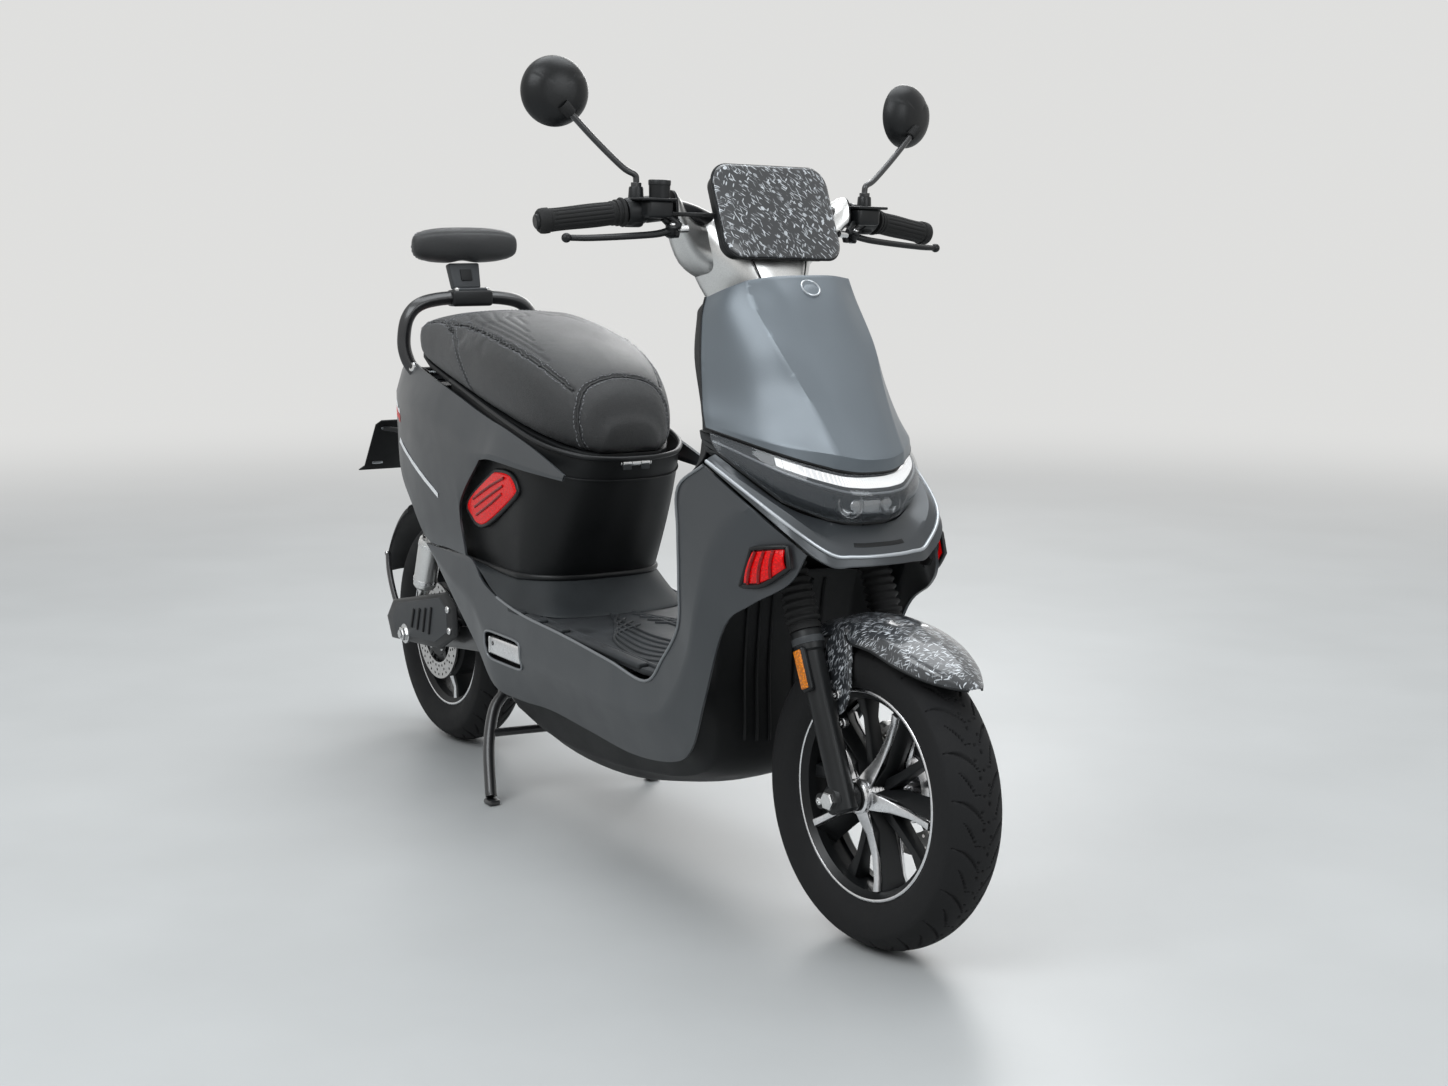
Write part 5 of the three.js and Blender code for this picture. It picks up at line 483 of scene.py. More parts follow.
# The finish slot that each material belongs to
SLOTS = {
    "black_plastic": (PLASTIC_BLACK, PLASTIC_SATIN, PLASTIC_DECK), "case_grey": (PLASTIC_GREY,),
    "cowl_blue": (COWL_BLUE,), "gunmetal": (GUNMETAL, BEVEL),
    "silver": (SILVER_AND_HIGHLIGHT, BRIGHT_STEEL, STRIPE_WHITE), "cast_silver": (CAST_SILVER, MACHINED),
    "brake_steel": (DISC_STEEL,), "black_steel": (STEEL_BLACK,), "black_rubber": (RUBBER, MAT_RUBBER),
    "tyre_rubber": (TYRE,), "leather": (LEATHER, THREAD), "patterned": (FORGED,),
    "clear_lens": (LENS, GLASS_DARK, WHITE_GLOW, MIRROR_GLASS),
    "red_lens": (RED, RED_DARK, AMBER, STRIPE_RED),
}
SLOT_OF = {stuff.name: slot for slot, group in SLOTS.items() for stuff in group}

make_camera()
make_studio()




# Shape helpers
def at(x, y, z):
    """A place given in millimetres from the middle of the scooter"""
    return Vector(((x + 1000 * SHIFT) / 1000, y / 1000, z / 1000))


def smooth_line(points, steps, breaks=()):
    """Samples of a smooth curve through the points; it turns a corner at each break"""
    cuts = [0, *breaks, len(points) - 1]
    line = [points[0].copy()]
    for first, last in zip(cuts, cuts[1:]):
        part = points[first:last + 1]
        ends = [2 * part[0] - part[1], *part, 2 * part[-1] - part[-2]]
        for a, b, c, d in zip(ends, ends[1:], ends[2:], ends[3:]):
            for k in range(1, steps + 1):
                t = k / steps
                line.append(
                    0.5 * (
                        2 * b + (c - a) * t + (
                            2 * a - 5 * b + 4 * c - d
                        ) * t * t + (3 * (b - c) + d - a) * t**3
                    )
                )
    return line


def smooth_grid(rows, row_steps, column_steps, row_breaks=(), column_breaks=()):
    """Rows made finer both ways along smooth curves"""
    across = [smooth_line(row, column_steps, column_breaks) for row in rows]
    columns = [smooth_line(list(column), row_steps, row_breaks) for column in zip(*across)]
    return [list(row) for row in zip(*columns)]


def rim_of(grid):
    """The outer edge of a grid of points, once round"""
    inner = grid[1:-1]
    return grid[0] + [row[-1] for row in inner] + list(reversed(grid[-1])) + [
        row[0] for row in reversed(inner)
    ]


def both_sides(half):
    """A row from the middle to the left edge, made whole"""
    return [Vector((p.x, -p.y, p.z)) for p in reversed(half) if abs(p.y) > 1e-9] + list(half)


def finish_mesh(obj, sharp=35):
    """Applies the modifiers, then shades smooth but for edges sharper than the angle"""
    bpy.context.view_layer.update()
    shaped = obj.evaluated_get(bpy.context.evaluated_depsgraph_get())
    mesh = bpy.data.meshes.new_from_object(shaped)
    obj.modifiers.clear()
    old = obj.data
    obj.data = mesh
    bpy.data.meshes.remove(old)
    mesh.shade_smooth()
    mesh.set_sharp_from_angle(angle=math.radians(sharp))
    return obj


def make(
    name, verts, faces, stuff, facing=None, thick=0, round_to=0, sharp=35, subdivide=0, segments=2, tilt=35
):
    """A mesh piece, thickened inwards from the side that faces the given way, with rounded edges"""
    mesh = bpy.data.meshes.new(name)
    mesh.from_pydata([tuple(v) for v in verts], [], faces)
    mesh.update()
    shape = bmesh.new()
    shape.from_mesh(mesh)
    bmesh.ops.remove_doubles(shape, verts=shape.verts, dist=1e-5)
    if facing is None:
        bmesh.ops.recalc_face_normals(shape, faces=shape.faces)
    else:
        total = sum((f.normal * f.calc_area() for f in shape.faces), Vector())
        if total.dot(Vector(facing)) < 0:
            bmesh.ops.reverse_faces(shape, faces=shape.faces)
    shape.to_mesh(mesh)
    shape.free()
    obj = bpy.data.objects.new(name, mesh)
    bpy.context.scene.collection.objects.link(obj)
    mesh.materials.append(stuff)
    if thick:
        wall = obj.modifiers.new("wall", "SOLIDIFY")
        wall.thickness = thick
        wall.offset = -1
        wall.use_even_offset = True
        wall.use_quality_normals = True
    if round_to:
        edge = obj.modifiers.new("edge", "BEVEL")
        edge.width = round_to
        edge.segments = segments
        edge.limit_method = "ANGLE"
        edge.angle_limit = math.radians(tilt)
        edge.use_clamp_overlap = True
    if subdivide:
        soft = obj.modifiers.new("soft", "SUBSURF")
        soft.levels = subdivide
        soft.render_levels = subdivide
    return finish_mesh(obj, sharp)


def grid_faces(rows, columns, wrap_rows=False, wrap_columns=False):
    """The four-sided faces of a grid of points"""
    faces = []
    for i in range(rows if wrap_rows else rows - 1):
        for j in range(columns if wrap_columns else columns - 1):
            a, b = i * columns + j, i * columns + (j + 1) % columns
            c, d = ((i + 1) % rows) * columns + (j + 1) % columns, ((i + 1) % rows) * columns + j
            faces.append((a, b, c, d))
    return faces


def sheet(name, rows, stuff, facing, thick, **shape):
    """A panel of one wall thickness through rows of points"""
    verts = [p for row in rows for p in row]
    return make(name, verts, grid_faces(len(rows), len(rows[0])), stuff, facing, thick, **shape)


def loft(name, rings, stuff, closed=False, caps=True, **shape):
    """A closed skin through rings of points; a closed loft joins its last ring to its first"""
    verts = [p for ring in rings for p in ring]
    count = len(rings[0])
    faces = grid_faces(len(rings), count, closed, True)
    if caps and not closed:
        faces.append(tuple(range(count)))
        faces.append(tuple(range(len(verts) - count, len(verts))))
    return make(name, verts, faces, stuff, **shape)


def frame_of(axis, hint=(0, 0, 1)):
    """Two directions square to the axis and to each other"""
    axis = Vector(axis).normalized()
    side = axis.cross(Vector(hint))
    if side.length < 1e-4:
        side = axis.cross(Vector((1, 0, 0)))
    side.normalize()
    return side, side.cross(axis).normalized()


def circle(centre, u, v, radius, count, start=0):
    """Points round a circle in the plane of two directions"""
    turns = [start + 2 * math.pi * k / count for k in range(count)]
    return [centre + radius * (math.cos(a) * u + math.sin(a) * v) for a in turns]


def soft_ring(centre, u, v, a, b, power=2.6, count=48):
    """A rounded box or an oval, by the power of its curve"""
    ring = []
    for k in range(count):
        turn = 2 * math.pi * k / count
        c, s = math.cos(turn), math.sin(turn)
        ring.append(
            centre + u * (a * math.copysign(abs(c) ** (2 / power), c)) + v * (
                b * math.copysign(abs(s) ** (2 / power), s)
            )
        )
    return ring


def lathe(name, profile, centre, axis, stuff, count=64, closed=True, **shape):
    """Turns a profile of (along, radius) round an axis; a closed profile makes a ring"""
    axis = Vector(axis).normalized()
    u, v = frame_of(axis)
    rings = [circle(Vector(centre) + axis * along, u, v, radius, count) for along, radius in profile]
    return loft(name, rings, stuff, closed=closed, caps=not closed, **shape)


def sweep(name, line, radius, stuff, sides=20, closed=False, **shape):
    """A round bar along a line; the radius is one size, or one for each point"""
    sizes = radius if hasattr(radius, "__len__") else [radius] * len(line)
    count = len(line)
    rings, side = [], None
    for k, spot in enumerate(line):
        before = line[(k - 1) % count] if closed else line[max(k - 1, 0)]
        after = line[(k + 1) % count] if closed else line[min(k + 1, count - 1)]
        axis = (after - before).normalized()
        if side is None:
            side = frame_of(axis)[0]
        side = (side - axis * side.dot(axis)).normalized()
        rings.append(circle(spot, side, axis.cross(side), sizes[k], sides))
    return loft(name, rings, stuff, closed=closed, caps=not closed, **shape)


def slab(name, outline, across, stuff, round_to=0.001, **shape):
    """A plate: an outline, and the vector from its one face to its other"""
    count = len(outline)
    verts = list(outline) + [p + Vector(across) for p in outline]
    faces = [tuple(range(count)), tuple(range(2 * count - 1, count - 1, -1))]
    faces += [(k, (k + 1) % count, count + (k + 1) % count, count + k) for k in range(count)]
    return make(name, verts, faces, stuff, round_to=round_to, **shape)


def block(name, centre, size, stuff, round_to=0.002, turn=None, **shape):
    """A box with rounded edges, turned if asked, about its own middle"""
    half = Vector(size) / 2
    corners = [(-1, -1), (1, -1), (1, 1), (-1, 1)]
    turn = turn or Matrix()
    outline = [Vector(centre) + turn @ Vector((x * half.x, y * half.y, -half.z)) for x, y in corners]
    return slab(name, outline, turn @ Vector((0, 0, size[2])), stuff, round_to, segments=3, **shape)


def closed_line(points, steps):
    """A smooth closed outline through the points"""
    wide = [points[-1], *points, points[0], points[1]]
    line = smooth_line(wide, steps)
    return line[steps:-2 * steps]


def transform(obj, matrix):
    """Moves the mesh itself, so that the piece keeps its own frame"""
    obj.data.transform(matrix)
    obj.data.update()
    return obj


def mirrored(points):
    return [Vector((p.x, -p.y, p.z)) for p in points]


def seat_on(obj, body, *nodes, slot=None):
    """Lets a piece ride on its body and hides the nodes it stands for"""
    slot or SLOT_OF[obj.data.materials[0].name]
    if nodes:
        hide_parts(*nodes)
    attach(obj, body)


def screw(name, spot, axis, radius, body, height=0.004, place=None):
    """A domed socket screw head"""
    profile = [
        (-height, radius * 0.96), (height * 0.55, radius), (height * 0.85, radius * 0.9),
        (height, radius * 0.72), (height, radius * 0.5), (height * 0.35, radius * 0.46), (height * 0.35, TIP),
    ]
    obj = lathe(name, [(-height, TIP), *profile], spot, axis, BRIGHT_STEEL, count=18, closed=False, sharp=30)
    (place or seat_on)(obj, body)


# Finishes of the CAD nodes that stay
NODE_LOOKS = {
    "frame": STEEL_BLACK, "battery": PLASTIC_GREY, "controller": CAST_SILVER, "seat_base": PLASTIC_BLACK,
    "swingarm": STEEL_BLACK, "centre_stand": STEEL_BLACK, "seat_tub": PLASTIC_BLACK,
    "inner_leg_shield": PLASTIC_BLACK, "front_cowl": COWL_BLUE, "headlamp_lens": LENS,
    "headlamp_housing": PLASTIC_BLACK, "front_apron": GUNMETAL, "key_switch": BRIGHT_STEEL,
    "belly_pan": PLASTIC_BLACK, "floor_mat": MAT_RUBBER, "tail_lamp": RED, "plate_holder": PLASTIC_BLACK,
    "grab_rail": STEEL_BLACK, "backrest_pad": LEATHER, "seat_cushion": LEATHER, "rear_tyre": TYRE,
    "rear_rim": PLASTIC_SATIN, "rear_disc": DISC_STEEL, "front_tyre": TYRE, "front_rim": PLASTIC_SATIN,
    "front_disc": DISC_STEEL, "front_fender": FORGED, "brake_hose": RUBBER, "fork_crown": STEEL_BLACK,
    "handlebar": STEEL_BLACK, "neck_cover": CAST_SILVER, "instrument_panel": PLASTIC_BLACK,
    "panel_cover": FORGED, "throttle_grip": RUBBER, "grip_left": RUBBER, "horn_button": AMBER,
}
SIDE_LOOKS = {
    "side_fairing": GUNMETAL, "front_lamp": RED, "side_panel": GUNMETAL, "side_lamp": RED,
    "footpeg": MACHINED, "shock_body": CAST_SILVER, "shock_rod": BRIGHT_STEEL, "fork_lower": PLASTIC_SATIN,
    "bellows": RUBBER, "control_pod": PLASTIC_SATIN, "brake_lever": PLASTIC_SATIN, "mirror": PLASTIC_SATIN,
}


def dress_nodes():
    """Gives the CAD nodes that stay their finishes and their shading"""
    looks = dict(NODE_LOOKS)
    for stem, stuff in SIDE_LOOKS.items():
        looks.update({f"{stem}_{side}": stuff for side in SIDES})
    for name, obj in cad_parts.items():
        for place in obj.material_slots:
            place.material = looks[name]
        obj.data.shade_smooth()
        obj.data.set_sharp_from_angle(angle=math.radians(32))


dress_nodes()


# Body panels: rows of places in millimetres, from the middle of the scooter to its left edge
COWL_ROWS = (
    ((484, 0, 883), (480, 45, 882), (468, 82, 877), (440, 98, 866), (404, 108, 853)),
    ((510, 0, 850), (507, 42, 850), (484, 84, 848), (450, 108, 838), (409, 117, 828)),
    ((556, 0, 790), (551, 40, 790), (538, 77, 790), (490, 108, 785), (424, 128, 778)),
    ((594, 0, 740), (590, 34, 740), (576, 65, 741), (520, 107, 736), (440, 136, 730)),
    ((632, 0, 690), (629, 28, 690), (616, 55, 692), (552, 107, 694), (458, 145, 704)),
    ((662, 0, 650), (658, 25, 651), (646, 50, 656), (577, 108, 668), (466, 147, 688)),
    ((653, 0, 633), (650, 28, 634), (638, 56, 639), (586, 104, 656), (470, 148, 682)),
)
LENS_ROWS = (
    ((650, 0, 629), (648, 28, 630), (636, 56, 635), (586, 103, 652), (478, 147, 677)),
    ((669, 0, 606), (666, 28, 607), (652, 57, 612), (600, 106, 632), (486, 150, 668)),
    ((664, 0, 580), (661, 30, 581), (648, 58, 587), (602, 107, 610), (494, 150, 660)),
    ((646, 0, 566), (643, 30, 567), (632, 58, 573), (592, 103, 595), (500, 149, 654)),
)
APRON_ROWS = (
    ((644, 0, 562), (641, 30, 563), (630, 58, 569), (590, 103, 590), (498, 150, 650)),
    ((668, 0, 538), (663, 40, 539), (653, 72, 547), (612, 116, 586), (492, 157, 645)),
    ((677, 0, 526), (672, 45, 527), (661, 78, 533), (620, 124, 574), (490, 160, 641)),
    ((680, 0, 514), (675, 46, 514), (664, 80, 517), (632, 124, 558), (489, 161, 638)),
)
SHIELD_ROWS = (
    ((372, 0, 318), (368, 60, 318), (358, 108, 318), (338, 143, 319)),
    ((392, 0, 430), (392, 60, 430), (396, 112, 430), (410, 152, 432)),
    ((388, 0, 520), (390, 60, 520), (402, 118, 520), (420, 158, 520)),
    ((372, 0, 600), (376, 60, 600), (394, 112, 600), (423, 159, 598)),
    ((358, 0, 650), (362, 60, 650), (388, 106, 648), (455, 141, 645)),
    ((346, 0, 690), (352, 60, 690), (385, 102, 690), (446, 138, 692)),
    ((312, 0, 765), (318, 55, 765), (350, 95, 768), (412, 120, 775)),
    ((296, 0, 809), (302, 50, 812), (346, 88, 831), (396, 101, 852)),
)
BELLY_ROWS = (
    ((-230, 0, 150), (-230, 60, 150), (-225, 98, 157), (-222, 120, 192)),
    ((-100, 0, 104), (-100, 60, 108), (-100, 98, 135), (-100, 118, 190)),
    ((80, 0, 100), (80, 60, 106), (80, 98, 135), (80, 117, 188)),
    ((246, 0, 127), (246, 55, 133), (246, 96, 150), (250, 118, 184)),
    ((340, 0, 152), (340, 55, 158), (345, 98, 170), (346, 121, 200)),
    ((408, 0, 182), (406, 55, 186), (402, 100, 198), (394, 127, 222)),
    ((430, 0, 230), (428, 55, 234), (422, 102, 246), (412, 132, 266)),
    ((428, 0, 330), (428, 55, 332), (428, 106, 340), (440, 138, 340)),
    ((438, 0, 430), (438, 55, 430), (444, 110, 430), (470, 142, 425)),
    ((449, 0, 472), (449, 55, 472), (456, 110, 466), (494, 139, 448)),
)
# Columns from the top edge over the crease to the bottom edge
FAIRING_COLUMNS = (
    ((-494, 142, 401), (-478, 141, 390), (-462, 140, 377)),
    ((-400, 145, 401), (-390, 147, 360), (-380, 140, 316)),
    ((-300, 147, 402), (-298, 149, 330), (-300, 138, 253)),
    ((-250, 149, 370), (-240, 150, 285), (-239, 135, 196)),
    ((-190, 150, 352), (-170, 150, 270), (-160, 128, 186)),
    ((-90, 152, 338), (-60, 151, 262), (-50, 125, 190)),
    ((50, 153, 330), (70, 152, 258), (80, 125, 184)),
    ((200, 154, 318), (215, 154, 250), (220, 126, 178)),
    ((312, 155, 308), (330, 155, 260), (345, 130, 194)),
    ((366, 157, 350), (390, 158, 300), (412, 138, 228)),
    ((415, 160, 405), (440, 162, 365), (466, 149, 310)),
    ((428, 166, 470), (475, 168, 440), (522, 152, 420)),
    ((431, 169, 540), (505, 168, 510), (580, 146, 459)),
    ((434, 170, 600), (540, 160, 560), (632, 120, 492)),
    ((484, 160, 634), (580, 148, 588), (649, 104, 531)),
)
PANEL_COLUMNS = (
    ((-690, 110, 600), (-690, 110, 652), (-690, 98, 690)),
    ((-644, 124, 515), (-645, 125, 646), (-645, 106, 711)),
    ((-576, 134, 464), (-585, 137, 642), (-585, 116, 708)),
    ((-495, 140, 409), (-545, 143, 638), (-535, 124, 699)),
    ((-400, 144, 406), (-500, 147, 630), (-480, 130, 690)),
    ((-318, 147, 404), (-445, 149, 620), (-425, 134, 680)),
    ((-336, 148, 458), (-365, 150, 602), (-350, 135, 663)),
    ((-330, 148, 500), (-300, 150, 587), (-290, 135, 648)),
    ((-254, 149, 570), (-240, 150, 582), (-230, 135, 635)),
    ((-212, 149, 574), (-195, 150, 583), (-180, 135, 626)),
    ((-100, 143, 567), (-90, 143, 574), (-80, 134, 602)),
    ((16, 134, 562), (19, 135, 567), (22, 134, 572)),
)
PANEL_CORNERS = (5, 6, 8)
PANEL_GRID = []
DECK_ROWS = (
    (
        (-97, 0, 389), (-98, 45, 389), (-112, 88, 389), (-150, 119, 389), (-200, 125, 389),
        (-300, 123, 391), (-418, 118, 393)
    ),
    (
        (-66, 0, 356), (-68, 50, 357), (-88, 103, 361), (-141, 133, 366), (-205, 138, 376),
        (-300, 136, 395), (-418, 132, 399)
    ),
    (
        (-40, 0, 335), (-42, 58, 335), (-62, 118, 337), (-136, 149, 343), (-212, 148, 360),
        (-300, 145, 399), (-418, 143, 400)
    ),
)
APRON_SLOT_SPAN = range(24, 41)
PANEL_WALL = 0.004
THIN_WALL = 0.003
PROUD = 0.0012


def places(rows):
    """Rows of places in millimetres, turned into points"""
    return [[at(*spot) for spot in row] for row in rows]


def panel_half(rows, side):
    """The rows of a side panel, on the side asked for"""
    return [mirrored(row) if side < 0 else row for row in rows]


def cowl():
    """The cowl over the headlamp, with a bead round its rim"""
    rows = smooth_grid([both_sides(row) for row in places(COWL_ROWS)], 8, 8, (5,), (2, 6))
    obj = sheet("cowl_skin", rows, COWL_BLUE, (1, 0, 0.4), PANEL_WALL, round_to=0.0016, sharp=28)
    seat_on(obj, "chassis", "front_cowl")
    rim = [row[0] for row in rows] + rows[-1][1:-1] + [row[-1] for row in reversed(rows)]
    bead = [p + Vector((-0.002, 0, 0)) for p in rim]
    seat_on(sweep("cowl_bead", bead, 0.0016, PLASTIC_BLACK, sides=8), "chassis")


def cowl_badge():
    """A plain round inlay with a bright ring, where a badge would sit"""
    spot, axis = at(497, 0, 866), Vector((0.72, 0, 0.69))
    ring = [(-0.002, 0.0118), (0.0014, 0.0122), (0.002, 0.0134), (0.0014, 0.0146), (-0.002, 0.015)]
    seat_on(lathe("inlay_ring", ring, spot, axis, SILVER_AND_HIGHLIGHT, count=48, sharp=25), "chassis")
    face = [(-0.002, TIP), (-0.002, 0.0117), (0.0004, 0.0117), (0.0009, 0.008), (0.0011, TIP)]
    disc = lathe("inlay_face", face, spot, axis, COWL_BLUE, count=48, closed=False, sharp=25)
    seat_on(disc, "chassis")


def inward(rows, core, depth):
    """Rows drawn towards a point inside"""
    return [[p + (core - p).normalized() * depth for p in row] for row in rows]


def cells(name, rows, across, down, stuff, lift, core, gap):
    """Separate little plates that follow a band of a sheet, with a gap between neighbours"""
    verts, faces = [], []
    for first, last in zip(across, across[1:]):
        corners = [rows[down[0]][first], rows[down[0]][last], rows[down[1]][last], rows[down[1]][first]]
        middle = sum(corners, Vector()) / 4
        near = [middle + (p - middle) * (1 - gap) for p in corners]
        far = [p + (core - p).normalized() * lift for p in near]
        start = len(verts)
        verts += near + far
        faces += [tuple(start + k for k in face) for face in
                  ((0, 1, 2, 3), (7, 6, 5, 4), (0, 4, 5, 1), (1, 5, 6, 2), (2, 6, 7, 3), (3, 7, 4, 0))]
    obj = make(name, verts, faces, stuff, round_to=0.0006)
    seat_on(obj, "chassis")


def headlamp():
    """Clear lens, light guide, bowl, two projectors and four lamp units"""
    core = at(420, 0, 610)
    rows = smooth_grid([both_sides(row) for row in places(LENS_ROWS)], 8, 8)
    lens = sheet("lamp_lens", rows, LENS, (1, 0, 0), 0.0025, round_to=0.0008)
    seat_on(lens, "chassis", "headlamp_lens")
    guide = inward(rows, core, 0.006)
    count = len(guide[0])
    cells("light_guide", guide, range(7, count - 7), (1, 6), WHITE_GLOW, 0.004, core, 0.08)
    back = inward(rows, core, 0.012)
    seat_on(sheet("lamp_bezel", back[:10], PLASTIC_SATIN, (1, 0, 0), 0.003), "chassis")
    seat_on(sweep("lamp_trim", guide[8], 0.0016, SILVER_AND_HIGHLIGHT, sides=8), "chassis")
    deep = inward(rows, core, 0.034)
    bowl = sheet("lamp_bowl", deep[6:], PLASTIC_BLACK, (1, 0, 0), 0.003)
    seat_on(bowl, "chassis")
    shelf = [guide[9], deep[10]]
    seat_on(sheet("lamp_shelf", shelf, PLASTIC_SATIN, (1, 0, -1), 0.002), "chassis")
    middle = count // 2
    for k, out in enumerate((-9, 9)):
        spot = deep[15][middle + out] + Vector((0.004, 0, 0.002))
        axis = (Vector((1, 0, 0.05)) + Vector((0, 0.25 * (1 if out > 0 else -1), 0))).normalized()
        ring = [(-0.004, 0.0185), (0.012, 0.0185), (0.014, 0.0172), (0.012, 0.0158), (-0.002, 0.0155)]
        seat_on(lathe(f"projector_ring_{k}", ring, spot, axis, BRIGHT_STEEL, count=40), "chassis")
        bulb = [
            (-0.004, TIP), (-0.004, 0.0155), (0.004, 0.0152), (0.009, 0.0115), (0.012, 0.006), (0.0128, TIP)
        ]
        eye = lathe(f"projector_eye_{k}", bulb, spot, axis, MIRROR_GLASS, count=40, closed=False)
        seat_on(eye, "chassis")
    for k, out in enumerate((-4.2, -1.4, 1.4, 4.2)):
        spot = deep[15][middle + round(out)] + Vector((0.006, 0.002 * out, 0.001))
        unit = block(f"lamp_unit_{k}", spot, (0.014, 0.0165, 0.021), SILVER_AND_HIGHLIGHT, 0.002)
        seat_on(unit, "chassis")
        face = block(
            f"lamp_unit_face_{k}", spot + Vector((0.006, 0, 0)), (0.005, 0.0125, 0.017), MIRROR_GLASS,
            0.0015
        )
        seat_on(face, "chassis")


def front_apron():
    """The panel under the headlamp, with a silver strip along its bevel as a painted highlight, and its air
    slot
    """
    rows = smooth_grid([both_sides(row) for row in places(APRON_ROWS)], 6, 8, (1, 2))
    obj = sheet("apron_skin", rows, GUNMETAL, (1, 0, 0), PANEL_WALL, round_to=0.0014, sharp=25)
    seat_on(obj, "chassis", "front_apron")
    # A silver strip on the bevel: a painted highlight where the edge catches the light
    edge = [p + Vector((0.0008, 0, 0)) for p in rows[12]]
    seat_on(sweep("apron_painted_highlight", edge, 0.0026, SILVER_AND_HIGHLIGHT, sides=10), "chassis")
    high = [rows[5][k] + Vector((0.0012, 0, 0.0006)) for k in APRON_SLOT_SPAN]
    low = [rows[6][k] + Vector((0.0012, 0, -0.0008)) for k in APRON_SLOT_SPAN]
    vent = sheet("apron_slot", [high, low], PLASTIC_BLACK, (1, 0, 0.5), 0.002, round_to=0.0006)
    seat_on(vent, "chassis")


def leg_shield():
    """The inner shield behind the cowl, with the key collar and the bag hook"""
    rows = smooth_grid([both_sides(row) for row in places(SHIELD_ROWS)], 6, 8)
    obj = sheet("shield_skin", rows, PLASTIC_BLACK, (-1, 0, 0), THIN_WALL, round_to=0.001)
    seat_on(obj, "chassis", "inner_leg_shield")
    spot, axis = at(352, -62, 690), Vector((-1, -0.08, 0.1)).normalized()
    collar = [(-0.004, 0.0135), (0.003, 0.0185), (0.006, 0.0178), (0.007, 0.0160), (0.005, 0.0136)]
    seat_on(lathe("key_collar", collar, spot, axis, PLASTIC_SATIN, count=40), "chassis")
    for k, out in enumerate((-1, 1)):
        hook = [at(378, out * 6, 742), at(356, out * 6, 738), at(338, out * 6, 728), at(330, out * 6, 742)]
        seat_on(sweep(f"bag_hook_{k}", smooth_line(hook, 6), 0.003, PLASTIC_SATIN, sides=12), "chassis")


def belly():
    """The pan under the floor, with its ribs"""
    rows = smooth_grid([both_sides(row) for row in places(BELLY_ROWS)], 5, 8, (), (1, 5))
    obj = sheet("belly_skin", rows, PLASTIC_BLACK, (0, 0, -1), THIN_WALL, round_to=0.001)
    seat_on(obj, "chassis", "belly_pan")
    for k in (-3, -2, -1, 1, 2, 3):
        column = len(rows[0]) // 2 + 3 * k
        rib = [rows[i][column] + Vector((0.001, 0, 0)) for i in range(30, len(rows) - 2)]
        seat_on(sweep(f"belly_rib_{k + 3}", rib, 0.0022, PLASTIC_BLACK, sides=8), "chassis")


def fairing(side, label):
    """A flank of the floor, with a painted highlight strip along its bevelled top edge, and the footpeg
    pocket
    """
    rows = smooth_grid(panel_half(places(FAIRING_COLUMNS), side), 6, 7, (), (1,))
    obj = sheet(f"fairing_skin_{label}", rows, GUNMETAL, (0, side, 0), PANEL_WALL, round_to=0.0016, sharp=22)
    seat_on(obj, "chassis", f"side_fairing_{label}")
    lift = Vector((0, side * 0.0005, 0.0006))
    # A lighter strip along the top edge: a painted highlight of the bevel
    edge = [row[0] + lift for row in rows[24:]]
    seat_on(sweep(f"fairing_painted_highlight_{label}", edge, 0.0022, BEVEL, sides=10), "chassis")
    pocket(obj, side, label)


def pocket(skin, side, label):
    """Opens the fairing for the footpeg and lines the opening with a cup"""
    rim = soft_ring(at(-174, side * 150, 268), Vector((1, 0, 0)), Vector((0, 0, 1)), 0.0665, 0.0245, 6, 48)
    cutter = slab(
        "pocket_cutter", [p + Vector((0, side * 0.012, 0)) for p in rim], (0, -side * 0.030, 0),
        PLASTIC_BLACK, 0
    )
    opening = skin.modifiers.new("opening", "BOOLEAN")
    opening.object = cutter
    finish_mesh(skin, 22)
    bpy.data.objects.remove(cutter)
    lip = [Vector((p.x, side * (0.1508 - max(0, 0.270 - p.z) * 0.22), p.z)) for p in rim]
    deep = [Vector((p.x, side * 0.1333, p.z)) for p in rim]
    faces = grid_faces(2, len(rim), False, True) + [tuple(range(len(rim), 2 * len(rim)))]
    cup = make(f"pocket_cup_{label}", lip + deep, faces, PLASTIC_BLACK, (0, side, 0), 0.0008)
    seat_on(cup, "chassis")
    # The lip round the opening is in the lighter bevel grey: a painted highlight
    seat_on(sweep(f"pocket_lip_{label}", lip, 0.0021, BEVEL, sides=10, closed=True), "chassis")


def side_panel(side, label):
    """A panel under the seat, back to the tail lamp"""
    rows = smooth_grid(panel_half(places(PANEL_COLUMNS), side), 6, 7, PANEL_CORNERS, (1,))
    obj = sheet(f"panel_skin_{label}", rows, GUNMETAL, (0, side, 0), PANEL_WALL, round_to=0.0016, sharp=22)
    seat_on(obj, "chassis", f"side_panel_{label}")


def decal(side, label):
    """Plain stripes, generic, that lie on the rear panel"""
    def stripe(name, start, end, width, stuff):
        steps = 10
        rows = [[], []]
        for k in range(steps + 1):
            share = k / steps
            x = start[0] + (end[0] - start[0]) * share
            z = start[1] + (end[1] - start[1]) * share
            for row, drop in zip(rows, (0, width)):
                row.append(on_panel(x, z - drop, side))
        obj = sheet(name, rows, stuff, (0, side, 0), 0.0006)
        seat_on(obj, "chassis")

    stripe(f"stripe_long_{label}", (-640, 572), (-430, 496), 8, STRIPE_WHITE)
    stripe(f"stripe_red_{label}", (-676, 628), (-634, 612), 12, STRIPE_RED)
    stripe(f"stripe_top_{label}", (-676, 637), (-634, 621), 5, STRIPE_WHITE)


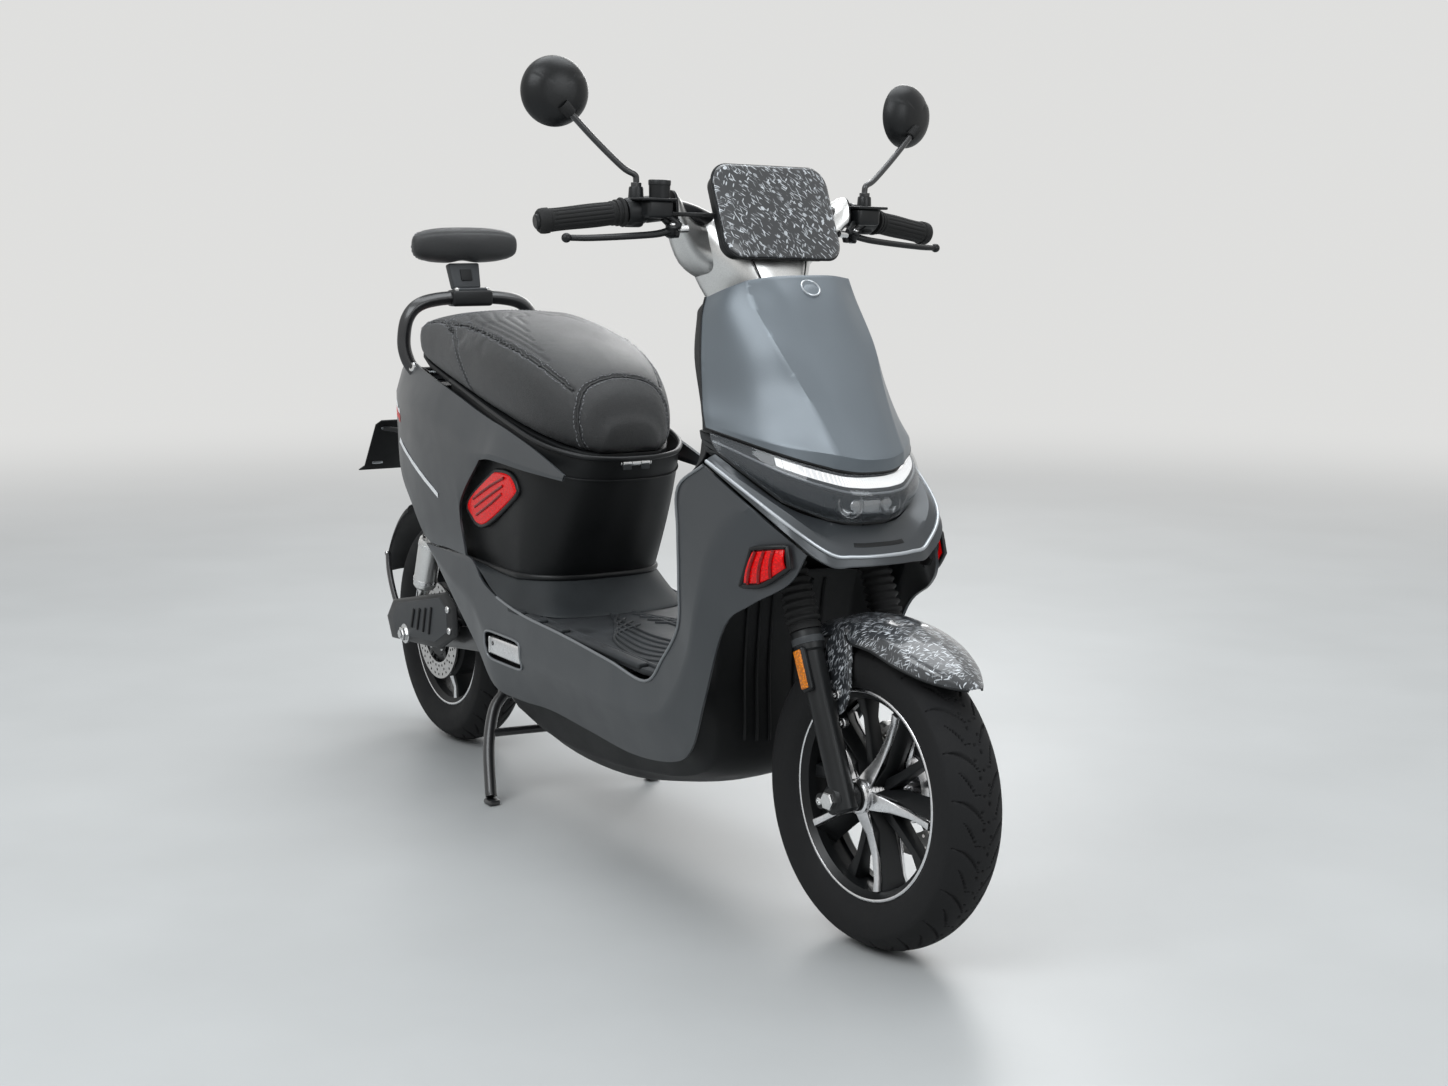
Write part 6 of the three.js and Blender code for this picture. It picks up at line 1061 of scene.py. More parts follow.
def panel_grid():
    """Fine rows of the left side panel, worked out once"""
    if not PANEL_GRID:
        PANEL_GRID.extend(smooth_grid(places(PANEL_COLUMNS), 12, 12, PANEL_CORNERS, (1,)))
    return PANEL_GRID


def on_panel(x, z, side):
    """The place on the rear side panel over (x, z), a hair proud of it"""
    target = at(x, 0, z)
    spots = (p for row in panel_grid() for p in row)
    best = min(spots, key=lambda p: (p.x - target.x) ** 2 + (p.z - target.z) ** 2)
    return Vector((target.x, side * (best.y + PROUD), target.z))


def tub():
    """The tub that the seat closes, with its rim, crease and foot"""
    low = [(-420, 0), (-420, 118), (-200, 125), (-150, 119), (-112, 88), (-98, 45), (-97, 0)]
    top = [(-420, 0), (-420, 122), (-200, 128), (-80, 122), (-16, 88), (6, 45), (10, 0)]
    rings = []
    for k in range(9):
        share = k / 8
        bulge = math.sin(share * math.pi) * 4
        half = []
        for (lx, ly), (tx, ty) in zip(low, top):
            x, y = lx + (tx - lx) * share, ly + (ty - ly) * share
            grow = bulge / 100 if x > -230 else 0
            z = 386 + share * (590.5 - 0.23 * x - 386)
            half.append(at(x + (bulge if x > -160 else 0), y * (1 + grow), z))
        outline = half[1:-1] + [half[-1]] + [Vector((p.x, -p.y, p.z)) for p in reversed(half[1:-1])]
        line = smooth_line(outline, 6)
        rings.append(line)
    obj = sheet("tub_skin", rings, PLASTIC_BLACK, (1, 0, 0), THIN_WALL, round_to=0.001)
    seat_on(obj, "chassis", "seat_tub")
    rim = [p + Vector((0, 0, 0.001)) for p in rings[-1]]
    seat_on(sweep("tub_rim", rim, 0.0042, PLASTIC_SATIN, sides=12), "chassis")
    crease = [
        p.lerp(q, 0.5) + (p - at(-200, 0, 500)).normalized() * 0.001 for p, q in zip(rings[6], rings[7])
    ]
    seat_on(sweep("tub_line", crease, 0.0016, PLASTIC_SATIN, sides=8), "chassis")
    foot = [p + Vector((0, 0, 0.004)) for p in rings[0]]
    seat_on(sweep("tub_foot", foot, 0.006, PLASTIC_SATIN, sides=12), "chassis")


def deck():
    """Black deck that rises from the floor mat to the foot of the tub"""
    rows = smooth_grid([both_sides(row) for row in places(DECK_ROWS)], 6, 6)
    seat_on(sheet("deck_skin", rows, PLASTIC_DECK, (0, 0, 1), THIN_WALL, round_to=0.001), "chassis")


def mat_height(x):
    """Height of the sloping floor mat"""
    return 330 - 18 * (x + 188.6) / 498.4 + 12


def foot_mat():
    """Rubber mat with raised curves, rails and lugs"""
    half = [(362, 0), (352, 100), (318, 142), (290, 148), (-90, 146), (-166, 143), (-166, 0)]
    line = []
    for x, y in half[1:-1]:
        line.append(at(x, y, mat_height(x) - 12.3))
    outline = line + mirrored(list(reversed(line)))
    base = slab("mat_base", outline, (0, 0, 0.010), MAT_RUBBER, 0.003)
    seat_on(base, "chassis", "floor_mat")

    def raised(name, spots, radius):
        path = smooth_line([at(x, y, mat_height(x) - 1.6) for x, y in spots], 8)
        seat_on(sweep(name, path, radius, MAT_RUBBER, sides=10), "chassis")

    for k in range(6):
        for side in (-1, 1):
            reach = 118 - 17 * k
            spots = [
                (312 - 20 * k, side * 4), (300 - 22 * k, side * reach * 0.5), (250 - 24 * k, side * reach),
                (170 - 22 * k, side * reach * 0.98), (90 - 22 * k, side * (reach * 0.72)),
                (40 - 24 * k, side * 14)
            ]
            raised(f"mat_curve_{k}_{TAGS[side]}", spots, 0.0026)
    for side, tag in TAGS.items():
        raised(f"mat_rail_{tag}", [(322, side * 129), (150, side * 131), (-60, side * 131)], 0.0042)
        for k, (front, back) in enumerate(((286, 60), (40, -14), (-36, -88), (-104, -150))):
            middle = (front + back) / 2
            length = (front - back) / 1000
            slope = Matrix.Rotation(math.atan(18 / 498.4), 4, "Y")
            spot = at(middle, side * 143, mat_height(middle) - 1)
            lug = block(f"mat_lug_{tag}_{k}", spot, (length, 0.018, 0.009), MAT_RUBBER, 0.0035, turn=slope)
            seat_on(lug, "chassis")


def panels():
    cowl()
    cowl_badge()
    headlamp()
    front_apron()
    leg_shield()
    belly()
    for label, side in SIDES.items():
        fairing(side, label)
        side_panel(side, label)
        decal(side, label)
    tub()
    deck()
    foot_mat()


panels()


# Wheels
SPOKE_PHASE = 66
HUB_HALF = 0.046
MOTOR_HALF = 0.044
DISC_RADIUS = 0.090
DISC_INNER = 0.060
DISC_THICK = 0.004
HOLE_RADIUS = 0.0026
TYRE_STEPS = 900
CROWN_STEPS = 23
TREAD_REPEATS = 20
TREAD_DEPTH = 0.0034
TREAD_FROM = 0.188
# Grooves: place in the repeat, where they begin and end across the half width, their lean and their curve
TREAD_LINES = ((0.10, 0.10, 0.92, 0.95, -0.45), (0.62, 0.30, 0.70, 0.75, -0.2), (0.40, 0.02, 0.24, 1.4, 0))


def wheel_spot(centre, radius, angle, out):
    """A place by its radius and angle round an axle"""
    turn = math.radians(angle)
    return Vector((centre.x + radius * math.cos(turn), out, centre.z + radius * math.sin(turn)))


def tread_cut(share, turn):
    """How deep, from 0 to 1, the tread is cut at a share of the half width and a place round the wheel"""
    side = 1 if share > 0 else -1
    out = abs(share)
    place = (turn * TREAD_REPEATS / (2 * math.pi) + (0.5 if side > 0 else 0)) % 1
    best = 0
    for start, low, high, lean, curve in TREAD_LINES:
        if not low < out < high:
            continue
        along = (out - low) / (high - low)
        line = start + lean * along + curve * along * along
        away = abs((place - line + 0.5) % 1 - 0.5)
        width = 0.05 * (0.35 + 0.65 * math.sin(math.pi * min(1, along * 1.15)) if along < 0.87 else 0.4)
        best = max(best, min(1, max(0, (width - away) / 0.022)))
    return best


def tyre(name, centre, body, node, place):
    """A tyre with a cut tread and two ridges on each wall"""
    outer = [(0, 0.70), (0.05, 0.76), (0.14, 0.86), (0.25, 0.935), (0.38, 0.975), (0.5, 0.985), (0.6, 0.975)]
    profile = [
        (RIM_RADIUS + 0.0005 + (WHEEL_RADIUS - RIM_RADIUS - 0.0005) * r, TYRE_HALF * y) for r, y in outer
    ]
    tread = []
    for k in range(CROWN_STEPS + 1):
        angle = math.radians(18 + (90 - 18) * k / CROWN_STEPS)
        tread.append((0.1815 + 0.0265 * math.sin(angle) ** 1.35, 0.0455 * math.cos(angle)))
    half = profile + tread
    whole = half + [(r, -y) for r, y in reversed(half[:-1])]
    verts = []
    for j in range(TYRE_STEPS):
        turn = 2 * math.pi * j / TYRE_STEPS
        for r, y in whole:
            share = y / TYRE_HALF
            cut = tread_cut(share, turn) * TREAD_DEPTH if r > TREAD_FROM else 0
            verts.append(wheel_spot(centre, r - cut, math.degrees(turn), y))
    faces = grid_faces(TYRE_STEPS, len(whole), True, False)
    obj = make(name, verts, faces, TYRE, sharp=42)
    place(obj, body, node)
    for side in (-1, 1):
        for r in (0.1515, 0.1665):
            line = [
                wheel_spot(centre, r, 360 * k / 120, side * (0.0405 if r > 0.16 else 0.0372))
                for k in range(120)
            ]
            ridge = sweep(
                f"{name}_ridge_{TAGS[side]}_{round(r * 1e4)}", line, 0.0011, TYRE, sides=6, closed=True
            )
            place(ridge, body)


def rim_barrel(name, centre, body, place, *nodes):
    """The barrel of a rim, with machined lips"""
    half = [(-RIM_HALF, 0.1412), (-0.0295, 0.1412), (-0.026, 0.134), (-0.012, 0.1305)]
    under = [(-0.012, 0.1265), (-0.024, 0.1285), (-0.0285, 0.1335), (-RIM_HALF, 0.1365)]
    outside = half + [(-a, r) for a, r in reversed(half)]
    inside = [(-a, r) for a, r in under] + list(reversed(under))
    obj = lathe(name, outside + inside, centre, Y_AXIS, PLASTIC_SATIN, count=128, sharp=30)
    place(obj, body, *nodes)
    for side in (-1, 1):
        lip = [
            (side * 0.0318, 0.1368), (side * 0.0323, 0.1374), (side * 0.0323, 0.1400),
            (side * 0.0316, 0.1408)
        ]
        ring = lathe(f"{name}_lip_{TAGS[side]}", lip, centre, Y_AXIS, MACHINED, count=128, sharp=50)
        place(ring, body)


def blade(centre, angle, side, levels):
    """Rings of a spoke: (radius, back out, front out, half width in front, half width behind, lean)"""
    rings = []
    for radius, back, front, near, far, lean in levels:
        ring = []
        for across, out in ((-near, front), (near, front), (far + lean, back), (-far + lean, back)):
            turn = angle + math.degrees(math.atan2(across, radius))
            ring.append(wheel_spot(centre, math.hypot(radius, across), turn, side * out))
        rings.append(ring)
    return rings


def front_wheel():
    """Tyre, rim, hub, split spokes and rotor of the front wheel"""
    tyre("front_tyre_tread", FRONT_AXLE, "front_wheel", "front_tyre", steered)
    rim_barrel("front_barrel", FRONT_AXLE, "front_wheel", steered, "front_rim")
    hub = []
    for k in range(6):
        hub += [(-HUB_HALF + 0.006 + 0.006 * k, 0.0235), (-HUB_HALF + 0.0085 + 0.006 * k, 0.0215)]
    hub = [
        (-HUB_HALF + 0.001, 0.0095), (-HUB_HALF + 0.001, 0.0205), (-HUB_HALF + 0.003, 0.0235), *hub,
        (0.030, 0.026), (0.030, 0.046), (0.0455, 0.046), (0.0455, 0.0095)
    ]
    steered(lathe("front_hub", hub, FRONT_AXLE, Y_AXIS, MACHINED, count=72, sharp=24), "front_wheel")
    seal = [
        (-HUB_HALF - 0.0002, 0.0088), (-HUB_HALF - 0.0002, 0.0185), (-HUB_HALF + 0.0015, 0.0195),
        (-HUB_HALF + 0.0015, 0.0088)
    ]
    steered(lathe("front_seal", seal, FRONT_AXLE, Y_AXIS, RUBBER, count=48), "front_wheel")
    for k in range(5):
        front_spoke(k)
    brake_disc("front_rotor", FRONT_AXLE, HUB_HALF + 0.0003, "front_wheel", "front_disc", steered)


def front_spoke(k):
    """One split spoke: machined blades on dark webs, and a dark arm between"""
    angle = SPOKE_PHASE + 72 * k
    for side, tag in TAGS.items():
        top = 0.038 if side < 0 else 0.029
        face = [
            (0.021, top - 0.006, top, 0.0125, 0.0125, 0),
            (0.034, top - 0.008, top - 0.004, 0.0105, 0.011, 0),
            (0.052, top - 0.012, 0.0265, 0.0062, 0.008, 0), (0.085, 0.018, 0.0235, 0.0042, 0.006, 0),
            (0.112, 0.0185, 0.0245, 0.0040, 0.006, 0), (0.1275, 0.022, 0.0275, 0.0046, 0.0065, 0)
        ]
        strip = loft(
            f"front_blade_{k}_{tag}", blade(FRONT_AXLE, angle, side, face), MACHINED, round_to=0.0008,
            sharp=30
        )
        steered(strip, "front_wheel")
        web = [
            (0.022, 0, top - 0.007, 0.011, 0.016, 0), (0.050, 0, 0.0155, 0.0065, 0.017, 0.003),
            (0.085, 0, 0.0178, 0.005, 0.019, 0.006), (0.112, 0, 0.018, 0.005, 0.021, 0.008),
            (0.131, 0, 0.0215, 0.0065, 0.024, 0.009)
        ]
        wing = loft(
            f"front_web_{k}_{tag}", blade(FRONT_AXLE, angle, side, web), PLASTIC_SATIN, round_to=0.0014,
            sharp=30
        )
        steered(wing, "front_wheel")
    split = [(0.024, -0.014, 0.014, 0.008, 0.008, 0), (0.06, -0.011, 0.011, 0.006, 0.006, 0),
             (0.1, -0.009, 0.009, 0.0055, 0.0055, 0), (0.131, -0.014, 0.014, 0.010, 0.010, 0)]
    arm = loft(
        f"front_arm_{k}", blade(FRONT_AXLE, angle + 40, 1, split), PLASTIC_SATIN, round_to=0.0016, sharp=30
    )
    steered(arm, "front_wheel")


def brake_disc(name, centre, start, body, node, place):
    """A disc with rows of holes, on a spider with five arms"""
    face = start + DISC_THICK
    ring = [(start, DISC_INNER), (start, DISC_RADIUS), (face, DISC_RADIUS), (face, DISC_INNER)]
    obj = lathe(name, ring, centre, Y_AXIS, DISC_STEEL, count=96)
    cutter = disc_holes(name, centre, start)
    drill = obj.modifiers.new("drill", "BOOLEAN")
    drill.operation = "DIFFERENCE"
    drill.solver = "FAST"
    drill.object = cutter
    finish_mesh(obj, 30)
    bpy.data.objects.remove(cutter)
    place(obj, body, node)
    disc_spider(name, centre, start, body, place)


def disc_holes(name, centre, start):
    """Rows of round holes, as one cutter"""
    verts, faces = [], []
    for k in range(30):
        for row, radius in enumerate((0.0665, 0.0745, 0.0825)):
            if row == 1 and k % 2:
                continue
            spot = wheel_spot(centre, radius, 12 * k + 5 * row, start)
            low = circle(spot - Y_AXIS * 0.002, X_AXIS, Z_AXIS, HOLE_RADIUS, 10)
            high = circle(spot + Y_AXIS * 0.006, X_AXIS, Z_AXIS, HOLE_RADIUS, 10)
            first = len(verts)
            verts += low + high
            faces += [tuple(range(first, first + 10)), tuple(range(first + 19, first + 9, -1))]
            faces += [
                (first + j, first + (j + 1) % 10, first + 10 + (j + 1) % 10, first + 10 + j)
                for j in range(10)
            ]
    return make(f"{name}_holes", verts, faces, DISC_STEEL)


def disc_spider(name, centre, start, body, place):
    """The carrier of a disc and its five arms, each with a screw"""
    carrier = [
        (start + 0.0005, 0.0325), (start + 0.0005, 0.047), (start + DISC_THICK - 0.0005, 0.047),
        (start + DISC_THICK - 0.0005, 0.0325)
    ]
    place(lathe(f"{name}_carrier", carrier, centre, Y_AXIS, PLASTIC_SATIN, count=48), body)
    for k in range(5):
        arms = [
            (0.044, start + 0.0008, start + DISC_THICK - 0.0008, 0.008, 0.008, 0),
            (0.064, start + 0.0008, start + DISC_THICK - 0.0008, 0.005, 0.005, 0)
        ]
        arm = loft(f"{name}_arm_{k}", blade(centre, 72 * k + 20, 1, arms), PLASTIC_SATIN, round_to=0.0006)
        place(arm, body)
        spot = wheel_spot(centre, 0.040, 72 * k + 20, start + (DISC_THICK if start > 0 else 0))
        screw(
            f"{name}_bolt_{k}", spot, Y_AXIS if start > 0 else -Y_AXIS, 0.0042, body, height=0.003,
            place=place
        )


def rear_wheel():
    """Tyre, rim, hub motor, spokes and rotor of the rear wheel"""
    tyre("rear_tyre_tread", REAR_AXLE, "rear_wheel", "rear_tyre", seat_on)
    rim_barrel("rear_barrel", REAR_AXLE, "rear_wheel", seat_on, "rear_rim")
    motor = [(-MOTOR_HALF, 0.009), (-MOTOR_HALF, 0.050), (-0.040, 0.058), (-0.036, 0.082), (-0.030, 0.0875)]
    motor = motor + [(-a, r) for a, r in reversed(motor)]
    seat_on(lathe("motor_shell", motor, REAR_AXLE, Y_AXIS, PLASTIC_SATIN, count=96, sharp=24), "rear_wheel")
    for k in range(24):
        for side in (-1, 1):
            inner = wheel_spot(REAR_AXLE, 0.060, 15 * k, side * 0.0397)
            outer = wheel_spot(REAR_AXLE, 0.080, 15 * k, side * 0.0372)
            fin = sweep(f"motor_fin_{k}_{TAGS[side]}", [inner, outer], 0.0014, PLASTIC_SATIN, sides=8)
            seat_on(fin, "rear_wheel")
    for k in range(5):
        levels = [
            (0.084, -0.028, 0.028, 0.015, 0.015, 0), (0.108, -0.023, 0.023, 0.011, 0.011, 0),
            (0.131, -0.025, 0.025, 0.013, 0.013, 0)
        ]
        arm = loft(
            f"rear_spoke_{k}", blade(REAR_AXLE, SPOKE_PHASE + 72 * k, 1, levels), PLASTIC_SATIN,
            round_to=0.002
        )
        seat_on(arm, "rear_wheel")
        for side in (-1, 1):
            face = [
                (0.086, 0.0275, 0.0288, 0.008, 0.008, 0), (0.108, 0.0225, 0.0238, 0.005, 0.005, 0),
                (0.1285, 0.0248, 0.0258, 0.006, 0.006, 0)
            ]
            strip = loft(
                f"rear_face_{k}_{TAGS[side]}", blade(REAR_AXLE, SPOKE_PHASE + 72 * k, side, face), MACHINED
            )
            seat_on(strip, "rear_wheel")
    brake_disc("rear_rotor", REAR_AXLE, -MOTOR_HALF - 0.0043, "rear_wheel", "rear_disc", seat_on)


# Front fork
AXLE_ALONG = 0.2197
LEG_AHEAD = 0.0259
LEG_OUT = 0.070
LEG_TOP = AXLE_ALONG + 0.226
BELLOWS_LENGTH = 0.116
CALIPER_RADIUS = 0.080
FRONT_CALIPER_TURN = 150


def fork_spot(along, out, ahead):
    """A place on the fork, along its axis, out to the side and ahead"""
    return AXIS_FOOT + AXIS_UP * along + Vector((0, out, 0)) + AXIS_AHEAD * ahead


def steered(obj, body, *nodes, slot=None):
    """Seats a piece drawn straight ahead, turned to where the steering rests"""
    transform(obj, STEER)
    seat_on(obj, body, *nodes, slot=slot)


def fork_leg(side, label):
    """A sliding leg, with its collar, axle boss and pinch bolt"""
    foot = fork_spot(0, side * LEG_OUT, LEG_AHEAD)
    levels = [
        (AXLE_ALONG - 0.020, 0.0125), (AXLE_ALONG - 0.016, 0.0162), (AXLE_ALONG + 0.05, 0.0168),
        (AXLE_ALONG + 0.14, 0.0172), (LEG_TOP - 0.030, 0.0176), (LEG_TOP - 0.027, 0.0205),
        (LEG_TOP - 0.003, 0.0210), (LEG_TOP - 0.0008, 0.0200)
    ]
    leg = lathe(f"fork_leg_{label}", levels, foot, AXIS_UP, PLASTIC_SATIN, count=48, closed=False, sharp=28)
    steered(leg, "fork_slider", f"fork_lower_{label}")
    ring = [
        (LEG_TOP - 0.019, 0.0213), (LEG_TOP - 0.017, 0.0218), (LEG_TOP - 0.012, 0.0218),
        (LEG_TOP - 0.010, 0.0213)
    ]
    steered(
        lathe(f"fork_collar_{label}", ring, foot, AXIS_UP, PLASTIC_GREY, count=48), "fork_slider",
        slot="black_plastic"
    )
    boss = [
        (side * 0.0475, 0.012), (side * 0.0475, 0.0175), (side * 0.052, 0.0195), (side * 0.083, 0.0195),
        (side * 0.0865, 0.016), (side * 0.0865, 0.012)
    ]
    lug = lathe(
        f"axle_boss_{label}", boss, FRONT_AXLE, Y_AXIS, PLASTIC_SATIN, count=40, closed=False, sharp=28
    )
    steered(lug, "fork_slider")
    nut = lathe(
        f"axle_nut_{label}",
        [
            (side * 0.086, TIP), (side * 0.086, 0.0125), (side * 0.0925, 0.0125), (side * 0.094, 0.011),
            (side * 0.094, TIP)
        ],
        FRONT_AXLE, Y_AXIS, BRIGHT_STEEL, count=6, closed=False, sharp=20
    )
    steered(nut, "fork_slider")
    back = fork_spot(AXLE_ALONG + 0.004, side * 0.071, LEG_AHEAD - 0.032)
    pinch = lathe(
        f"pinch_boss_{label}", [(-0.013, 0.006), (-0.013, 0.0105), (0.013, 0.0105), (0.013, 0.006)], back,
        Y_AXIS, PLASTIC_SATIN, count=28, closed=False, sharp=28
    )
    steered(pinch, "fork_slider")
    web = block(
        f"pinch_web_{label}", fork_spot(AXLE_ALONG + 0.002, side * 0.071, LEG_AHEAD - 0.018),
        (0.030, 0.022, 0.022), PLASTIC_SATIN, 0.004, turn=Matrix.Rotation(-CASTER, 4, "Y")
    )
    steered(web, "fork_slider")
    screw(
        f"pinch_bolt_{label}", back + Vector((0, side * 0.013, 0)), (0, side, 0), 0.0055, "fork_slider",
        place=steered
    )
    bellow(side, label)


def bellow(side, label):
    """A folded gaiter between the leg and the crown"""
    start = LEG_TOP + 0.0003
    folds = 9
    pitch = (BELLOWS_LENGTH - 0.020) / folds
    outer = [(start, 0.0158), (start, 0.0212), (start + 0.008, 0.0212), (start + 0.009, 0.0195)]
    for k in range(folds):
        low = start + 0.009 + pitch * k
        grow = 0.0238 - 0.0022 * k / folds
        outer += [
            (low + pitch * 0.18, 0.0188), (low + pitch * 0.42, grow - 0.0006), (low + pitch * 0.55, grow),
            (low + pitch * 0.68, grow - 0.0006), (low + pitch * 0.95, 0.0188)
        ]
    top = start + BELLOWS_LENGTH
    outer += [(top - 0.010, 0.0185), (top - 0.009, 0.0200), (top - 0.0004, 0.0200), (top - 0.0004, 0.0150)]
    obj = lathe(
        f"bellow_skin_{label}", outer, fork_spot(0, side * LEG_OUT, LEG_AHEAD), AXIS_UP, RUBBER, count=56,
        sharp=60
    )
    transform(obj, STEER)
    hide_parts(f"bellows_{label}")
    low = STEER @ fork_spot(LEG_TOP + 0.004, side * LEG_OUT, LEG_AHEAD)
    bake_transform(obj)


def front_fork():
    """Both legs, the axle pin, the reflectors and the caliper"""
    for label, side in SIDES.items():
        fork_leg(side, label)
    pin = lathe(
        "axle_pin", [(-0.060, TIP), (-0.060, 0.0078), (0.060, 0.0078), (0.060, TIP)], FRONT_AXLE, Y_AXIS,
        BRIGHT_STEEL, count=28, closed=False
    )
    steered(pin, "fork_slider")
    for label, side in SIDES.items():
        low = fork_spot(LEG_TOP - 0.052, side * (LEG_OUT + 0.0175), LEG_AHEAD + 0.004)
        turn = Matrix.Rotation(-CASTER, 4, "Y")
        holder = block(
            f"reflector_back_{label}", low + Vector((0, side * 0.002, 0)), (0.021, 0.010, 0.060),
            PLASTIC_SATIN, 0.0045, turn=turn
        )
        steered(holder, "fork_slider")
        amber = block(
            f"reflector_{label}", low + Vector((0, side * 0.0072, 0)), (0.0145, 0.004, 0.052), AMBER,
            0.0019, turn=turn
        )
        steered(amber, "fork_slider")
    front_caliper()


def front_caliper():
    """Brake caliper on the left leg"""
    spot = wheel_spot(FRONT_AXLE, CALIPER_RADIUS, FRONT_CALIPER_TURN, 0.0655)
    turn = Matrix.Rotation(-math.radians(FRONT_CALIPER_TURN), 4, "Y")
    outer = block(
        "caliper_outer", spot + Vector((0, -0.0005, 0)), (0.048, 0.026, 0.062), CAST_SILVER, 0.007,
        turn=turn
    )
    steered(outer, "fork_slider", slot="black_plastic")
    inner = block(
        "caliper_inner", spot - Vector((0, 0.0255, 0)), (0.036, 0.010, 0.050), CAST_SILVER, 0.004, turn=turn
    )
    steered(inner, "fork_slider", slot="black_plastic")
    for k in (-1, 1):
        head = spot + turn @ Vector((0.002, 0, 0.018 * k)) + Vector((0, 0.0125, 0))
        screw(f"caliper_bolt_{k + 1}", head, (0, 1, 0), 0.0062, "fork_slider", place=steered)


def fender():
    """Front fender with its beads and brackets"""
    rings = ((122, 1.172, 0.6), (114, 1.158, 0.50), (99, 1.149, 0.52), (90, 1.15, 0.69), (78, 1.155, 0.69),
             (66, 1.165, 0.66), (55, 1.18, 0.52), (48, 1.195, 0.32), (44, 1.205, 0.12))
    cross = (
        (-1, 0.86), (-0.93, 0.90), (-0.8, 0.945), (-0.42, 0.985), (-0.06, 1.0), (0.06, 1.0), (0.42, 0.985),
        (0.8, 0.945), (0.93, 0.90), (1, 0.86)
    )
    rows = []
    for angle, crown, width in rings:
        row = []
        for across, share in cross:
            drop = 1 - (1 - share) * min(1, width * 1.5)
            row.append(
                wheel_spot(FRONT_AXLE, crown * WHEEL_RADIUS * drop, angle, across * width * 2 * TYRE_HALF)
            )
        rows.append(row)
    grid = smooth_grid(rows, 8, 5, (), (3, 6))
    skin = sheet("fender_skin", grid, FORGED, (0.4, 0, 1), 0.0028, round_to=0.0009, sharp=24)
    steered(skin, "fork_slider", "front_fender")
    for row_index, tag in ((0, "r"), (-1, "l")):
        edge = [row[row_index] for row in grid]
        steered(sweep(f"fender_bead_{tag}", edge, 0.0017, PLASTIC_BLACK, sides=8), "fork_slider")
    for label, side in SIDES.items():
        def flat(along, ahead):
            return fork_spot(AXLE_ALONG + along, side * 0.0465, LEG_AHEAD + ahead)

        outline = [
            flat(0.112, -0.006), flat(0.110, 0.012), flat(0.124, 0.030), flat(0.150, 0.046),
            flat(0.206, 0.066), flat(0.212, 0.030), flat(0.190, -0.004), flat(0.140, -0.010)
        ]
        bracket = slab(
            f"fender_bracket_{label}", closed_line(outline, 5), (0, side * 0.003, 0), FORGED, 0.001
        )
        steered(bracket, "fork_slider")
        for k, along in enumerate((0.096, 0.134)):
            screw(
                f"fender_bolt_{label}_{k}", flat(along, 0.010) + Vector((0, side * 0.0035, 0)),
                (0, side, 0), 0.0068, "fork_slider", place=steered
            )


front_wheel()
rear_wheel()
front_fork()
fender()


# Handlebar, neck, panel, grips, levers and mirrors
BAR_RADIUS = 0.011
BAR_HALF = 0.332
BAR_BEND = 0.150
BAR_FORWARD = 0.020
BAR_RISE = 0.031
BAR_SWEEP = 0.030
BAR_DROP = 0.024
BAR_ALONG = 1.024
BAR_MIDDLE = AXIS_FOOT + AXIS_UP * BAR_ALONG + AXIS_AHEAD * 0.008
GRIP_FROM = 0.214
GRIP_RADIUS = 0.016
PANEL_HALF_WIDTH = 0.097
MIRROR_RADIUS = 0.047


def bar_spot(out):
    """A place on the straight outer part of the handlebar"""
    side = 1 if out > 0 else -1
    away = abs(out)
    bend = BAR_MIDDLE + Vector((BAR_FORWARD, side * BAR_BEND, BAR_RISE))
    share = (away - BAR_BEND) / (BAR_HALF - BAR_BEND)
    return Vector((bend.x - share * BAR_SWEEP, side * away, bend.z - share * BAR_DROP))


def bar_axis(side):
    """The direction of the bar end"""
    return (bar_spot(side * BAR_HALF) - bar_spot(side * BAR_BEND)).normalized()


def handlebar():
    """The bent bar and the sleeve under it"""
    line = [bar_spot(-BAR_HALF), bar_spot(-0.2)]
    for share in (-1, -0.72, -0.35, 0, 0.35, 0.72, 1):
        lift = math.sin(abs(share) * math.pi / 2) ** 2
        line.append(BAR_MIDDLE + Vector((BAR_FORWARD * lift, share * BAR_BEND, BAR_RISE * lift)))
    line += [bar_spot(0.2), bar_spot(BAR_HALF)]
    bar = sweep("bar_tube", smooth_line(line, 6), BAR_RADIUS, STEEL_BLACK, sides=28)
    steered(bar, "steering", "handlebar")
    sleeve = [
        (-0.052, 0.0160), (-0.052, 0.0195), (-0.050, 0.0200), (0.006, 0.0200), (0.008, 0.0190),
        (0.008, 0.0160)
    ]
    post = lathe("bar_sleeve", sleeve, AXIS_FOOT + AXIS_UP * BAR_ALONG, AXIS_UP, STEEL_BLACK, count=36)
    steered(post, "steering")


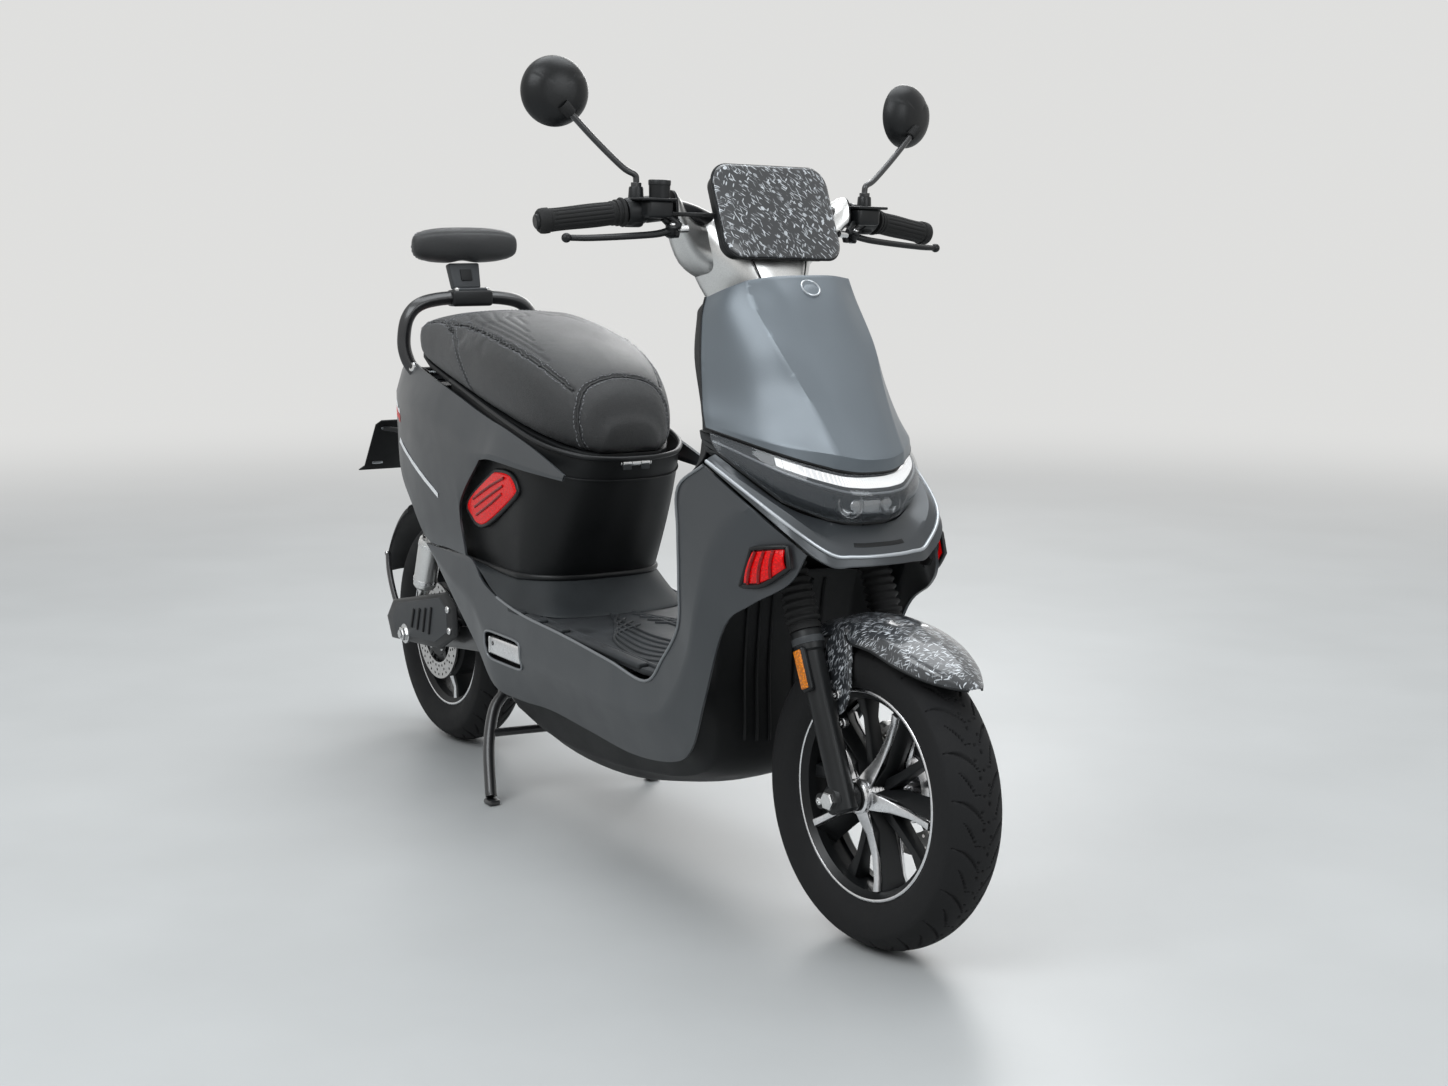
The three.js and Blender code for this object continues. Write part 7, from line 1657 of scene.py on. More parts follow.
def neck():
    """The cast cover of the neck, with an arm to each bar end"""
    levels = (
        (0.910, 0.058, -0.058, 0.052), (0.925, 0.061, -0.061, 0.055), (0.952, 0.065, -0.064, 0.070),
        (0.975, 0.063, -0.061, 0.082), (0.998, 0.058, -0.056, 0.090), (1.020, 0.049, -0.045, 0.094),
        (1.036, 0.042, -0.038, 0.091), (1.0405, 0.034, -0.030, 0.082)
    )
    rings = []
    for along, front, back, half in levels:
        centre = fork_spot(along, 0, (front + back) / 2)
        rings.append(soft_ring(centre, AXIS_AHEAD, Y_AXIS, (front - back) / 2, half, 3.0, 56))
    body = loft("neck_body", rings, CAST_SILVER, sharp=50, subdivide=1)
    steered(body, "steering", "neck_cover")
    ahead, up = Vector((1, 0, 0.2)).normalized(), Vector((-0.2, 0, 1)).normalized()
    for label, side in SIDES.items():
        inner = fork_spot(0.992, side * 0.050, -0.004)
        middle = fork_spot(1.012, side * 0.098, -0.004)
        outer = bar_spot(side * 0.146)
        line = smooth_line([inner, middle, outer], 5)
        arms = []
        for k, spot in enumerate(line):
            share = k / (len(line) - 1)
            arms.append(soft_ring(spot, ahead, up, 0.045 - 0.024 * share, 0.040 - 0.0175 * share, 2.8, 40))
        arm = loft(f"neck_arm_{label}", arms, CAST_SILVER, round_to=0.002, sharp=40)
        steered(arm, "steering")
        cap = soft_ring(outer + Vector((0, side * 0.0006, 0)), ahead, up, 0.0205, 0.0220, 2.8, 40)
        plug = loft(
            f"neck_cap_{label}", [cap, [p + Vector((0, side * 0.003, 0)) for p in cap]], PLASTIC_BLACK,
            round_to=0.001
        )
        steered(plug, "steering")
    for side in (-1, 1):
        line = []
        for along, front, back, half in levels[:-2]:
            line.append(fork_spot(along, side * half * 0.62, (front + back) / 2 + (front - back) / 2 * 0.95))
        crack = sweep(f"neck_seam_{TAGS[side]}", smooth_line(line, 4), 0.0011, PLASTIC_BLACK, sides=6)
        steered(crack, "steering")


def panel_frame():
    """Middle, up, face direction and half height of the instrument panel"""
    foot, head = at(437, 0, 907), at(385, 0, 1032)
    rise = head - foot
    up = rise.normalized()
    normal = Vector((rise.z, 0, -rise.x)).normalized()
    return (foot + head) / 2, up, normal, rise.length / 2


def panel_ring(inset, lift, corner, count=12):
    """A rounded outline of the instrument panel, at an inset and a lift"""
    middle, up, normal, half_height = panel_frame()
    half, high = PANEL_HALF_WIDTH - inset, half_height - inset
    corner = max(corner - inset, 0.004)
    ring = []
    for k, (sy, sz) in enumerate(((1, 1), (-1, 1), (-1, -1), (1, -1))):
        for j in range(count + 1):
            turn = math.radians(90 * k + 90 * j / count)
            y = sy * (half - corner) + corner * math.cos(turn)
            z = sz * (high - corner) + corner * math.sin(turn)
            crown = 0.006 * (1 - (y / PANEL_HALF_WIDTH) ** 2)
            ring.append(middle + Y_AXIS * y + up * z + normal * (lift - 0.006 + crown))
    return ring


def instrument_panel():
    """Cover, bead, housing and display of the instrument panel"""
    corner = 0.027
    shape = (
        (0.0035, -0.0045), (0.0, -0.0035), (0.0, -0.0006), (0.0014, 0.0006), (0.004, 0.0012),
        (0.014, 0.0018), (0.030, 0.0022), (0.050, 0.0024)
    )
    rings = [panel_ring(inset, lift, corner) for inset, lift in shape]
    cover = loft("panel_skin", rings, FORGED, sharp=40)
    steered(cover, "steering", "panel_cover")
    edge = panel_ring(-0.0004, -0.0038, corner)
    steered(sweep("panel_bead", edge, 0.0019, PLASTIC_BLACK, sides=8, closed=True), "steering")
    back = ((0.003, -0.005), (0.002, -0.010), (0.006, -0.026), (0.014, -0.034), (0.020, -0.0375))
    shell = loft(
        "panel_housing", [panel_ring(inset, lift, corner) for inset, lift in back], PLASTIC_BLACK, sharp=30
    )
    steered(shell, "steering", "instrument_panel")
    glass = loft(
        "panel_glass",
        [
            panel_ring(0.022, -0.0372, corner), panel_ring(0.022, -0.0386, corner),
            panel_ring(0.024, -0.0391, corner)
        ],
        GLASS_DARK, sharp=30
    )
    steered(glass, "steering")
    middle, up, normal, _ = panel_frame()
    for k in range(5):
        spot = middle + up * -0.022 + Y_AXIS * (0.012 * (k - 2)) - normal * 0.0452
        bar = block(
            f"panel_bar_{k}", spot, (0.0006, 0.008, 0.004 + 0.003 * k), WHITE_GLOW, 0.0002,
            turn=Matrix.Rotation(math.atan2(up.x, up.z), 4, "Y")
        )
        steered(bar, "steering")


def grip(side, label, body, node):
    """A ribbed grip with its flanges and end cap"""
    start, axis = bar_spot(side * GRIP_FROM), bar_axis(side)
    length = 0.1225
    u, v = frame_of(axis)
    spans = [
        (0.0004, 0.0145, 0), (0.0006, 0.0195, 0), (0.003, 0.0200, 0), (0.0045, 0.0192, 0),
        (0.0055, 0.0168, 0), (0.0080, 0.0164, 0), (0.0085, 0.0178, 0), (0.0115, 0.0178, 0),
        (0.012, 0.0160, 0), (0.0150, 0.0158, 0), (0.0155, 0.0166, 0), (0.018, 0.0166, 0),
        (0.0188, 0.0158, 0)
    ]
    for k in range(12):
        spans.append((0.021 + 0.0072 * k, GRIP_RADIUS - 0.0001 + 0.0004 * math.sin(k * 0.5), 1))
    spans += [
        (0.1045, 0.0158, 0), (0.1055, 0.0152, 0), (0.1075, 0.0152, 0), (0.1085, 0.0170, 0),
        (0.1150, 0.0172, 0), (0.1195, 0.0166, 0), (length, 0.0140, 0), (length + 0.0004, 0.0060, 0)
    ]
    rings = []
    count = 96
    for along, radius, ribbed in spans:
        ring = []
        for k in range(count):
            turn = 2 * math.pi * k / count
            cut = 0.0011 * max(0, math.cos(16 * turn)) ** 2 if ribbed else 0
            ring.append(start + axis * along + (radius - cut) * (math.cos(turn) * u + math.sin(turn) * v))
        rings.append(ring)
    obj = loft(f"grip_skin_{label}", rings, RUBBER, sharp=38)
    steered(obj, body, node)
    cap = lathe(
        f"grip_cap_{label}",
        [
            (length - 0.001, TIP), (length - 0.001, 0.0105), (length + 0.0032, 0.0100),
            (length + 0.0046, 0.0080), (length + 0.0046, TIP)
        ],
        start, axis, PLASTIC_SATIN, count=36, closed=False
    )
    steered(cap, body, slot="black_rubber")


def lever_points(side):
    """Pivot, tip, hinge axis and forward direction of a brake lever"""
    pivot = bar_spot(side * 0.156) + Vector((0.020, 0, -0.030))
    tip = bar_spot(side * 0.316) + Vector((0.041, 0, -0.023))
    reach = tip - pivot
    to_bar = bar_spot(side * 0.316) - pivot
    axis = (reach.cross(to_bar) * side).normalized()
    forward = axis.cross(reach).normalized() * -side
    return pivot, tip, axis, forward


def lever(side, label):
    """A brake lever blade with its ball and its eye"""
    pivot, tip, axis, forward = lever_points(side)
    away = tip - pivot
    route = [
        pivot + away * share + forward * out
        for share, out in (
            (0.0, 0.0), (0.1, 0.005), (0.22, 0.0075), (0.5, 0.0070), (0.8, 0.0045), (0.97, 0.0005)
        )
    ]
    line = smooth_line(route, 6)
    rings = []
    for k, spot in enumerate(line):
        share = k / (len(line) - 1)
        wide = 0.0062 - 0.0014 * share
        thin = 0.0042 - 0.0006 * share
        rings.append(soft_ring(spot, forward, axis, wide, thin, 2.4, 24))
    bar = loft(f"lever_blade_{label}", rings, PLASTIC_SATIN, round_to=0.0006, sharp=40)
    steered(bar, f"lever_{label}", f"brake_lever_{label}")
    line = [
        (-0.0068, 0.0012), (-0.0055, 0.0042), (-0.0022, 0.0066), (0.0022, 0.0066), (0.0055, 0.0042),
        (0.0068, 0.0012)
    ]
    ball = lathe(f"lever_ball_{label}", line, tip, away, PLASTIC_SATIN, count=32, closed=False, subdivide=1)
    steered(ball, f"lever_{label}")
    eye = [(-0.0045, 0.0045), (-0.0045, 0.0080), (0.0045, 0.0080), (0.0045, 0.0045)]
    steered(
        lathe(f"lever_eye_{label}", eye, pivot, axis, PLASTIC_SATIN, count=32, round_to=0.0005),
        f"lever_{label}"
    )


def pod(side, label):
    """Clamp and master cylinder, with the lever perch and the switches"""
    axis = bar_axis(side)
    start = bar_spot(side * 0.160)
    clamp = [
        (0.0, 0.0115), (0.0, 0.0165), (0.002, 0.0180), (0.022, 0.0180), (0.024, 0.0172), (0.026, 0.0172),
        (0.028, 0.0185), (0.049, 0.0185), (0.052, 0.0172), (0.052, 0.0115)
    ]
    shell = lathe(f"pod_clamp_{label}", clamp, start, axis, PLASTIC_SATIN, count=44, sharp=28)
    steered(shell, "steering", f"control_pod_{label}")
    mount = bar_spot(side * 0.178) + Vector((0.017, 0, 0))
    steered(block(f"master_{label}", mount, (0.034, 0.040, 0.024), PLASTIC_SATIN, 0.005), "steering")
    plate = block(
        f"master_lid_{label}", mount + Vector((-0.002, side * 0.004, 0.013)), (0.044, 0.054, 0.004),
        PLASTIC_SATIN, 0.0018
    )
    steered(plate, "steering")
    perch(side, label, mount)
    switches(side, label, start + axis * 0.038)
    if side < 0:
        reservoir(mount)


def perch(side, label, mount):
    """The perch that the brake lever turns in, with its arms and cable screw"""
    pivot, tip, lever_axis, _ = lever_points(side)
    for way in (-1, 1):
        ear = [
            (0.0052 * way, TIP), (0.0052 * way, 0.0085), (0.0078 * way, 0.0085), (0.0084 * way, 0.0075),
            (0.0084 * way, TIP)
        ]
        steered(
            lathe(
                f"perch_ear_{label}_{way + 1}", ear, pivot, lever_axis, PLASTIC_SATIN, count=32,
                closed=False
            ),
            "steering"
        )
        screw(
            f"perch_bolt_{label}_{way + 1}", pivot + lever_axis * 0.0084 * way, lever_axis * way, 0.0048,
            "steering", height=0.003, place=steered
        )
    inboard = (pivot - tip).normalized()
    for way in (-1, 1):
        line = [
            pivot + lever_axis * 0.0068 * way, pivot + inboard * 0.012 + lever_axis * 0.0066 * way,
            mount + Vector((0.002, side * -0.012, -0.008 + 0.004 * way))
        ]
        steered(
            sweep(f"perch_arm_{label}_{way + 1}", smooth_line(line, 4), 0.0042, PLASTIC_SATIN, sides=14),
            "steering"
        )
    barrel = [(-0.004, 0.0038), (-0.004, 0.0052), (0.010, 0.0052), (0.010, 0.0038)]
    spot = pivot + inboard * 0.016
    steered(
        lathe(f"cable_screw_{label}", barrel, spot, inboard, BRIGHT_STEEL, count=14, sharp=20), "steering"
    )


def switches(side, label, spot):
    """The switch box beside the grip and its keys"""
    box = block(
        f"switch_box_{label}", spot + Vector((-0.006, 0, -0.004)), (0.034, 0.020, 0.036), PLASTIC_SATIN,
        0.006
    )
    steered(box, "steering")
    for k, lift in enumerate((0.010, -0.012)):
        if side > 0 and k == 0:
            continue
        key = block(
            f"switch_{label}_{k}", spot + Vector((-0.0235, 0, lift - 0.004)), (0.005, 0.010, 0.008),
            PLASTIC_GREY, 0.0016
        )
        steered(key, "steering", slot="black_plastic")


def reservoir(mount):
    """Brake fluid cup with its sight glass"""
    cup = [
        (-0.012, TIP), (-0.012, 0.0138), (0.010, 0.0146), (0.0105, 0.0152), (0.0155, 0.0154),
        (0.017, 0.0148), (0.0175, 0.0128), (0.0175, TIP)
    ]
    pot = lathe(
        "reservoir", cup, mount + Vector((0.001, 0.006, 0.022)), (0, 0, 1), PLASTIC_SATIN, count=44,
        closed=False, sharp=28
    )
    steered(pot, "steering")
    sight = lathe(
        "sight_glass", [(0.0, TIP), (0.0, 0.0042), (0.0012, 0.0042), (0.0018, TIP)],
        mount + Vector((-0.0135, 0.006, 0.020)), (-1, 0, 0), MIRROR_GLASS, count=20, closed=False
    )
    steered(sight, "steering")


def mirror(side, label):
    """A round mirror on its stem"""
    root = bar_spot(side * 0.196)
    base = root + Vector((0, 0, 0.034))
    ball = Vector((BAR_MIDDLE.x - 0.003, side * 0.297, BAR_MIDDLE.z + 0.155))
    boss = [(0.004, 0.0105), (0.006, 0.0112), (0.030, 0.0098), (0.032, 0.0090), (0.032, 0.0050)]
    steered(
        lathe(
            f"mirror_boss_{label}", [(0.004, TIP), *boss, (0.032, TIP)], root, Z_AXIS, PLASTIC_SATIN,
            count=36, closed=False
        ),
        "steering"
    )
    nut = lathe(
        f"mirror_nut_{label}", [(0.0315, TIP), (0.0315, 0.0082), (0.0375, 0.0082), (0.0375, TIP)], root,
        Z_AXIS, STEEL_BLACK, count=6, closed=False, round_to=0.0006, sharp=20
    )
    steered(nut, "steering")
    line = [
        root + Vector((0, 0, 0.02)), base + Vector((0, 0, 0.006)), base + Vector((0, side * 0.003, 0.014)),
        base.lerp(ball, 0.2) + Vector((0, 0, 0.004)), base.lerp(ball, 0.6), ball
    ]
    stem = sweep(f"mirror_stem_{label}", smooth_line(line, 6), 0.0043, STEEL_BLACK, sides=20)
    steered(stem, "steering")
    mirror_head(side, label)
    cup = [(-0.011, 0.0052), (-0.010, 0.0075), (0.002, 0.0088), (0.008, 0.0080)]
    socket = lathe(f"mirror_socket_{label}", cup, ball, (base - ball) * -1, RUBBER, count=28, round_to=0.0005)
    steered(socket, f"mirror_{label}")


def mirror_head(side, label):
    """The domed shell of a mirror and its glass"""
    axis = Vector((math.cos(math.radians(12)), side * math.sin(math.radians(12)), 0))
    middle = Vector((BAR_MIDDLE.x - 0.030, side * 0.300, BAR_MIDDLE.z + 0.155 + MIRROR_RADIUS * 0.5))
    u, v = Vector((axis.y, -axis.x, 0)), Vector((0, 0, 1))
    rings = []
    profile = (
        (-0.005, 0.0405), (-0.0055, 0.0440), (-0.0035, 0.0468), (0.001, 0.0470), (0.008, 0.0450),
        (0.0150, 0.0400), (0.0205, 0.0330), (0.0245, 0.0250), (0.0272, 0.0160), (0.0284, 0.0070)
    )
    for along, radius in profile:
        ring = []
        for k in range(72):
            turn = 2 * math.pi * k / 72
            low = math.sin(turn) * radius < 0.014 + 0.012 * math.cos(2 * turn)
            hood = 0.0018 if low and radius > 0.02 and along > 0 else 0
            ring.append(middle + axis * (along + hood) + radius * (math.cos(turn) * u + math.sin(turn) * v))
        rings.append(ring)
    head = loft(f"mirror_shell_{label}", rings, PLASTIC_SATIN, sharp=60, subdivide=1)
    steered(head, f"mirror_{label}", f"mirror_{label}")
    glass = lathe(
        f"mirror_face_{label}",
        [(-0.0045, TIP), (-0.0045, 0.0408), (-0.0062, 0.0412), (-0.0068, 0.0400), (-0.0068, TIP)], middle,
        axis, MIRROR_GLASS, count=64, closed=False
    )
    steered(glass, f"mirror_{label}")


def controls():
    handlebar()
    neck()
    instrument_panel()
    for label, side in SIDES.items():
        grip(
            side, label, "throttle" if side < 0 else "steering",
            "throttle_grip" if side < 0 else "grip_left"
        )
        lever(side, label)
        pod(side, label)
        mirror(side, label)


controls()


# Soft forms, seams and stitches
SEAT_UNDER = 593.4
SEAT_SLOPE = 0.23
SEAT_STATIONS = (
    (-600, 62, 763), (-596, 84, 770), (-578, 110, 784), (-520, 124, 794), (-450, 128, 798),
    (-340, 130, 796), (-230, 128, 780), (-130, 120, 756), (-64, 102, 726), (-28, 78, 693), (-13, 57, 657),
    (-7, 47, 646), (-4, 34, 634),
)
SEAT_CROSS = (
    (0, 0), (0.90, 0), (0.965, 0.07), (0.99, 0.26), (1, 0.5), (0.985, 0.70), (0.955, 0.80), (0.89, 0.875),
    (0.74, 0.94), (0.45, 0.985), (0, 1),
)
NOSE_CROSS = (
    (0, 0), (0.86, 0), (0.94, 0.06), (0.985, 0.20), (0.99, 0.38), (0.95, 0.55), (0.88, 0.69), (0.77, 0.81),
    (0.60, 0.905), (0.33, 0.975), (0, 1),
)
# Sewn lines: how far along in millimetres, and how far up the section
EDGE_SEAM = (
    (-588, 0.60), (-560, 0.655), (-500, 0.70), (-420, 0.715), (-320, 0.71), (-220, 0.695), (-130, 0.685),
    (-80, 0.68), (-52, 0.67),
)
RIDGE_SEAM = ((-455, 0.705), (-428, 0.62), (-402, 0.54), (-375, 0.44), (-345, 0.32), (-325, 0.18))
NOSE_SEAM = ((-27, 0.16), (-31, 0.34), (-35, 0.50), (-40, 0.66), (-45, 0.80), (-47, 0.92))
# Shallow folds: the rear end, the front end and how far up the section
SEAT_VEINS = (
    (-430, -120, 0.76), (-415, -150, 0.80), (-400, -190, 0.84), (-385, -230, 0.88), (-365, -270, 0.92),
)
SEAM_DEPTH, SEAM_WIDTH = 0.0028, 0.0075
VEIN_DEPTH, VEIN_WIDTH = 0.0012, 0.0062
SEAT_GRID = []
# Cloth that is blown up for the cushions
CLOTH_FRAMES = 20
CLOTH_STIFFNESS = 25
CLOTH_BENDING = 4
CLOTH_PRESSURE = 4


def seat_under(x):
    """Height of the sloping underside of the seat"""
    return SEAT_UNDER - SEAT_SLOPE * x


def seat_grid():
    """Rows of the left half of the seat, worked out once"""
    if not SEAT_GRID:
        rows = []
        for x, half, crown in SEAT_STATIONS:
            ends = max(0, x + 13) + max(0, -592 - x)
            low = seat_under(x) + ends
            nose = min(1, max(0, (x + 260) / 220))
            cross = [Vector(box).lerp(Vector(arch), nose) for box, arch in zip(SEAT_CROSS, NOSE_CROSS)]
            rows.append([at(x, u * half, low + v * (crown - low)) for u, v in cross])
        SEAT_GRID.extend(smooth_grid(rows, 5, 4, (), (1,)))
    return SEAT_GRID


def on_seat(x, share, side):
    """A place on the seat: how far along, how far round from the underside to the crown, and which side"""
    grid = seat_grid()
    target = at(x, 0, 0).x
    row = min(range(1, len(grid) - 1), key=lambda k: abs(grid[k][0].x - target))
    before = row if grid[row][0].x <= target else row - 1
    t = (target - grid[before][0].x) / (grid[before + 1][0].x - grid[before][0].x)
    place = share * (len(grid[0]) - 1)
    column = min(int(place), len(grid[0]) - 2)
    s = place - column
    low = grid[before][column].lerp(grid[before][column + 1], s)
    high = grid[before + 1][column].lerp(grid[before + 1][column + 1], s)
    spot = low.lerp(high, t)
    return Vector((spot.x, side * spot.y, spot.z))


def plump(obj, voxel, cap, held):
    """Swells a closed form as cloth under pressure, up to a cap; the points that it rests on stay"""
    grid = obj.modifiers.new("grid", "REMESH")
    grid.mode = "VOXEL"
    grid.voxel_size = voxel
    finish_mesh(obj, 180)
    start = [v.co.copy() for v in obj.data.vertices]
    rest = obj.vertex_groups.new(name="held")
    rest.add([k for k, spot in enumerate(start) if held(spot)], 1, "REPLACE")
    cloth = obj.modifiers.new("cloth", "CLOTH")
    cloth.settings.quality = 5
    cloth.settings.tension_stiffness = CLOTH_STIFFNESS
    cloth.settings.compression_stiffness = CLOTH_STIFFNESS
    cloth.settings.bending_stiffness = CLOTH_BENDING
    cloth.settings.use_pressure = True
    cloth.settings.uniform_pressure_force = CLOTH_PRESSURE
    cloth.settings.vertex_group_mass = "held"
    cloth.settings.effector_weights.gravity = 0
    cloth.point_cache.frame_start = 1
    cloth.point_cache.frame_end = CLOTH_FRAMES
    scene = bpy.context.scene
    for step in range(1, CLOTH_FRAMES + 1):
        scene.frame_set(step)
    shaped = obj.evaluated_get(bpy.context.evaluated_depsgraph_get()).data
    moved = [v.co.copy() for v in shaped.vertices]
    obj.modifiers.clear()
    obj.vertex_groups.clear()
    for vertex, old, new in zip(obj.data.vertices, start, moved):
        shift = new - old
        vertex.co = old + shift * min(1, cap / max(shift.length, 1e-9))
    scene.frame_set(1)
    even = obj.modifiers.new("even", "SMOOTH")
    even.factor = 0.5
    even.iterations = 4
    soft = obj.modifiers.new("soft", "SUBSURF")
    soft.levels = 1
    finish_mesh(obj, 180)


def snapped(obj, line):
    """The line laid on the surface of a piece, with the surface direction at each point"""
    found = [obj.closest_point_on_mesh(p) for p in line]
    return [hit[1] for hit in found], [hit[2] for hit in found]


def press_lines(obj, lines, depth, width):
    """Draws the surface in along sewn lines"""
    spots = [p for line in lines for p in line]
    near = kdtree.KDTree(len(spots))
    for k, p in enumerate(spots):
        near.insert(p, k)
    near.balance()
    normals = [v.normal.copy() for v in obj.data.vertices]
    for vertex, normal in zip(obj.data.vertices, normals):
        away = near.find(vertex.co)[2]
        if away < width:
            vertex.co -= normal * depth * (0.5 + 0.5 * math.cos(math.pi * away / width)) ** 1.5
    obj.data.update()


def even_line(line, pitch):
    """The same line with points a fixed distance apart"""
    spots, left = [line[0].copy()], pitch
    for a, b in zip(line, line[1:]):
        length = (b - a).length
        done = 0
        while length - done >= left:
            done += left
            spots.append(a.lerp(b, done / length))
            left = pitch
        left -= length - done
    return spots


def stitches(name, obj, line, body, aside, pitch=0.0072, size=0.0008):
    """A row of thread stitches laid on a piece, beside a line"""
    spots, normals = snapped(obj, even_line(line, pitch))
    beside = [a + (b - a).cross(up).normalized() * aside for a, b, up in zip(spots, spots[1:], normals)]
    spots, normals = snapped(obj, beside)
    verts, faces = [], []
    for start, b, up in zip(spots, spots[1:], normals):
        over = (b - start).cross(up).normalized()
        for share, lift, thick in ((0.16, -0.2, 0.7), (0.3, 0.7, 1), (0.7, 0.7, 1), (0.84, -0.2, 0.7)):
            middle = start.lerp(b, share) + up * lift * size
            verts += circle(middle, over, up, size * thick, 5)
        first = len(verts) - 20
        for ring in range(3):
            for k in range(5):
                low = first + 5 * ring
                faces.append((low + k, low + (k + 1) % 5, low + 5 + (k + 1) % 5, low + 5 + k))
        faces += [tuple(range(first + 4, first - 1, -1)), tuple(range(first + 15, first + 20))]
    seat_on(make(name, verts, faces, THREAD, sharp=60), body)


def lifted(line, normals, height):
    """A line raised off a surface"""
    return [p + n * height for p, n in zip(line, normals)]


# Seat
def seat():
    """The cushion with its sewn seams, folds, piping and stitches"""
    half = seat_grid()
    rings = [row + mirrored(reversed(row[1:-1])) for row in half]
    obj = loft("seat_skin", rings, LEATHER, sharp=60)
    plump(obj, 0.0058, 0.007, lambda p: p.z < (seat_under(1000 * (p.x - SHIFT)) + 9) / 1000)
    seams = []
    for side in (-1, 1):
        edge = [on_seat(x, share, side) for x, share in EDGE_SEAM]
        ridge = [on_seat(x, share, side) for x, share in RIDGE_SEAM]
        seams.append((f"edge_{side + 1}", smooth_line(edge, 10)))
        seams.append((f"ridge_{side + 1}", smooth_line(ridge, 10)))
    nose = [on_seat(x, share, -1) for x, share in NOSE_SEAM]
    nose = nose + [on_seat(-48, 1, 1)] + mirrored(reversed(nose))
    seams.append(("nose", smooth_line(nose, 10)))
    across = [on_seat(-455, share, -1) for share in (0.705, 0.80, 0.90)]
    across = across + [on_seat(-448, 1, 1)] + mirrored(reversed(across))
    seams.append(("step", smooth_line(across, 10)))
    veins = []
    for side in (-1, 1):
        for rear, front, low in SEAT_VEINS:
            spots = [
                (rear, low + 0.075), (rear + 40, low + 0.04), (rear * 0.6 + front * 0.4, low + 0.01),
                (front, low - 0.012)
            ]
            veins.append(smooth_line([on_seat(x, min(0.985, share), side) for x, share in spots], 14))
    press_lines(obj, [snapped(obj, even_line(line, 0.002))[0] for _, line in seams], SEAM_DEPTH, SEAM_WIDTH)
    press_lines(obj, [snapped(obj, even_line(line, 0.002))[0] for line in veins], VEIN_DEPTH, VEIN_WIDTH)
    seat_on(obj, "seat", "seat_cushion")
    for name, line in seams:
        laid, normals = snapped(obj, even_line(line, 0.004))
        cord = sweep(f"seat_piping_{name}", lifted(laid, normals, 0.0004), 0.0017, LEATHER, sides=10)
        seat_on(cord, "seat")
        for aside, tag in ((0.0062, "a"), (-0.0062, "b")):
            stitches(f"seat_stitch_{name}_{tag}", obj, line, "seat", aside)
    seat_pan()


def seat_pan():
    """The pan under the cushion and its hinge"""
    rings = []
    for x, half, _ in SEAT_STATIONS[1:-2]:
        reach = half * 0.945
        low, high = seat_under(x) - 13.5, seat_under(x) - 0.5
        outline = [
            (-reach + 6, low), (reach - 6, low), (reach, low + 5), (reach, high), (-reach, high),
            (-reach, low + 5)
        ]
        rings.append([at(x, y, z) for y, z in outline])
    obj = loft("seat_pan", rings, PLASTIC_BLACK, round_to=0.0012, sharp=30)
    seat_on(obj, "seat", "seat_base")
    bridge = block("hinge_bridge", at(-16, 0, 582), (0.036, 0.014, 0.0035), BRIGHT_STEEL, 0.0012)
    seat_on(bridge, "seat")
    barrel = [(-0.0075, 0.0024), (-0.0075, 0.0056), (0.0075, 0.0056), (0.0075, 0.0024)]
    seat_on(lathe("hinge_barrel", barrel, at(4, 0, 582.5), Y_AXIS, BRIGHT_STEEL, count=28), "seat")
    pin = [
        (-0.027, TIP), (-0.027, 0.0044), (-0.0255, 0.0044), (-0.0255, 0.0023), (0.0255, 0.0023),
        (0.0255, 0.0044), (0.027, 0.0044), (0.027, TIP)
    ]
    seat_on(lathe("hinge_pin", pin, at(4, 0, 582.5), Y_AXIS, BRIGHT_STEEL, count=20, closed=False), "chassis")
    for side, tag in TAGS.items():
        knuckle = [
            (side * 0.0085, 0.0026), (side * 0.0085, 0.0058), (side * 0.0235, 0.0058),
            (side * 0.0235, 0.0026)
        ]
        eye = lathe(f"hinge_knuckle_{tag}", knuckle, at(4, 0, 582.5), Y_AXIS, BRIGHT_STEEL, count=28)
        seat_on(eye, "chassis")
        leaf = block(f"hinge_leaf_{tag}", at(8, side * 16, 577), (0.003, 0.014, 0.010), PLASTIC_GREY, 0.001)
        seat_on(leaf, "chassis")


# Backrest and its rail
PAD_MIDDLE = at(-640, 0, 912)
PAD_HALF = 0.101
PAD_HEIGHT = 0.064
PAD_DEPTH = 0.050
PAD_BOW = 0.016
RAIL_SPOTS = (
    (-606, 0, 820), (-606, 60, 818), (-605, 100, 808), (-607, 121, 784), (-612, 126, 745), (-609, 122, 716),
    (-600, 112, 694), (-582, 102, 684),
)


def pad_spot(across, turn):
    """A place on the pad: across from -1 to 1, and the angle round its section, 0 to the front"""
    swell = math.sqrt(max(0.02, 1 - abs(across) ** 3))
    c, s = math.cos(turn), math.sin(turn)
    depth = math.copysign(abs(c) ** 0.75, c) * (0.25 + 0.75 * swell) * PAD_DEPTH / 2
    height = math.copysign(abs(s) ** 0.75, s) * (0.35 + 0.65 * swell) * PAD_HEIGHT / 2
    if s < 0 and abs(across) < 0.3:
        height *= 1 - 0.14 * (0.5 + 0.5 * math.cos(math.pi * across / 0.3))
    return PAD_MIDDLE + Vector((depth + across**2 * PAD_BOW, across * PAD_HALF, height))


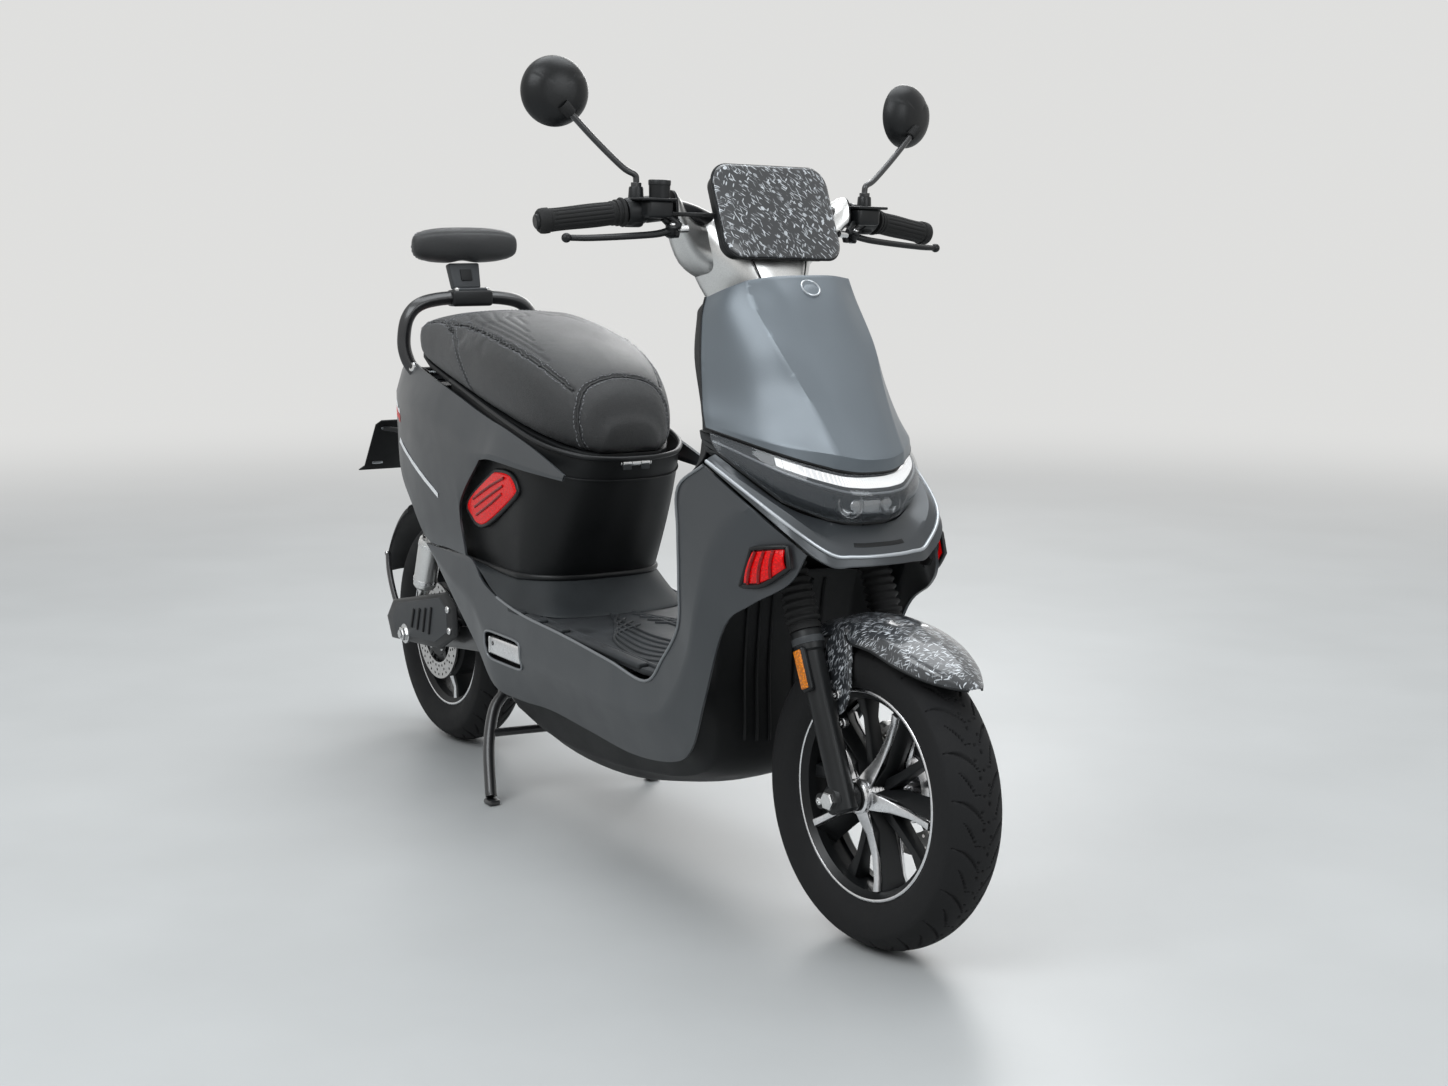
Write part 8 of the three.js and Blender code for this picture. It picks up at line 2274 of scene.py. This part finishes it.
def backrest():
    """The backrest pad with its piping and stitches"""
    steps = 30
    rings = [
        [pad_spot(-1 + 2 * k / steps, 2 * math.pi * j / 32) for j in range(32)] for k in range(steps + 1)
    ]
    obj = loft("backrest_skin", rings, LEATHER, sharp=60)
    plump(obj, 0.0046, 0.004, lambda p: p.z < PAD_MIDDLE.z - 0.45 * PAD_HEIGHT and abs(p.y) < 0.03)
    reach = [-0.96 + 1.92 * k / 24 for k in range(25)]
    back = [pad_spot(a, math.radians(128)) for a in reach] + [
        pad_spot(a, math.radians(232)) for a in reversed(reach)
    ]
    ring = smooth_line(back + [back[0]], 3)
    front = [pad_spot(a * 0.9, math.radians(38)) for a in reach]
    press_lines(obj, [snapped(obj, even_line(ring, 0.002))[0]], 0.0022, 0.006)
    press_lines(obj, [snapped(obj, even_line(smooth_line(front, 2), 0.002))[0]], 0.0009, 0.005)
    seat_on(obj, "chassis", "backrest_pad")
    laid, normals = snapped(obj, even_line(ring, 0.004))
    seat_on(sweep("backrest_piping", lifted(laid, normals, 0.0004), 0.0016, THREAD, sides=10), "chassis")
    stitches("backrest_stitch", obj, ring, "chassis", 0.0055)


def square_bar(name, line, half, stuff, power=3.4, **shape):
    """A bar with a squarish section along a line"""
    rings, side = [], None
    for k, spot in enumerate(line):
        axis = (line[min(k + 1, len(line) - 1)] - line[max(k - 1, 0)]).normalized()
        if side is None:
            side = frame_of(axis)[0]
        side = (side - axis * side.dot(axis)).normalized()
        rings.append(soft_ring(spot, side, axis.cross(side), half, half, power, 28))
    return loft(name, rings, stuff, **shape)


def grab_rail():
    """The rail round the tail, with the saddle and stem that carry the backrest"""
    half = [at(*spot) for spot in RAIL_SPOTS]
    line = smooth_line(mirrored(reversed(half)) + half[1:], 8)
    rail = square_bar("rail_tube", line, 0.0105, STEEL_BLACK, round_to=0.002, sharp=30)
    seat_on(rail, "chassis", "grab_rail")
    saddle = block("rail_saddle", at(-606, 0, 819), (0.034, 0.078, 0.029), PLASTIC_SATIN, 0.006)
    seat_on(saddle, "chassis")
    cap = block("rail_saddle_cap", at(-603, 0, 834), (0.022, 0.060, 0.006), PLASTIC_GREY, 0.0025)
    seat_on(cap, "chassis")
    front = [at(-613, -26, 836), at(-613, 26, 836), at(-629, 30, 881), at(-629, -30, 881)]
    stem = slab("rail_stem", front, (-0.018, 0, -0.004), PLASTIC_GREY, 0.004, segments=3)
    seat_on(stem, "chassis")
    recess = [at(-615.5, -11, 850), at(-615.5, 11, 850), at(-622.5, 11, 870), at(-622.5, -11, 870)]
    seat_on(slab("rail_stem_recess", recess, (-0.003, 0, -0.001), PLASTIC_BLACK, 0.0015), "chassis")
    for side, tag in TAGS.items():
        screw(
            f"rail_saddle_screw_{tag}", at(-596, side * 29, 835), (0.1, 0, 1), 0.0042, "chassis",
            height=0.003
        )
        screw(
            f"rail_end_bolt_{tag}", at(-594, side * 117, 700), (0.2, side, 0.3), 0.0085, "chassis",
            height=0.005
        )
        boot = [(-0.006, 0.011), (-0.006, 0.0135), (0.004, 0.0145), (0.008, 0.0125), (0.008, 0.0105)]
        foot = lathe(
            f"rail_boot_{tag}", boot, at(-586, side * 105, 686), (0.75, -side * 0.4, -0.5), RUBBER, count=36
        )
        seat_on(foot, "chassis")


# Lamps on the body
def tail_lamp():
    """Ribbed red lamp across the tail"""
    half = [(-699.5, 0), (-699, 40), (-694, 68), (-684, 84), (-674, 89)]
    levels = ((690, -1), (684, 0), (660, 0), (636, 0.5), (618, 1.5), (612, 3))
    rows = []
    for z, step in levels:
        slope = (690 - z) * 0.02
        rows.append([at(x + 0.9 * step - slope + (24 * (z > 686)), y, z) for x, y in half])
    grid = smooth_grid([both_sides(row) for row in rows], 3, 5)
    lens = sheet("tail_lens", grid, RED, (-1, 0, 0), 0.004, round_to=0.001)
    seat_on(lens, "chassis", "tail_lamp")
    back = [[p + Vector((0.010, 0, 0)) for p in row] for row in grid]
    seat_on(sheet("tail_reflector", back, MIRROR_GLASS, (-1, 0, 0), 0.003), "chassis", slot="silver")
    for k, row in enumerate((grid[6], grid[9], grid[12])):
        bar = [p + Vector((-0.0012, 0, 0)) for p in row[4:-4]]
        seat_on(sweep(f"tail_rib_{k}", bar, 0.0022, RED_DARK, sides=10), "chassis")
    rim = [p + Vector((0.001, 0, 0)) for p in rim_of(grid)]
    seat_on(sweep("tail_bezel", rim, 0.0038, PLASTIC_SATIN, sides=12, closed=True), "chassis")
    round_eye = [(-0.002, TIP), (-0.002, 0.0125), (0.0015, 0.0125), (0.0026, 0.0095), (0.003, TIP)]
    for side, tag in TAGS.items():
        spot = at(-699.5, side * 56, 648)
        eye = lathe(f"tail_eye_{tag}", round_eye, spot, (-1, side * 0.3, 0), RED_DARK, count=40, closed=False)
        seat_on(eye, "chassis")


def plate_holder():
    """The plate board on its arm, with braces and a small light"""
    head, foot = at(-862, 0, 581), at(-935, 0, 481)
    down = (foot - head).normalized()
    normal = Y_AXIS.cross(down).normalized()
    height = (foot - head).length
    corners = []
    for side, drop, start in ((1, 0, 0), (1, 1, 90), (-1, 1, 180), (-1, 0, 270)):
        centre = head + down * (0.010 if drop == 0 else height - 0.010) + Y_AXIS * side * 0.080
        for k in range(5):
            turn = math.radians(start + 90 * k / 4)
            corners.append(
                centre + Y_AXIS * 0.010 * math.cos(turn) + down * 0.010 * math.sin(turn - math.pi / 2)
            )
    board = slab("plate_board", corners, normal * 0.0028, PLASTIC_BLACK, 0.0009)
    seat_on(board, "chassis", "plate_holder")
    for side, tag in TAGS.items():
        for row, drop in (("top", 0.018), ("low", height - 0.018)):
            middle = head + down * drop + Y_AXIS * side * 0.056 + normal * 0.0014
            slot = soft_ring(middle - normal * 0.0019, Y_AXIS, down, 0.011, 0.0032, 4, 28)
            inlay = slab(f"plate_slot_{row}_{tag}", slot, normal * 0.0038, SILVER_AND_HIGHLIGHT, 0.0003)
            seat_on(inlay, "chassis")
    arm = smooth_line(
        [
            at(-610, 0, 600), at(-640, 0, 596), at(-700, 0, 588), at(-760, 0, 577), at(-830, 0, 556),
            at(-884, 0, 545)
        ],
        6
    )
    seat_on(square_bar("plate_arm", arm, 0.0088, PLASTIC_SATIN, round_to=0.001), "chassis")
    for k, out_share in enumerate((-1, 1)):
        rib = [at(-700, 4 * out_share, 590), at(-790, 30 * out_share, 566), at(-868, 62 * out_share, 566)]
        brace = square_bar(f"plate_brace_{k}", smooth_line(rib, 6), 0.0045, PLASTIC_SATIN)
        seat_on(brace, "chassis")
    hood = [at(-836, -30, 590), at(-836, 30, 590), at(-872, 26, 586), at(-872, -26, 586)]
    seat_on(slab("plate_light_hood", hood, (0, 0, -0.014), PLASTIC_SATIN, 0.004), "chassis")
    strip = [at(-846, -18, 575.6), at(-846, 18, 575.6), at(-864, 16, 574.6), at(-864, -16, 574.6)]
    seat_on(slab("plate_light", strip, (0, 0, -0.002), LENS, 0.0006), "chassis")


def front_lamp(side, label):
    """Red lamp let into the front of a flank"""
    top = smooth_line([at(585, side * 149, 534), at(610, side * 139, 538.5), at(633, side * 125, 541)], 8)
    low = smooth_line([at(562, side * 151, 482), at(600, side * 142, 488), at(640, side * 126, 514)], 8)
    out = Vector((0.25, side, 0)).normalized()
    rows = []
    for k in range(7):
        t = k / 6
        bulge = math.sin(math.pi * t) * 0.0035
        rows.append([a.lerp(b, 0.08 + 0.84 * t) + out * bulge for a, b in zip(top[1:-1], low[1:-1])])
    lens = sheet(f"front_lamp_lens_{label}", rows, RED, tuple(out), 0.004, round_to=0.0012)
    seat_on(lens, "chassis", f"front_lamp_{label}")
    for k, column in enumerate((2, 6, 10)):
        rib = [row[column] + out * 0.0012 for row in rows]
        seat_on(sweep(f"front_lamp_rib_{k}_{label}", rib, 0.0024, RED_DARK, sides=10), "chassis")
    rim = top + [top[-1].lerp(low[-1], 0.5)] + list(reversed(low)) + [top[0].lerp(low[0], 0.5)]
    rim = [p - out * 0.0015 for p in rim]
    seat_on(sweep(f"front_lamp_bezel_{label}", rim, 0.0034, PLASTIC_SATIN, sides=12, closed=True), "chassis")
    back = [[p - out * 0.010 for p in row] for row in rows]
    seat_on(sheet(f"front_lamp_back_{label}", back, PLASTIC_BLACK, tuple(out), 0.003), "chassis")


def side_lamp(side, label):
    """Ribbed red lamp low on the rear flank"""
    spots = (
        (-333, 478), (-318, 502), (-236, 548), (-212, 556), (-165, 555), (-141, 537), (-150, 519),
        (-256, 463), (-302, 459)
    )
    middle = at(-236, 0, 508)

    def outline(share, out):
        line = closed_line([at(x, side * out, z) for x, z in spots], 4)
        return [
            Vector((middle.x + (p.x - middle.x) * share, p.y, middle.z + (p.z - middle.z) * share))
            for p in line
        ]

    rings = [
        outline(0.94, 128), outline(0.94, 136), outline(0.90, 138.5), outline(0.60, 140),
        outline(0.25, 140.4)
    ]
    lens = loft(f"side_lamp_lens_{label}", rings, RED, sharp=24)
    seat_on(lens, "chassis", f"side_lamp_{label}")
    bezel = sweep(
        f"side_lamp_bezel_{label}", outline(0.985, 133), 0.0042, PLASTIC_SATIN, sides=12, closed=True
    )
    seat_on(bezel, "chassis")
    back = slab(f"side_lamp_back_{label}", outline(1.04, 124), (0, side * 0.004, 0), PLASTIC_BLACK, 0.001)
    seat_on(back, "chassis")
    for k, drop in enumerate((-15, 0, 15)):
        rib = [
            at(-292 + 0.4 * drop, side * 140, 488 - 0.85 * drop), at(-236, side * 141, 512 - drop),
            at(-184 - 0.3 * drop, side * 140, 534 - 0.9 * drop)
        ]
        seat_on(
            sweep(f"side_lamp_rib_{k}_{label}", smooth_line(rib, 6), 0.0024, RED_DARK, sides=10), "chassis"
        )


# Footpegs
def footpeg(side, label):
    """A folded footpeg in its pocket"""
    centre = at(-174, side * 141.5, 268)
    body = block(f"peg_body_{label}", centre, (0.116, 0.0125, 0.031), MACHINED, 0.0045)
    seat_on(body, f"footpeg_{label}", f"footpeg_{label}")
    for k in range(6):
        spot = centre + Vector((-0.040 + 0.016 * k, 0, 0.0155))
        bar = block(f"peg_rib_{k}_{label}", spot, (0.009, 0.0095, 0.0012), RUBBER, 0.0005)
        seat_on(bar, f"footpeg_{label}")
    hole = [(0, 0.0018), (0, 0.0034), (0.0008, 0.0034), (0.0008, 0.0018)]
    ring = lathe(
        f"peg_eye_{label}", hole, centre + Vector((-0.041, side * 0.0058, 0.004)), (0, side, 0),
        PLASTIC_BLACK, count=20
    )
    seat_on(ring, f"footpeg_{label}")
    for end in (-1, 1):
        cap = block(
            f"peg_end_{end + 1}_{label}", centre + Vector((end * 0.0555, side * 0.0005, 0)),
            (0.006, 0.0125, 0.028), BRIGHT_STEEL, 0.002
        )
        seat_on(cap, f"footpeg_{label}")
    pin = [(-0.066, TIP), (-0.066, 0.0036), (0.066, 0.0036), (0.066, TIP)]
    seat_on(
        lathe(
            f"peg_pin_{label}", pin, at(-174, side * 139.5, 258), (1, 0, 0), BRIGHT_STEEL, count=20,
            closed=False
        ),
        "chassis"
    )


# Rear suspension
AXLE_SPOT = at(-673.5, 0, 208)
SWING_PIVOT = at(-345, 0, 245)
REAR_CALIPER_TURN = 20
HUGGER_RADIUS = 0.258
COVER_OUTLINE = ((-766, 226), (-734, 262), (-490, 312), (-452, 292), (-448, 240), (-520, 205), (-745, 188))


def swing_side(side, label):
    """One side of the swingarm, with its cover and the end of the axle"""
    along = AXLE_SPOT - SWING_PIVOT
    lean = math.atan2(along.z, along.x)
    outline = []
    for spot, start, radius in ((SWING_PIVOT, -90, 0.021), (AXLE_SPOT, 90, 0.0195)):
        for k in range(13):
            turn = lean + math.radians(start + 180 + 15 * k)
            outline.append(spot + Vector((radius * math.cos(turn), side * 0.0765, radius * math.sin(turn))))
    arm = slab(f"swing_arm_{label}", outline, (0, side * 0.008, 0), STEEL_BLACK, 0.002)
    seat_on(arm, "swingarm", *(["swingarm"] if side < 0 else []))
    swing_cover(side, label)
    axle_end(side, label)


def swing_cover(side, label):
    """The plastic cover of an arm, with a raised facet and dark slots"""
    middle = at(-600, 0, 250)

    def cover(share, out):
        spots = [at(x, side * out, z) for x, z in COVER_OUTLINE]
        return [
            Vector((middle.x + (p.x - middle.x) * share, p.y, middle.z + (p.z - middle.z) * share))
            for p in spots
        ]

    plate = loft(
        f"swing_cover_{label}", [cover(1, 104), cover(1, 107.5), cover(0.93, 111)], PLASTIC_SATIN,
        round_to=0.0018, sharp=20
    )
    seat_on(plate, "swingarm")
    inner = [cover(0.80, 110.2), cover(0.78, 112.2)]
    facet = loft(f"swing_facet_{label}", inner, PLASTIC_GREY, round_to=0.0008, sharp=20)
    seat_on(facet, "swingarm")
    for k in range(4):
        x = -560 - 26 * k
        low, high = at(x, side * 111.9, 226), at(x + 14, side * 111.9, 276 - 5 * k)
        slot = square_bar(
            f"swing_slot_{k}_{label}", [low, low.lerp(high, 0.5), high], 0.0032, PLASTIC_BLACK,
            round_to=0.0008
        )
        seat_on(slot, "swingarm")


def axle_end(side, label):
    """Washer, nut and spacer of the rear axle, with the screws and posts of the cover"""
    axis = Vector((0, side, 0))
    washer = [(0.1085, TIP), (0.1085, 0.0185), (0.1115, 0.0185), (0.1125, 0.0175), (0.1125, TIP)]
    seat_on(
        lathe(f"rear_washer_{label}", washer, AXLE_SPOT, axis, BRIGHT_STEEL, count=48, closed=False),
        "swingarm"
    )
    nut = [
        (0.112, TIP), (0.112, 0.0132), (0.1185, 0.0132), (0.1195, 0.0118), (0.1195, 0.0085),
        (0.1225, 0.0080), (0.1225, TIP)
    ]
    seat_on(
        lathe(f"rear_nut_{label}", nut, AXLE_SPOT, axis, BRIGHT_STEEL, count=6, closed=False, sharp=20),
        "swingarm"
    )
    for k, (x, z) in enumerate(((-476, 283), (-470, 246))):
        screw(
            f"swing_bolt_{k}_{label}", at(x, side * 111.5, z), (0, side, 0), 0.0064, "swingarm",
            height=0.0035
        )
    for name, spot, radius in (("front", at(-500, 0, 250), 0.012), ("rear", AXLE_SPOT, 0.016)):
        start = spot + axis * 0.080
        post = lathe(
            f"swing_post_{name}_{label}",
            [(0, radius * 0.9), (0, radius), (0.026, radius), (0.026, radius * 0.9)], start, axis,
            STEEL_BLACK, count=28, closed=False
        )
        seat_on(post, "swingarm")
    spacer = [(0.0455, 0.0105), (0.0455, 0.0145), (0.078, 0.0145), (0.078, 0.0105)]
    seat_on(lathe(f"axle_spacer_{label}", spacer, AXLE_SPOT, axis, MACHINED, count=36), "swingarm")


def swingarm():
    """Both arms, the pivot tube, the brace, the hugger and the rear caliper"""
    for label, side in SIDES.items():
        swing_side(side, label)
    tube = [
        (-0.077, 0.0105), (-0.077, 0.0185), (-0.074, 0.0195), (0.074, 0.0195), (0.077, 0.0185),
        (0.077, 0.0105)
    ]
    seat_on(lathe("swing_pivot_tube", tube, SWING_PIVOT, Y_AXIS, STEEL_BLACK, count=40), "swingarm")
    brace = [(-0.077, TIP), (-0.077, 0.0135), (0.077, 0.0135), (0.077, TIP)]
    seat_on(
        lathe("swing_brace", brace, at(-424, 0, 252), Y_AXIS, STEEL_BLACK, count=32, closed=False),
        "swingarm"
    )
    hugger()
    rear_caliper()


def hugger():
    """Short mudguard close over the rear wheel, on two stays"""
    cross = (
        (-1, 0.925), (-0.96, 0.955), (-0.8, 0.978), (-0.4, 0.996), (0, 1), (0.4, 0.996), (0.8, 0.978),
        (0.96, 0.955), (1, 0.925)
    )
    rows = []
    for angle, width in ((121, 0.90), (124, 0.98), (132, 1), (142, 1), (152, 1), (159, 0.95), (162, 0.84)):
        rows.append(
            [
                wheel_spot(AXLE_SPOT, HUGGER_RADIUS * share, angle, across * width * 0.054)
                for across, share in cross
            ]
        )
    grid = smooth_grid(rows, 6, 4)
    seat_on(sheet("hugger_skin", grid, PLASTIC_SATIN, (-1, 0, 1), 0.0028, round_to=0.0009), "swingarm")
    seat_on(sweep("hugger_bead", rim_of(grid), 0.0018, PLASTIC_SATIN, sides=8, closed=True), "swingarm")
    for side, tag in TAGS.items():
        start = wheel_spot(AXLE_SPOT, HUGGER_RADIUS * 0.955, 152, side * 0.0518)
        stay = [
            start, at(-850, side * 66, 290), at(-790, side * 78, 245), at(-735, side * 80, 222),
            at(-692, side * 80, 212)
        ]
        seat_on(sweep(f"hugger_stay_{tag}", smooth_line(stay, 8), 0.0055, STEEL_BLACK, sides=16), "swingarm")
        tab = wheel_spot(AXLE_SPOT, HUGGER_RADIUS * 0.95, 152, side * 0.0545)
        screw(f"hugger_bolt_{tag}", tab, (0, side, 0), 0.0058, "swingarm", height=0.0035)


def rear_caliper():
    """Brake caliper on the right arm"""
    spot = wheel_spot(AXLE_SPOT, CALIPER_RADIUS, REAR_CALIPER_TURN, -0.0625)
    turn = Matrix.Rotation(-math.radians(REAR_CALIPER_TURN), 4, "Y")
    body = block("rear_caliper_body", spot, (0.044, 0.022, 0.058), CAST_SILVER, 0.006, turn=turn)
    seat_on(body, "swingarm", slot="silver")
    for k in (-1, 1):
        place = spot + turn @ Vector((0, 0, 0.017 * k)) + Vector((0, -0.0105, 0))
        screw(f"rear_caliper_bolt_{k + 1}", place, (0, -1, 0), 0.0056, "swingarm")



# Shock absorbers
SPRING_STEPS = 96
SPRING_TURNS = 4.5
SPRING_RADIUS = 0.0140
SPRING_FROM, SPRING_LENGTH = 0.1555, 0.0545


def shock(side, label):
    """A damper with its body, rod and spring"""
    top, foot = at(-555, side * 93, 475), at(-640, side * 93, 252)
    axis = (top - foot).normalized()
    can = [
        (0.052, 0.0100), (0.052, 0.0165), (0.057, 0.0205), (0.062, 0.0210), (0.146, 0.0210),
        (0.151, 0.0200), (0.152, 0.0180), (0.152, 0.0100)
    ]
    seat_on(
        lathe(f"shock_can_{label}", can, foot, axis, CAST_SILVER, count=48, closed=False, sharp=26),
        f"shock_body_{label}", f"shock_body_{label}"
    )
    for k, along in enumerate((0.068, 0.141)):
        band = [
            (along - 0.003, 0.0209), (along - 0.003, 0.0219), (along + 0.003, 0.0219),
            (along + 0.003, 0.0209)
        ]
        seat_on(
            lathe(f"shock_band_{k}_{label}", band, foot, axis, BRIGHT_STEEL, count=48),
            f"shock_body_{label}"
        )
    neck_line = [(0.006, 0.0055), (0.006, 0.0100), (0.040, 0.0095), (0.053, 0.0135), (0.053, 0.0055)]
    seat_on(
        lathe(f"shock_neck_{label}", neck_line, foot, axis, CAST_SILVER, count=32, closed=False),
        f"shock_body_{label}"
    )
    for name, spot, body in (("low", foot, f"shock_body_{label}"), ("high", top, f"shock_rod_{label}")):
        eye = [(-0.0065, 0.0065), (-0.0065, 0.0112), (0.0065, 0.0112), (0.0065, 0.0065)]
        seat_on(lathe(f"shock_eye_{name}_{label}", eye, spot, Y_AXIS, CAST_SILVER, count=36), body)
    rod = [(0.145, TIP), (0.145, 0.0068), (0.230, 0.0068), (0.230, TIP)]
    seat_on(
        lathe(f"shock_rod_{label}", rod, foot, axis, BRIGHT_STEEL, count=32, closed=False),
        f"shock_rod_{label}", f"shock_rod_{label}"
    )
    stop = [(0.214, 0.0067), (0.214, 0.0160), (0.217, 0.0170), (0.222, 0.0165), (0.225, 0.0067)]
    seat_on(lathe(f"shock_stop_{label}", stop, foot, axis, PLASTIC_BLACK, count=36), f"shock_rod_{label}")
    shock_spring(label, foot, axis)


def shock_spring(label, foot, axis):
    """The spring on the rod"""
    u, v = frame_of(axis)
    coil = []
    for k in range(SPRING_STEPS + 1):
        share = k / SPRING_STEPS
        turn = 2 * math.pi * SPRING_TURNS * share
        coil.append(
            foot + axis * (SPRING_FROM + SPRING_LENGTH * share) + SPRING_RADIUS * (
                math.cos(turn) * u + math.sin(turn) * v
            )
        )
    spring = sweep(f"shock_spring_{label}", coil, 0.0023, STEEL_BLACK, sides=12)
    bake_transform(spring)


# Centre stand
def centre_stand():
    """Stand with two legs, feet and a cross bar"""
    pivot = at(-300, 0, 166)
    tube = [
        (-0.096, 0.0065), (-0.096, 0.0092), (-0.094, 0.0100), (0.094, 0.0100), (0.096, 0.0092),
        (0.096, 0.0065)
    ]
    seat_on(lathe("stand_tube", tube, pivot, Y_AXIS, STEEL_BLACK, count=36), "stand", "centre_stand")
    for side, tag in TAGS.items():
        leg = [
            at(-300, side * 88, 166), at(-292, side * 112, 140), at(-262, side * 136, 88),
            at(-228, side * 150, 26), at(-221, side * 152, 13)
        ]
        seat_on(sweep(f"stand_leg_{tag}", smooth_line(leg, 8), 0.0098, STEEL_BLACK, sides=24), "stand")
        pad = [
            at(-234, side * 152 - 10, 0.3), at(-206, side * 152 - 10, 0.3), at(-208, side * 152 - 9, 9),
            at(-232, side * 152 - 9, 9)
        ]
        seat_on(slab(f"stand_foot_{tag}", pad, (0, 0.020, 0), STEEL_BLACK, 0.003), "stand")
    bar = [at(-271, y, 103 + 4 * abs(y) / 128) for y in (-128, -64, 0, 64, 128)]
    seat_on(sweep("stand_bar", smooth_line(bar, 6), 0.0070, STEEL_BLACK, sides=18), "stand")


def rear_parts():
    seat()
    backrest()
    grab_rail()
    tail_lamp()
    plate_holder()
    for label, side in SIDES.items():
        front_lamp(side, label)
        side_lamp(side, label)
        footpeg(side, label)
        shock(side, label)
    swingarm()
    centre_stand()


rear_parts()
